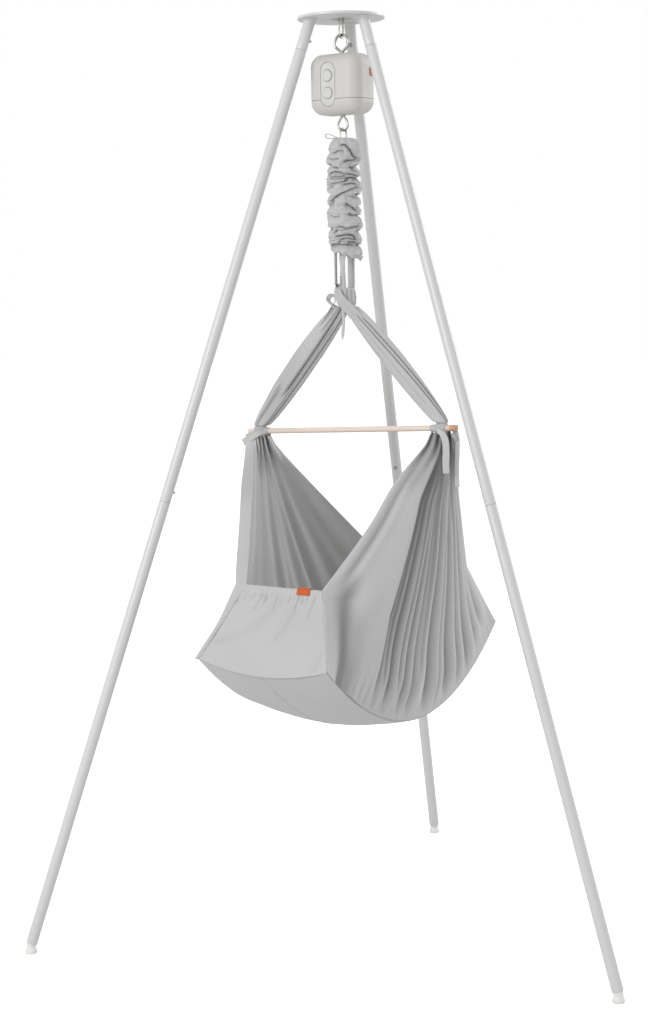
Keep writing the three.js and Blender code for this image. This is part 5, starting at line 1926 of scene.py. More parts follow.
        # Painted shade also in the tucks of the stacked folds.
        hollow = np.clip(np.maximum(hollow, 0.75 * tucked), 0.0, 1.0) * smooth(0.0, 0.03, rise)
        return stack(HANG[0] + radius * np.cos(angle), HANG[1] + radius * np.sin(angle),
                     height + sink), hollow

    def build(self) -> None:
        """Builds the sleeve and its drawstring."""
        rise, share = shares(self.rows, self.columns)
        outer, hollow = self.outer(share * 360.0 - 180.0, rise)
        flat = np.stack([share * 0.36, rise * 0.52], -1)
        ends = np.linspace(0.0, 1.0, 25)
        rows = np.round(ends * self.rows).astype(int)
        inward = outer[rows]
        arm = inward - HANG
        arm[..., 2] = 0.0
        reach = np.linalg.norm(arm, axis=-1, keepdims=True)
        wanted = np.minimum(reach - 0.0022, self.inner)
        wanted = mix(reach, wanted, smooth(0.0, 0.04, np.minimum(ends, 1 - ends))[:, None, None])
        inner = np.concatenate([HANG[:2] + (arm / reach)[..., :2] * wanted,
                                inward[..., 2:]], -1)
        cover = make_piece("sleeve", [Patch(outer, flat, hollow=hollow),
                                      Patch(inner, flat[rows], flip=True)],
                           Shop.sleeve, "", "spring_cover")
        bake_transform(cover)
        self.build_cord()
        LOG.info("sleeve: cover and drawstring loop")

    def build_cord(self) -> None:
        """Builds the drawstring: a flat tape that leaves the neck, makes a loop to the left
        and goes back in."""
        z = self.top + 0.0012
        start = [-0.0128, -0.002, z]
        spots = [start, [-0.022, -0.003, z + 0.004], [-0.034, -0.003, z + 0.0088],
                 [-0.045, 0.000, z + 0.0098], [-0.0495, 0.003, z + 0.0065],
                 [-0.0475, 0.0055, z + 0.0025], [-0.040, 0.007, z + 0.0006],
                 [-0.030, 0.0065, z + 0.0008], [-0.020, 0.004, z + 0.0002],
                 [-0.0125, 0.0025, z - 0.0004]]
        path = even_path(curve_through(spots, 6), 46) + HANG
        cord = make_piece("drawstring", [tube(path, 0.0012, 10, flat=0.8)], Shop.tape,
                          "spring_unit", "cover_cord")


@dataclass
class Suspension:
    """Spring link, coil spring, lower ring and the carabiner with its gate."""

    link_half: float = 0.0115
    link_wire: float = 0.0019
    link_low: float = 1.7342
    link_high: float = 1.7842
    hook_wire: float = 1.7384
    middle: float = 1.647108
    coil_radius: float = 0.012
    hook_radius: float = 0.008
    coil_wire: float = 0.0016
    turns: float = 12.0 + 1.0 / 12.0
    pitch: float = 0.0118
    ring_radius: float = 0.025
    ring_wire: float = 0.0025
    ring_middle: float = 1.535617
    hook_x: float = -0.020
    hook_half: float = 0.0105
    hook_high: float = 1.5278
    hook_low: float = 1.4405
    hook_thick: float = 0.0029
    gate_low: float = 1.4662
    gate_high: float = 1.5022
    gate_thick: float = 0.0021
    gate_pin: float = 0.0009

    def spring_path(self) -> Array:
        """The spring's wire: a hook, a coil whose height falls by one pitch a turn, a hook.

        Returns:
            The path.
        """
        length = self.turns * self.pitch
        top = self.hook_wire - self.middle
        angle = np.linspace(-math.pi / 4, 7 * math.pi / 5, 15)
        hook = stack(np.cos(angle) * self.hook_radius, 0.0,
                     top - self.hook_radius + np.sin(angle) * self.hook_radius)
        lead = np.array([[self.coil_radius * 0.55, self.coil_radius * 0.12,
                          length / 2 + self.pitch / 4]])
        turn = np.linspace(0.0, self.turns, 194)
        around = math.pi / 6 + turn * TURN
        coil = stack(np.cos(around) * self.coil_radius, np.sin(around) * self.coil_radius,
                     length / 2 - turn * self.pitch)
        start = np.concatenate([hook, lead])
        end = start[::-1][:, [1, 0, 2]] * [1.0, 1.0, -1.0]
        path = curve_through(np.concatenate([start, coil[::2], end]), 4)
        return path + HANG + [0.0, 0.0, self.middle]

    def build_carabiner(self) -> None:
        """Builds the wire hook, its hinged gate and the pin that the gate turns on."""
        place = HANG + [self.hook_x, 0.0, 0.0]
        angle = np.linspace(0.0, math.pi, 14)
        half, low, high = self.hook_half, self.gate_low, self.gate_high
        across, up = np.cos(angle) * half, np.sin(angle) * half
        spots = np.concatenate([
            [[0.0, half, high + 0.0003], [0.0, half, high + 0.004]],
            stack(0.0, across, self.hook_high - half + up),
            stack(0.0, -across, self.hook_low + half - up),
            [[0.0, half, low - 0.004], [0.0, half, low - 0.0003]]])
        path = even_path(curve_through(spots, 4), 150) + place
        make_piece("snap_hook", [tube(path, self.hook_thick, 16)], Shop.hook, "cradle",
                   "carabiner")
        gate = tube(stack(0.0, half, np.linspace(low, high, 12)) + place, self.gate_thick, 16)
        pin = tube(stack(np.linspace(-0.0031, 0.0031, 5), half, low + 0.003) + place,
                   self.gate_pin, 12)
        make_piece("hook_gate", [gate, pin], Shop.hook, "gate", "carabiner_gate")

    def build(self) -> None:
        """Builds the metal parts between the motor unit and the sling."""
        link = tube(stadium(self.link_half, self.link_low, self.link_high) + HANG,
                    self.link_wire, 14, True)
        make_piece("link_spring", [link], Shop.wire, "spring_unit", "spring_link")
        spring = make_piece("spring", [tube(self.spring_path(), self.coil_wire, 10)],
                            Shop.spring, "", "coil_spring")
        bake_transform(spring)
        angle = np.linspace(0.0, TURN, 65)[:-1]
        ring = stack(np.cos(angle) * self.ring_radius, 0.0,
                     self.ring_middle + np.sin(angle) * self.ring_radius)
        make_piece("ring", [tube(ring + HANG, self.ring_wire, 16, True)], Shop.wire, "cradle",
                   "lower_ring")
        self.build_carabiner()
        LOG.info("suspension: link, spring, ring, snap hook, gate")


def beside(path: Array, direction: Array) -> Array:
    """Unit directions square to a path and to a direction, one at each point."""
    return unit(np.cross(unit(np.gradient(path, axis=0)), direction))


def band(centre: Array, across: Array, width: Array | float, folds: float = 0.0,
         count: float = 2.0, columns: int = 14) -> Array:
    """A flat band: each row runs across the centre line, with shallow folds along it.

    Args:
        centre: Centre line.
        across: Direction across the band at each point.
        width: Width, at each point or all along.
        folds: Depth of the folds.
        count: Number of folds over the width.
        columns: Columns over the width.

    Returns:
        Grid of points.
    """
    share = np.linspace(-0.5, 0.5, columns + 1)[None, :, None]
    width = np.broadcast_to(np.asarray(width, float), (len(centre),))[:, None, None]
    wave = np.cos(share * TURN * count) * folds
    return (centre[:, None] + across[:, None] * share * width
            + beside(centre, across)[:, None] * wave)


def strip(name: str, grid: Array, thickness: float, node: str = "") -> Piece:
    """A strip of tape on the cradle, with its thickness."""
    return add_cloth_wall(make_piece(name, [Patch(grid)], Shop.tape, "cradle", node), thickness)


@dataclass
class Sling:
    """Bands from the ring and the hook down to the gathered knot, and the ribbon below it."""

    half: float = 0.018
    offset: float = 0.002
    top: float = 1.5168
    bottom: float = 1.4243
    width: float = 0.017
    knot_top: float = 1.424
    knot_low: float = 1.398
    safety_half: float = 0.008
    safety_x: float = -0.0185
    safety_top: float = 1.4463

    def build_bands(self) -> None:
        """Builds the main band over the ring and the safety band over the hook."""
        angle = np.linspace(0.0, math.pi, 22)
        arch = stack(0.0, np.cos(angle) * self.half,
                     self.top - self.half + np.sin(angle) * self.half)
        legs = np.linspace(self.bottom - 0.004, self.top - self.half - 0.002, 16)
        right = stack(0.0, mix(self.half - 0.004, self.half, smooth(1.42, 1.45, legs)), legs)
        left = stack(0.0, -mix(self.half - 0.006, self.half, smooth(1.44, 1.50, legs)), legs)
        path = np.concatenate([right, arch, left[::-1]])
        share = np.linspace(0.0, 1.0, len(path))
        twist = 0.9 * smooth(0.62, 0.95, share) * np.sin(share * 9.0)
        across = stack(np.cos(twist), np.sin(twist), 0.0)
        width = self.width * (1.0 - 0.50 * smooth(0.60, 0.85, share))
        grid = band(path + HANG + [self.offset, 0.0, 0.0], across, width, 0.0007, 1.5)
        main = strip("band_main", grid, 0.0022, "sling_band")
        half, top = self.safety_half, self.safety_top
        arch = stack(np.cos(angle) * half, 0.0, top - half + np.sin(angle) * half)
        right = stack(half, 0.0, np.linspace(self.bottom - 0.003, top - half - 0.002, 8))
        left = right[::-1] * [-1.0, 1.0, 1.0]
        path = np.concatenate([right, arch, left]) + HANG + [self.safety_x, 0.0, 0.0]
        across = np.repeat(np.array([[0.0, 1.0, 0.0]]), len(path), 0)
        grid = band(path, across, 0.0075, 0.0004, 1.0, 8)
        safety = strip("band_safety", grid, 0.0014, "safety_band")

    def build_knot(self) -> None:
        """Builds the knot: a gathered bundle with deep upright folds, wrapped at its foot.

        The radius is the bundle's form less the folds, whose depth follows the sum of two
        cosines of the angle, so that no two folds are alike.
        """
        rise, share = shares(60, 180)
        angle = share * TURN
        height = mix(self.knot_low - 0.004, self.knot_top + 0.014, rise)
        form = mix(0.0205, 0.0175, smooth(0.35, 1.0, rise)) * mix(0.85, 1.0, smooth(0, 0.25, rise))
        deep = (np.cos(11 * angle + 1.6 * np.sin(rise * 3.0))
                + 0.6 * np.cos(17 * angle + 2.0 - rise * 2.2))
        radius = form + 0.0016 * deep * smooth(0.1, 0.5, rise) + 0.0007 * deep
        radius = radius + 0.0011 * bell(rise, 0.24, 0.10)
        radius = radius * dome((rise - 0.9) / 0.1) * dome((0.06 - rise) / 0.06)
        points = stack(radius * np.cos(angle), radius * np.sin(angle) * 0.86, height)
        make_piece("knot", [Patch(points + HANG)], Shop.sleeve, "cradle", "sling_knot")

    def build_wrap(self) -> None:
        """Builds the fold of strap that crosses the knot's front from its upper left."""
        spots = [[-0.0120, -0.0120, 1.4400], [-0.0100, -0.0190, 1.4290],
                 [0.0010, -0.0220, 1.4110], [0.0160, -0.0165, 1.3930],
                 [0.0340, -0.0070, 1.3710], [0.0520, 0.0010, 1.3500]]
        path = even_path(curve_through(spots, 12), 80)
        share = np.linspace(0.0, 1.0, len(path))[:, None]
        rise = beside(path, [0.0, 1.0, 0.0])
        side = np.cross(rise, unit(np.gradient(path, axis=0)))
        angle = np.linspace(0.0, TURN, 73)[None, :]
        wide = mix(0.0095, 0.0135, smooth(0.0, 0.6, share)) * rim(share, 0.10)
        thin = 0.0052 * rim(share, 0.10)
        folds = 0.0009 * np.cos(np.sin(angle) * 6.0 + 0.8) + 0.0005 * np.cos(np.sin(angle) * 13.0)
        grid = (path[:, None] + side[:, None] * (np.cos(angle) * (thin + folds))[..., None]
                + rise[:, None] * (np.sin(angle) * wide)[..., None])
        make_piece("knot_fold", [Patch(grid + HANG)], Shop.cloth, "cradle")

    def build_ribbon(self) -> None:
        """Builds the ribbon that hangs below the knot, cut to a point."""
        drop = np.linspace(0.0, 1.0, 40)
        path = stack(-0.0035 + 0.002 * np.sin(drop * 3.0), -0.0125 + 0.0016 * np.sin(drop * 5.0),
                     self.knot_low + 0.004 - 0.0765 * drop) + HANG
        width = 0.0068 * (1.0 - 0.75 * smooth(0.86, 1.0, drop))
        lean = 0.35 * np.sin(drop * 2.2)
        across = stack(np.cos(lean), np.sin(lean), 0.0)
        ribbon = strip("ribbon", band(path, across, width, 0.0004, 0.5, 8), 0.0009,
                       "hanging_ribbon")

    def build(self) -> None:
        """Builds the sling's bands, knot and ribbon."""
        self.build_bands()
        self.build_knot()
        self.build_wrap()
        self.build_ribbon()
        LOG.info("sling: two bands, knot with its crossing fold, ribbon")


@dataclass
class SpreaderBar:
    """The round beech bar with a tie wound round it beside each strap."""

    half: float = 0.278
    radius: float = 0.0064
    height: float = 1.125
    rise: float = 0.010
    hang: float = 0.244
    tie_x: float = 0.223
    tails: dict[str, list] = field(default_factory=lambda: {
        "left": [[[-0.226, -0.0075, 1.1160], [-0.238, -0.018, 1.1125], [-0.252, -0.021, 1.1055],
                  [-0.266, -0.022, 1.0985], [-0.280, -0.022, 1.0905]],
                 [[-0.226, 0.0080, 1.1120], [-0.236, 0.0150, 1.100], [-0.243, 0.0180, 1.084],
                  [-0.247, 0.0185, 1.064]]],
        "right": [[[0.2265, -0.0085, 1.1300], [0.239, -0.0135, 1.1285], [0.252, -0.0165, 1.1210],
                   [0.2595, -0.0180, 1.106], [0.2615, -0.0195, 1.084], [0.2610, -0.0205, 1.062],
                   [0.2620, -0.0205, 1.038]],
                  [[0.2265, 0.0080, 1.1330], [0.246, 0.0165, 1.1330], [0.264, 0.0150, 1.1270],
                   [0.2725, 0.0100, 1.110], [0.2745, 0.0060, 1.080], [0.2735, 0.0040, 1.045],
                   [0.2745, 0.0040, 1.008]]]})

    def at(self, x: Array | float) -> Array | float:
        """Height of the bar's middle line at a place along it."""
        return self.height + self.rise * x / self.half

    def build(self) -> None:
        """Builds the bar, its ends rounded, and both ties."""
        half, r = self.half, self.radius
        along = np.linspace(-half + 0.002, half - 0.002, 79)[1:-1]
        left = rounded([[0.0, -half], [r * 0.55, -half], [r, -half], [r, -half + 0.002]], 0.0011)
        right = rounded([[r, half - 0.002], [r, half], [r * 0.55, half], [0.0, half]], 0.0011)
        profile = np.concatenate([left, np.stack([np.full(77, r), along], -1), right])
        grid = turned(profile, 40)
        x = grid[..., 2]
        make_piece("bar", [Patch(stack(x, grid[..., 0], self.at(x) + grid[..., 1]) + HANG)],
                   Shop.wood, "cradle", "spreader_bar")
        self.build_tie("left", -1.0)
        self.build_tie("right", 1.0)
        LOG.info("spreader bar: bar, two ties with tails")

    def build_tie(self, name: str, side: float) -> None:
        """Builds a tie: tape wound twice round the bar, with a small knot and two tails.

        Args:
            name: left or right.
            side: Sign of X.
        """
        turn = np.linspace(0.0, 2.2 * TURN, 110)
        share = turn / turn[-1]
        x = side * (self.tie_x + (0.006 if side < 0 else -0.002)) + mix(-0.002, 0.002, share)
        reach = self.radius + 0.0011 + 0.0004 * turn / turn[-1]
        path = stack(x, np.cos(turn) * reach, self.at(x) + np.sin(turn) * reach) + HANG
        across = np.repeat(np.array([[1.0, 0.0, self.rise / self.half]]), len(turn), 0)
        grid = band(path, unit(across), 0.0135, 0.0004, 1, 6)
        wrap = strip(f"tie_wrap_{name}", grid, 0.0009, f"bar_tie_{name}")
        for k, spots in enumerate(self.tails[name]):
            path = even_path(curve_through(spots, 10), 60) + HANG
            share = np.linspace(0.0, 1.0, len(path))
            width = mix(0.010, 0.0150 - 0.005 * k, smooth(0.05, 0.4, share))
            grid = band(path, beside(path, [0.35, -1.0, 0.15]), width, 0.0005, 0.5, 8)
            tail = strip(f"tie_tail_{name}_{k + 1}", grid, 0.0009)


def shell(points: Array, half: Array, uv: Array, flip: bool = False) -> list[Patch]:
    """Both faces of a cloth: its middle surface moved out and in by half its thickness.

    The thickness is nothing on all four edges, so that the two faces close on each other.

    Args:
        points: Grid of the middle surface.
        half: Half thickness at each point.
        uv: Flat coordinates.
        flip: Whether the grid's normals point inward.

    Returns:
        The two faces.
    """
    normal = surface_normals(points)
    held = half.copy()
    held[0], held[-1], held[:, 0], held[:, -1] = 0.0, 0.0, 0.0, 0.0
    offset = normal * held[..., None]
    return [Patch(points + offset, uv, flip), Patch(points - offset, uv, not flip)]


def three_way(places: tuple[float, float, float], share: Array) -> Array:
    """A place that runs through three values at the shares 0, a half and 1.

    Args:
        places: The three values.
        share: Shares, 0 to 1.

    Returns:
        The place at each share.
    """
    low, middle, high = places
    return (low * (1.0 - share) * (1.0 - 2.0 * share) + middle * 4.0 * share * (1.0 - share)
            + high * share * (2.0 * share - 1.0))


@dataclass(frozen=True)
class Fold:
    """A fold of hanging cloth: its places across at three heights as shares, its width and
    depth, where along its length it starts and ends, and the step between its two sides."""

    places: tuple[float, float, float]
    width: float
    depth: float
    start: float = -0.2
    end: float = 1.2
    step: float = 0.0
    fade: float = 0.12

    def reach(self, across: Array, along: Array, span: Array | float) -> tuple[Array, Array]:
        """Distance from the fold in its widths, and a window of where along it the fold is.

        Args:
            across: Shares across the cloth.
            along: Shares along the fold.
            span: Width of the cloth.

        Returns:
            The distance and the window.
        """
        s = (across - three_way(self.places, along)) * span / self.width
        return s, (smooth(self.start, self.start + self.fade, along)
                   * (1.0 - smooth(self.end - self.fade, self.end, along)))

    def relief(self, across: Array, along: Array, span: Array | float = 1.0) -> Array:
        """Height of the cloth over its smooth surface.

        A valley, exp(-s^2), with a softer ridge behind it, and a step between its two sides,
        where s is the distance from the fold in widths.

        Args:
            across: Shares across the cloth.
            along: Shares along the fold.
            span: Width of the cloth in the unit of the fold's width.

        Returns:
            The height at each place, in metres.
        """
        s, window = self.reach(across, along, span)
        valley = 0.55 * bell(s, 1.7, 1.25) - np.exp(-s * s)
        return window * (self.depth * valley + self.step * 0.5 * (1.0 - np.tanh(s * 1.6)))

    def hollow(self, across: Array, along: Array, span: Array | float = 1.0) -> Array:
        """How deep each place lies in the fold, 0 to 1, for the same values as relief; the cloth
        finish paints it as shade.
        """
        s, window = self.reach(across, along, span)
        return window * np.clip(self.depth / 0.006, 0.0, 1.0) * np.exp(-(s * 1.5) ** 2)


class Side(Enum):
    """The two sides of the cradle, with the sign of X."""

    LEFT = -1.0
    RIGHT = 1.0

    @property
    def word(self) -> str:
        """Its name in the pieces' names."""
        return self.name.lower()


@dataclass
class Straps:
    """The two gathered straps, from the knot to the loops that hold the bar."""

    bar: SpreaderBar
    top: float = 1.3985
    bottom: float = 0.011
    thick: float = 0.0088
    middle_half: dict[Side, float] = field(default_factory=lambda: {Side.LEFT: 0.0385,
                                                                    Side.RIGHT: 0.0325})
    fullness: dict[Side, float] = field(default_factory=lambda: {Side.LEFT: 0.42,
                                                                 Side.RIGHT: 0.55})
    loop_ends: dict[Side, tuple[float, float]] = field(default_factory=lambda: {
        Side.LEFT: (-0.0150, 0.0135), Side.RIGHT: (-0.0165, 0.0080)})
    top_half: float = 0.0125
    folds: dict[Side, tuple[Fold, ...]] = field(default_factory=lambda: {
        Side.RIGHT: (
            Fold((0.12, 0.46, 0.93), 0.042, 0.0046, step=0.0034),
            Fold((0.42, 0.74, 1.02), 0.046, 0.0048, step=0.0036),
            Fold((-0.30, -0.12, 0.25), 0.16, 0.0010, 0.0, 0.9),
            Fold((-0.72, -0.70, -0.45), 0.10, 0.0009, 0.0, 0.55)),
        Side.LEFT: (
            Fold((0.45, 0.42, 0.30), 0.10, 0.0060, -0.2, 0.78, 0.0030),
            Fold((0.95, 0.80, 0.80), 0.038, 0.0046, step=0.0034),
            Fold((0.80, 0.62, 0.64), 0.042, 0.0030, 0.1, 1.2, 0.0014),
            Fold((-0.30, -0.30, -0.58), 0.042, 0.0038, 0.58, 1.2, -0.0010),
            Fold((0.0, -0.10, -0.34), 0.046, 0.0036, 0.62, 1.2),
            Fold((-0.35, -0.55, -0.6), 0.055, 0.0034, -0.2, 0.2),
            Fold((0.10, 0.05, 0.0), 0.055, 0.0044, -0.2, 0.26)),
    })

    def surface(self, side: Side) -> Array:
        """A strap's closed surface: flat ovals across, one below the other.

        An oval is x = w cos t, y = -(d sin t |sin t|^-0.35 + folds), its front facing -Y.
        The half width w follows a sine from the knot to the bar.

        Args:
            side: Which strap.

        Returns:
            Grid of points, one oval to a row.
        """
        drop, share = shares(210, 216)
        angle = share * TURN
        across, out = np.cos(angle), np.sin(angle)
        sign = side.value
        swell = np.sin(drop * math.pi) ** self.fullness[side]
        ends = np.where(drop < 0.5, self.top_half, 0.0145)
        half = mix(ends, self.middle_half[side], swell)
        half = half * (1.0 + 0.02 * ripple(drop * 2.2, 0.0, sign))
        folds = sum(fold.relief(across, drop) for fold in self.folds[side])
        back = (0.0018 * np.cos(across * 7.0 + 1.3 * sign + drop * 1.5)
                + 0.0010 * np.cos(across * 13.0 + drop * 2.0))
        faded = np.abs(out) ** 0.45
        deep = self.thick * mix(0.86, 1.0, swell)
        relief = np.where(out >= 0.0, folds, back) * faded
        fine = 0.00035 * ripple(across * 4.0, drop * 5.0, 2.0 + sign) * faded
        y = -np.sign(out) * (deep * np.abs(out) ** 0.65 + relief + fine)
        start_x, end_x = sign * 0.012, sign * (self.bar.hang - 0.002)
        bow = 0.0022 * sign * np.sin(drop * math.pi)
        x = mix(start_x, end_x, drop) + across * half + bow
        z = mix(self.top, self.bar.at(end_x) + self.bottom, drop)
        closing = rim(drop, 0.012)
        centre = mix(start_x, end_x, drop)
        return stack(centre + (x - centre) * closing, y * closing, z) + HANG

    def build_strap(self, side: Side) -> None:
        """Builds a strap and its loop round the bar.

        Args:
            side: Which side.
        """
        grid = self.surface(side)
        drop, share = shares(210, 216)
        flat = np.stack([share * 0.19, drop * 0.36], -1)
        across, out = np.cos(share * TURN), np.sin(share * TURN)
        # Painted shade in the folds on the strap's front face.
        hollow = sum(fold.hollow(across, drop) for fold in self.folds[side])
        hollow = np.clip(hollow, 0.0, 1.0) * smooth(0.0, 0.1, out)
        strap = make_piece(f"strap_cloth_{side.word}", [Patch(grid, flat, hollow=hollow)],
                           Shop.cloth, "cradle", f"strap_{side.word}")
        self.build_loop(side)

    def build_loop(self, side: Side) -> Piece:
        """Builds a loop: a sleeve drawn tight round the bar, gathered across its length.

        Args:
            side: Which side.

        Returns:
            The loop.
        """
        low, high = self.loop_ends[side]
        along, share = shares(56, 96)
        angle = share * TURN
        x = side.value * self.bar.hang + mix(low, high, along)
        tight = self.bar.radius + 0.0003
        swell = rim(along, 0.16)
        oval = 1.0 / np.hypot(np.cos(angle) / 0.0108, np.sin(angle) / 0.0150)
        pleats = (0.0006 * np.sin(along * 31.0 + 1.4 * np.sin(angle * 2.0))
                  + 0.0004 * np.sin(along * 53.0 - angle))
        radius = mix(tight, oval + pleats, swell)
        outer = stack(x, -np.cos(angle) * radius, self.bar.at(x) + np.sin(angle) * radius)
        inner = stack(x[[0, -1]], -np.cos(angle[[0, -1]]) * tight,
                      self.bar.at(x[[0, -1]]) + np.sin(angle[[0, -1]]) * tight)
        return make_piece(f"bar_loop_{side.word}",
                          [Patch(outer + HANG), Patch(inner + HANG, flip=True)],
                          Shop.cloth, "cradle", sharp=70.0)

    def build_curl(self) -> None:
        """Builds the spare end of cloth at the left strap's top: a curl and a thin tail."""
        spots = [[-0.020, -0.009, 1.3960], [-0.033, -0.012, 1.4035], [-0.041, -0.012, 1.4125],
                 [-0.036, -0.010, 1.4215], [-0.026, -0.010, 1.4205], [-0.022, -0.012, 1.4110],
                 [-0.029, -0.014, 1.3990], [-0.045, -0.013, 1.3800], [-0.062, -0.012, 1.3600],
                 [-0.083, -0.011, 1.3400]]
        path = even_path(curve_through(spots, 12), 110) + HANG
        share = np.linspace(0.0, 1.0, len(path))
        width = mix(0.011, 0.0045, smooth(0.45, 0.75, share))
        face = unit(mix(beside(path, [0.25, -0.2, 0.9]), np.array([0.0, 1.0, 0.0]), 0.55))
        grid = band(path, face, width, 0.0006, 0.5, 10)
        curl = strip("strap_end", grid, 0.0012)

    def build(self) -> None:
        """Builds both straps with their loops and the curled end."""
        for side in Side:
            self.build_strap(side)
        self.build_curl()
        LOG.info("straps: left, right, two bar loops, curled end")


@dataclass
class CradleForm:
    """The sizes that the cradle's cloths share."""

    width: float = 0.336
    length: float = 0.700
    end_height: float = 0.652
    sag: float = 0.162
    keel: float = 0.024
    panel_rise: float = 0.155
    top_inset: float = 0.068
    end_inset: float = 0.088
    back_out: tuple[float, float] = (0.016, 0.026)

    def seam(self, y: Array) -> Array:
        """Height of the side seams: a parabola that sags between the end corners."""
        return self.end_height - self.sag * (1.0 - (y / (self.length / 2.0)) ** 2)

    def dip(self, x: Array) -> Array:
        """How far the base hangs below the seams: a parabola across the cradle."""
        return self.keel * (1.0 - (x / (self.width / 2.0)) ** 2)


@dataclass
class SideWalls:
    """The two side walls, gathered under the bar and sewn to the base."""

    form: CradleForm
    bar: SpreaderBar
    gather: float = 0.020
    bulge: float = 0.016
    hem: float = 0.0075
    lap: tuple[float, float, float] = (0.206, 0.178, 0.160)
    spread: dict[Side, float] = field(default_factory=lambda: {Side.LEFT: 0.030,
                                                               Side.RIGHT: 0.042})
    folds: dict[Side, tuple[Fold, ...]] = field(default_factory=lambda: {
        Side.RIGHT: (
            Fold((0.218, 0.190, 0.172), 0.0070, 0.0050, 0.0, 1.1),
            Fold((0.242, 0.214, 0.202), 0.0070, 0.0050, 0.04, 1.0),
            Fold((0.276, 0.246, 0.240), 0.0095, 0.0080, 0.0, 1.1, -0.002),
            Fold((0.308, 0.288, 0.284), 0.0080, 0.0055, 0.05, 0.95),
            Fold((0.350, 0.332, 0.330), 0.0105, 0.0078, 0.0, 1.1),
            Fold((0.402, 0.384, 0.386), 0.0125, 0.0098, 0.0, 1.1, 0.003),
            Fold((0.440, 0.425, 0.430), 0.0100, 0.0045, 0.1, 0.9),
            Fold((0.505, 0.498, 0.500), 0.0150, 0.0100, 0.0, 1.1),
            Fold((0.572, 0.566, 0.560), 0.0100, 0.0042, 0.0, 0.7),
            Fold((0.640, 0.640, 0.630), 0.0160, 0.0085, 0.0, 1.1),
            Fold((0.725, 0.718, 0.710), 0.0130, 0.0060, 0.0, 1.0),
            Fold((0.800, 0.790, 0.780), 0.0150, 0.0070, 0.0, 1.0),
            Fold((0.872, 0.862, 0.850), 0.0120, 0.0050, 0.02, 1.0),
            Fold((0.930, 0.925, 0.920), 0.0120, 0.0060, 0.05, 1.0),
            Fold((0.066, 0.047, 0.030), 0.0160, 0.0075, -0.2, 0.46),
            Fold((0.026, 0.030, 0.052), 0.0060, 0.0040, 0.34, 1.2, 0.0018),
            Fold((0.096, 0.085, 0.080), 0.0240, 0.0026, -0.2, 0.35),
            Fold((0.090, 0.088, 0.095), 0.0100, 0.0028, 0.72, 1.2)),
        Side.LEFT: (
            Fold((0.290, 0.318, 0.330), 0.0210, 0.0030, 0.25, 1.0),
            Fold((0.470, 0.500, 0.505), 0.0200, 0.0058, 0.0, 1.0, 0.0030),
            Fold((0.585, 0.600, 0.610), 0.0150, 0.0026, 0.3, 1.0),
            Fold((0.665, 0.675, 0.680), 0.0190, 0.0050, 0.0, 1.0, 0.0020),
            Fold((0.765, 0.770, 0.765), 0.0120, 0.0080, 0.0, 1.1, 0.0050),
            Fold((0.860, 0.862, 0.860), 0.0130, 0.0055, 0.1, 1.0, 0.0020),
            Fold((0.918, 0.912, 0.905), 0.0100, 0.0036, 0.3, 1.0),
            Fold((0.180, 0.200, 0.230), 0.0260, 0.0022, 0.2, 1.0)),
    })

    def smooth_wall(self, side: Side, along: Array, rise: Array) -> Array:
        """The wall without its folds.

        Threads run straight from the gather to the seam; both end edges are drawn in to the
        corners of the end panels, most where the panels' top corners are.

        Args:
            side: Which wall.
            along: Shares from the front edge to the back edge.
            rise: Shares from the seam to the bar.

        Returns:
            Points about the hanging axis.
        """
        form = self.form
        end = 2.0 * along - 1.0
        half = form.width / 2.0
        y_low = form.length / 2.0 * end
        bunch = self.bunched(side, along)
        spot = mix(end, 2.0 * bunch - 1.0, smooth(0.74, 0.98, rise))
        hang = self.bar.hang
        top = self.bar.at(side.value * hang) - 0.0166
        corner = form.panel_rise / (top - form.end_height)
        pull_x = (half - form.top_inset) - mix(half, hang, corner)
        pull_y = (form.length / 2.0 - form.end_inset) - mix(form.length / 2.0,
                                                            self.gather / 2.0, corner)
        hat = np.where(rise < corner, rise / corner, (1.0 - rise) / (1.0 - corner))
        pull = hat * end**4
        swell = self.bulge * np.sin(math.pi * rise) * (1.0 - end**2)
        belly = 0.010 * bell(rise, 0.12, 0.10) * (1.0 - end**2)
        x = side.value * (mix(half, hang, rise) + pull_x * pull + swell + belly)
        x = x + (bunch - 0.5) * self.spread[side] * np.clip(rise, 0, 1) ** 3
        y = mix(form.length, self.gather, rise) / 2.0 * spot + np.sign(end) * pull_y * pull
        z = mix(form.seam(y_low), top, rise) + 0.010 * smooth(0.955, 1.0, rise)
        back = np.clip(end, 0.0, 1.0) ** 3 * hat
        x = x + side.value * form.back_out[0] * back
        y = y + form.back_out[1] * back
        front = bell(rise, 0.80, 0.14) * np.clip(1.0 - along / 0.30, 0, 1)
        if side is Side.RIGHT:
            x, y = x - 0.007 * front, y - 0.016 * front
        return stack(x, y, z)

    def bunched(self, side: Side, along: Array) -> Array:
        """Shares of the gather under the bar: the right wall's smooth front part takes the
        most of it.

        Args:
            side: Which side.
            along: Shares from the front edge to the back.

        Returns:
            The shares.
        """
        if side is Side.LEFT:
            return along
        return np.interp(along, (0.0, 0.165, 0.43, 1.0), (0.0, 0.42, 0.67, 1.0))

    def span(self, rise: Array) -> Array:
        """Width of the cloth from edge to edge, with what the gather takes up, at a rise."""
        return mix(self.form.length, 0.045, np.clip(rise, 0, 1)) / mix(1.0, 0.52, rise)

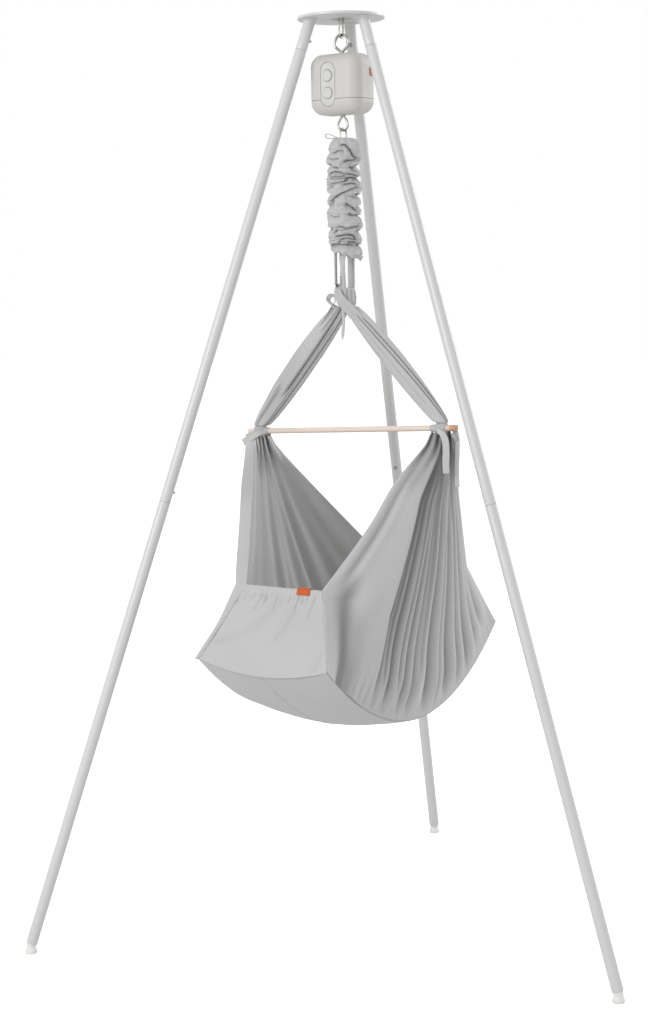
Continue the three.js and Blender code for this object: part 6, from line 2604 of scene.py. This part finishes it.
    def relief(self, side: Side, along: Array, rise: Array) -> Array:
        """How far the cloth stands out: listed folds, pleats under the bar, seam gathers.

        Args:
            side: Which side.
            along: Shares from the front edge to the back.
            rise: Shares from the foot to the top.

        Returns:
            The height at each place, in metres.
        """
        free = 0.0 if side is Side.LEFT else 0.25 * smooth(0.36, 0.46, rise)
        edge = mix(free, 1.0, smooth(0.0, 0.012, along) * smooth(0.0, 0.012, 1.0 - along))
        span = self.span(rise)
        folds = sum(fold.relief(along, rise, span) for fold in self.folds[side])
        folds = folds * 1.35 * mix(1.0, 0.50, smooth(0.45, 1.0, rise))
        bunch = self.bunched(side, along)
        if side is Side.RIGHT:
            place = three_way(self.lap, rise)
            proud = 0.017 * smooth(0.0, 0.35, rise) * (1.0 - 0.6 * smooth(0.7, 1.0, rise))
            drop = 1.0 - smooth(-0.0045, 0.0045, (along - place) * span)
            folds = folds + proud * (np.clip(along / place, 0.0, 1.0) ** 1.25) * drop
        pleats = 0.0098 * np.cos(TURN * 4.3 * bunch + 0.9) * smooth(0.82, 0.98, rise)
        fine = 0.0004 if side is Side.LEFT else 0.0010
        pleats = pleats + fine * np.cos(TURN * 15.0 * along + 2.0) * smooth(0.6, 0.95, rise)
        where = 0.35 + bell(along, 0.19, 0.10)
        ruffle = (np.sin(TURN * 41.0 * along + 2.0 * np.sin(along * 23.0))
                  + 0.5 * np.sin(TURN * 67.0 * along))
        ruffle = ruffle * where * 0.0026 * np.exp(-rise / 0.060) * smooth(0.0, 0.03, rise)
        ruffle = ruffle * (0.45 if side is Side.LEFT else 1.0)
        soft = 0.0020 * ripple(along * 3.2, rise * 2.6, 0.9 * side.value)
        return (folds + pleats + ruffle + soft) * edge

    def build_wall(self, side: Side) -> None:
        """Builds one wall with its hems.

        Args:
            side: Which side.
        """
        columns, rows = 330, 140
        rise, share = shares(rows, columns)
        along = share - 0.035 * np.sin(TURN * share) * (0.5 if side is Side.LEFT else 1.0)
        base = self.smooth_wall(side, along, rise)
        outward = surface_normals(base) * side.value
        middle = base + outward * (self.relief(side, along, rise) * side.value)[..., None]
        reach = np.linalg.norm(base - base[:, :1], axis=-1)
        back = np.linalg.norm(base - base[:, -1:], axis=-1)
        hem = 1.0 - smooth(self.hem, self.hem + 0.0015, np.minimum(reach, back))
        half = 0.0008 + 0.0006 * hem
        flat = np.stack([along * 0.70, rise * 0.52], -1)
        patches = shell(middle + HANG, half, flat, flip=side is Side.LEFT)
        span = self.span(rise)
        # Painted shade in the wall's folds, kept as the hollow attribute.
        hollow = sum(fold.hollow(along, rise, span) for fold in self.folds[side])
        if side is Side.RIGHT:
            # Painted shadow: a dark band behind the edge where the right wall's smooth front part
            # drops back, fading over about 40 mm.
            past = (along - three_way(self.lap, rise)) * span
            lapel_shadow = smooth(-0.001, 0.004, past) * np.exp(-np.clip(past, 0.0, 1.0) / 0.040)
            lapel_shadow = lapel_shadow * smooth(0.04, 0.25, rise) * (1.0 - 0.5 * smooth(0.7, 0.95, rise))
            hollow = 0.65 * np.clip(hollow, 0.0, 1.0) + 0.45 * lapel_shadow
            patches[0].hollow = np.clip(hollow, 0.0, 1.0)
        else:
            # Painted shade, weaker, in the folds of the left wall's inner face.
            patches[1].hollow = 0.30 * np.clip(hollow, 0.0, 1.0)
        wall = make_piece(f"side_wall_{side.word}", patches, Shop.cloth, "cradle",
                          f"wall_{side.word}")
        [self.build_flange()] if side is Side.LEFT else []

    def build_flange(self) -> Piece:
        """Builds the left wall's front edge, turned out to a wide flat band that faces -Y.

        Returns:
            The band.
        """
        rise, share = shares(120, 16)
        edge = self.smooth_wall(Side.LEFT, np.zeros_like(rise), rise)
        width = (mix(0.007, 0.027, smooth(0.12, 0.42, rise))
                 * mix(1.0, 0.72, smooth(0.75, 1.0, rise)))
        out = unit(np.array([-1.0, -0.10, 0.0]))
        curl = 0.0016 * np.sin(share * math.pi) + 0.0010 * ripple(share * 0.4, rise * 5.0, 3.0)
        points = edge + out * mix(-0.0035, width, share)[..., None]
        points[..., 1] -= curl + 0.0015 * share
        flat = np.stack([share * 0.027, rise * 0.52], -1)
        half = 0.0011 * rim(share, 0.05) * rim(rise, 0.004)
        return make_piece("wall_band_left", shell(points + HANG, half, flat), Shop.cloth,
                          "cradle")

    def build(self) -> None:
        """Builds both walls."""
        for side in Side:
            self.build_wall(side)
        LOG.info("walls: left with its turned band, right")


@dataclass
class EndPanels:
    """The front and back panels, gathered on their top hems, and the orange tab."""

    form: CradleForm
    bulge: float = 0.016
    overlap: float = 0.0009
    size: tuple[float, float] = (0.26, 0.17)
    tab_centre: float = 0.78
    tab_half: float = 0.077
    tab_front: float = 0.62
    creases: tuple[Crease, ...] = (
        Crease(((0.54, 0.88), (0.47, 0.74), (0.396, 0.62), (0.24, 0.46), (0.083, 0.33)), 1.0,
               0.0100),
        Crease(((0.78, 0.86), (0.714, 0.73), (0.66, 0.56), (0.60, 0.46)), 0.8, 0.0080),
        Crease(((0.36, 0.88), (0.31, 0.78), (0.22, 0.70)), 0.6, 0.0070),
        Crease(((0.19, 0.91), (0.185, 0.86)), 0.8, 0.0035),
        Crease(((0.29, 0.91), (0.28, 0.80), (0.25, 0.74)), 0.9, 0.0038),
        Crease(((0.35, 0.90), (0.345, 0.82)), 0.8, 0.0035),
        Crease(((0.42, 0.91), (0.41, 0.85)), 0.5, 0.0030),
        Crease(((0.48, 0.90), (0.47, 0.80)), 0.8, 0.0035),
        Crease(((0.56, 0.91), (0.55, 0.86)), 0.5, 0.0030),
        Crease(((0.64, 0.91), (0.63, 0.84)), 0.8, 0.0032),
        Crease(((0.73, 0.90), (0.71, 0.79)), 0.9, 0.0038),
        Crease(((0.83, 0.90), (0.82, 0.84)), 0.6, 0.0032),
        Crease(((0.92, 0.91), (0.885, 0.80), (0.86, 0.70)), 0.9, 0.0045),
        Crease(((0.97, 0.24), (0.93, 0.12), (0.90, 0.05)), 1.0, 0.0055),
        Crease(((0.03, 0.80), (0.08, 0.86), (0.13, 0.88)), 0.7, 0.0055),
    )

    def smooth_panel(self, side: float, across: Array, rise: Array) -> Array:
        """A panel without its creases: it narrows and leans inward to its top, and bulges.

        Args:
            side: -1 for the front, 1 for the back.
            across: Shares across the cloth.
            rise: Shares from the foot to the top.

        Returns:
            Points about the hanging axis.
        """
        form = self.form
        out_x, out_y = form.back_out if side > 0 else (0.0, 0.0)
        low = form.width / 2.0
        half = mix(low, low - form.top_inset + out_x, rise) + self.overlap
        x = (2.0 * across - 1.0) * half
        bulge = self.bulge * np.sin(math.pi * across) * np.sin(math.pi * (0.1 + 0.8 * rise))
        y = side * (form.length / 2.0 - (form.end_inset - out_y) * rise + bulge)
        foot = form.end_height - form.dip(x)
        return stack(x, y, mix(foot, form.end_height + form.panel_rise, rise))

    def build_panel(self, name: str, side: float, node: str) -> None:
        """Builds a panel: the creases press its face in, and its top hem is a flat roll.

        Args:
            name: Name of the piece.
            side: -1 for the front, 1 for the back.
            node: CAD node that it replaces.
        """
        rise, across = shares(110, 300)
        base = self.smooth_panel(side, across, rise)
        out = surface_normals(base)
        out = out * np.sign(out[..., 1:2]) * side
        pressed = np.zeros_like(rise)
        mirror = across if side < 0 else 1.0 - across
        for crease in self.creases:
            line = np.array(crease.line) * self.size
            away = line_distance(mirror * self.size[0], rise * self.size[1], line)[0]
            valley = np.exp(-((away / crease.reach) ** 1.6))
            pressed = pressed + crease.pinch * valley * (0.66 * crease.reach + 0.0010)
        puckers = 0.0010 * np.sin(across * 92.0 + 3.0 * np.sin(across * 17.0))
        puckers = puckers * bell(rise, 0.9, 0.05)
        ruffle = 0.0009 * np.sin(across * 71.0 + 2.0 * np.sin(across * 11.0))
        ruffle = ruffle * smooth(0.9, 1, rise)
        soft = 0.0014 * ripple(across * 1.8, rise * 1.2, 5.0 + side) * np.sin(math.pi * across)
        middle = base + out * (puckers + ruffle + soft - pressed)[..., None]
        roll = smooth(0.905, 0.925, rise)
        half = mix(0.0012, 0.0026, roll) * rim(across, 0.006)
        half = half * dome((rise - 0.975) / 0.025) * mix(0.3, 1.0, smooth(0.0, 0.02, rise))
        flat = np.stack([across * 0.33, rise * 0.17], -1)
        facing = surface_normals(middle)[..., 1].mean() * side
        panel = make_piece(name, shell(middle + HANG, half, flat, flip=bool(facing < 0)),
                           Shop.cloth, "cradle", node)

    def build_tab(self) -> None:
        """Builds the bare orange tab: tape folded over the front hem, sewn at its foot."""
        wrap, share = shares(30, 24)
        across = self.tab_centre + mix(-self.tab_half, self.tab_half, share)
        rise = mix(0.925, 1.0, np.clip(wrap / self.tab_front, 0.0, 1.0))
        base = self.smooth_panel(-1.0, across, rise)
        out = surface_normals(base)
        out = out * -np.sign(out[..., 1:2])
        lift = 0.0031 + 0.0005 * np.sin(share * 9.0 + wrap * 4.0)
        front = base + out * lift[..., None]
        angle = np.clip((wrap - self.tab_front) / (1.0 - self.tab_front), 0.0, 1.0) * math.pi
        arc = stack(base[..., 0], base[..., 1] - np.cos(angle) * lift + 0.0006,
                    base[..., 2] + np.sin(angle) * lift)
        points = np.where((wrap > self.tab_front)[..., None], arc, front)
        half = 0.00055 * rim(share, 0.04) * rim(wrap, 0.03)
        flat = np.stack([share * 0.034, wrap * 0.03], -1)
        tab = make_piece("tab", shell(points + HANG, half, flat, flip=True), Shop.ribbon,
                         "cradle", "front_tab")

    def build(self) -> None:
        """Builds both panels and the tab."""
        self.build_panel("end_front", -1.0, "front_panel")
        self.build_panel("end_back", 1.0, "back_panel")
        self.build_tab()
        LOG.info("end panels: front, back, orange tab")


@dataclass
class Floor:
    """The cradle's long curved base cloth and the mattress that lies on it."""

    form: CradleForm
    thick: float = 0.003
    mattress: tuple[float, float] = (0.300, 0.640)
    edge: float = 0.012
    crown: float = 0.016
    steps: int = 20
    stretch: float = 0.008
    clear: float = 0.0052

    def build_base(self) -> None:
        """Builds the base: two faces, with a felled seam along its keel and at its ends.

        The keel's seam is a ridge of 2 mm between two grooves of 0.9 mm, each a bell curve.
        """
        form = self.form
        down, share = shares(220, 200)
        wide, long = form.width / 2.0, form.length / 2.0
        x, y = mix(-wide, wide, share), mix(-long, long, down)
        z = form.seam(y) - form.dip(x)
        seam = (0.0020 * bell(x, 0.0, 0.0013) - 0.0009 * bell(np.abs(x), 0.0042, 0.0022)
                + 0.0008 * bell(long - np.abs(y), 0.008, 0.0012))
        soft = 0.0012 * ripple(x * 9.0, y * 6.0, 1.5) * rim(share, 0.1) * rim(down, 0.06)
        puckers = 0.0012 * np.sin(y * 190.0 + 2.0 * np.sin(y * 40.0))
        puckers = puckers * np.exp(-(wide - np.abs(x)) / 0.010)
        low = stack(x, y, z + seam * rim(share, 0.02) * rim(down, 0.003) + soft + puckers
                    * rim(down, 0.02))
        high = stack(x, y, z + soft + self.thick * rim(share, 0.01) * rim(down, 0.005))
        low[0], low[-1], low[:, 0], low[:, -1] = high[0], high[-1], high[:, 0], high[:, -1]
        flat = np.stack([x, y * 1.1], -1)
        base = make_piece("base_cloth", [Patch(high + HANG, flat),
                                         Patch(low + HANG, flat, flip=True)],
                          Shop.cloth, "cradle", "base_panel")

    def build_mattress(self) -> None:
        """Builds the mattress and lets cloth under pressure fill its cover."""
        form = self.form
        down, share = shares(64, 32)
        x = mix(-0.5, 0.5, share) * (self.mattress[0] - 0.012)
        y = mix(-0.5, 0.5, down) * (self.mattress[1] - 0.012)
        u, v = 2.0 * share - 1.0, 2.0 * down - 1.0
        under = form.seam(y) - form.dip(x) + 0.0068
        crown = np.sqrt(np.maximum(0.0, (1.0 - u**4) * (1.0 - v**4)))
        low = stack(x, y, under)
        high = stack(x, y, under + self.edge - 0.003 + (self.crown - 0.004) * crown)
        sides = [np.stack([low[0], high[0]]), np.stack([high[-1], low[-1]]),
                 np.stack([high[:, 0], low[:, 0]]), np.stack([low[:, -1], high[:, -1]])]
        patches = [Patch(high + HANG), Patch(low + HANG, flip=True)]
        patches += [Patch(side + HANG) for side in sides]
        pad = make_piece("pad", patches, Shop.filling, "cradle", "mattress")
        remesh = pad.modifiers.new("even", "REMESH")
        remesh.mode, remesh.voxel_size = "VOXEL", 0.005
        apply_modifiers(pad)
        self.press(pad)
        self.lay_flat(pad)
        LOG.info("mattress: %d points", len(pad.data.vertices))

    def press(self, pad: Piece) -> None:
        """Fills the cover by a short cloth run.

        No point moves further than the stretch, goes below the base cloth or comes near the
        walls.
        """
        before = mesh_points(pad)
        run = pad.modifiers.new("fill", "CLOTH")
        run.settings.use_pressure = True
        run.settings.uniform_pressure_force = 4.0
        run.settings.quality = 4
        run.settings.tension_stiffness = 20.0
        run.settings.bending_stiffness = 2.0
        run.settings.effector_weights.gravity = 0.0
        run.collision_settings.use_collision = False
        run.point_cache.frame_start, run.point_cache.frame_end = 1, self.steps
        for number in range(1, self.steps + 1):
            bpy.context.scene.frame_set(number)
        apply_modifiers(pad)
        bpy.context.scene.frame_set(1)
        move = mesh_points(pad) - before
        length = np.linalg.norm(move, axis=1, keepdims=True)
        held = before + move * np.minimum(1.0, self.stretch / np.maximum(length, 1e-9)) - HANG
        reach = np.array(self.mattress) / 2.0
        held[:, :2] = np.clip(held[:, :2], -reach, reach)
        under = self.form.seam(held[:, 1]) - self.form.dip(held[:, 0]) + self.clear
        held[:, 2] = np.maximum(held[:, 2], under)
        pad.data.vertices.foreach_set("co", (held + HANG).ravel().astype(np.float32))
        finer = pad.modifiers.new("smooth", "SUBSURF")
        finer.levels = finer.render_levels = 1
        apply_modifiers(pad)

    def lay_flat(self, pad: Piece) -> None:
        """Smooths the pad's faces and gives it flat coordinates seen from above.

        Args:
            pad: The mattress.
        """
        mesh = pad.data
        shade_faces(mesh)
        corners = np.empty(len(mesh.loops), np.int32)
        mesh.loops.foreach_get("vertex_index", corners)
        layer = mesh.uv_layers.get("flat") or mesh.uv_layers.new(name="flat")
        layer.data.foreach_set("uv", mesh_points(pad)[corners][:, :2].ravel())
        if not mesh.materials:
            mesh.materials.append(Shop.filling.material())

    def build(self) -> None:
        """Builds the base and the mattress."""
        self.build_base()
        self.build_mattress()


@dataclass
class Studio:
    """White room, soft lamps and the camera of the photograph."""

    distance: float = 4.29866
    height: float = 1.43235
    azimuth: float = 33.94
    pitch: float = 0.11182
    roll: float = -0.02169
    yaw: float = 0.01394
    lens: float = 68.598
    ambient: float = 0.70
    lamps: tuple[tuple, ...] = (("key_lamp", (-0.9, -4.3, 2.6), 1.6, 66.0),
                                ("rim_lamp", (2.1, 3.9, 3.2), 2.0, 75.0))

    def build_world(self) -> None:
        """White to the eye and in reflections, a plain level of light on the object."""
        world = bpy.data.worlds.new("white_room")
        bpy.context.scene.world = world
        bench = empty_bench(world)
        path = bench.add("ShaderNodeLightPath").outputs
        seen = bench.math("MAXIMUM", path["Is Camera Ray"],
                          bench.math("MAXIMUM", path["Is Glossy Ray"],
                                     path["Is Transmission Ray"]))
        level = bench.ramp(seen, 0.0, 1.0, self.ambient, 1.0)
        light = bench.add("ShaderNodeBackground", {"Color": (1.0, 1.0, 1.0, 1.0),
                                                   "Strength": level})
        bench.add("ShaderNodeOutputWorld", {0: light.outputs[0]})

    def build_floor(self) -> None:
        """A wide white floor that keeps a soft shadow."""
        mesh = bpy.data.meshes.new("studio_floor")
        reach = 30.0
        mesh.from_pydata([(-reach, -reach, 0.0), (reach, -reach, 0.0), (reach, reach, 0.0),
                          (-reach, reach, 0.0)], [], [(0, 1, 2, 3)])
        floor = add_object("studio_floor", mesh)
        made = bpy.data.materials.new("studio_floor")
        bench = empty_bench(made)
        place = bench.add("ShaderNodeTexCoord").outputs["Object"]
        tone = bench.group(Effects.tone(), place=place, broad=0.4, fine=2.0).outputs[0]
        colour = bench.blend(tone, (0.78, 0.78, 0.78, 1.0), (0.80, 0.80, 0.80, 1.0))
        matt = bench.add("ShaderNodeBsdfDiffuse", {"Color": colour})
        path = bench.add("ShaderNodeLightPath").outputs
        glow = bench.add("ShaderNodeEmission", {
            "Color": (1.0, 1.0, 1.0, 1.0),
            "Strength": bench.math("MULTIPLY", path["Is Camera Ray"], 0.75)})
        both = bench.add("ShaderNodeAddShader", {0: matt.outputs[0], 1: glow.outputs[0]})
        bench.add("ShaderNodeOutputMaterial", {0: both.outputs[0]})
        mesh.materials.append(made)

    def build_lamp(self, name: str, place: Sequence[float], size: float, power: float) -> None:
        """A square soft lamp that faces the middle of the object.

        Args:
            name: Its name.
            place: Where it stands, from the hanging axis.
            size: Side of the square.
            power: Its power in watts.
        """
        light = bpy.data.lights.new(name, "AREA")
        light.size, light.energy = size, power
        lamp = add_object(name, light)
        lamp.location = HANG + np.array(place)
        aim = HANG + np.array([0.0, 0.0, 1.0]) - np.array(lamp.location)
        rise = unit(-aim)
        side = unit(np.cross([0.0, 0.0, 1.0], rise))
        up = np.cross(rise, side)
        lamp.rotation_euler = mathutils.Matrix(np.stack([side, up, rise], 1).tolist()).to_euler()

    def build_camera(self) -> None:
        """The camera fitted to the photograph: its place, pitch, yaw, roll and lens."""
        turn = math.radians(self.azimuth)
        place = HANG + [math.sin(turn) * self.distance, -math.cos(turn) * self.distance,
                        self.height]
        aim = turn + self.yaw
        right = np.array([math.cos(aim), math.sin(aim), 0.0])
        level = np.array([-math.sin(aim), math.cos(aim), 0.0])
        up = np.array([0.0, 0.0, 1.0])
        ahead = level * math.cos(self.pitch) - up * math.sin(self.pitch)
        over = level * math.sin(self.pitch) + up * math.cos(self.pitch)
        x = right * math.cos(self.roll) + over * math.sin(self.roll)
        y = over * math.cos(self.roll) - right * math.sin(self.roll)
        data = bpy.data.cameras.new("photo_camera")
        data.lens, data.sensor_width, data.sensor_fit = self.lens, 36.0, "AUTO"
        data.clip_end = 200.0
        camera = add_object("photo_camera", data)
        matrix = mathutils.Matrix(np.stack([x, y, -ahead], 1).tolist()).to_4x4()
        matrix.translation = place.tolist()
        camera.matrix_world = matrix
        bpy.context.scene.camera = camera

    def build(self) -> None:
        """Builds the room, its lamps and the camera."""
        bpy.context.scene.view_settings.view_transform = "Standard"
        self.build_world()
        self.build_floor()
        for lamp in self.lamps:
            self.build_lamp(*lamp)
        self.build_camera()
        LOG.info("studio: white room, floor, two lamps, camera")


def main() -> None:
    """Builds every part in order."""
    logging.basicConfig(level=logging.INFO, format="%(message)s")
    bar, form = SpreaderBar(), CradleForm()
    parts = [Stand(), MotorUnit(), Suspension(), SpringCover(), Sling(), bar, Straps(bar),
             SideWalls(form, bar), EndPanels(form), Floor(form), Studio()]
    for part in parts:
        part.build()
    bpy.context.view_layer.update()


if __name__ == "__main__":
    main()
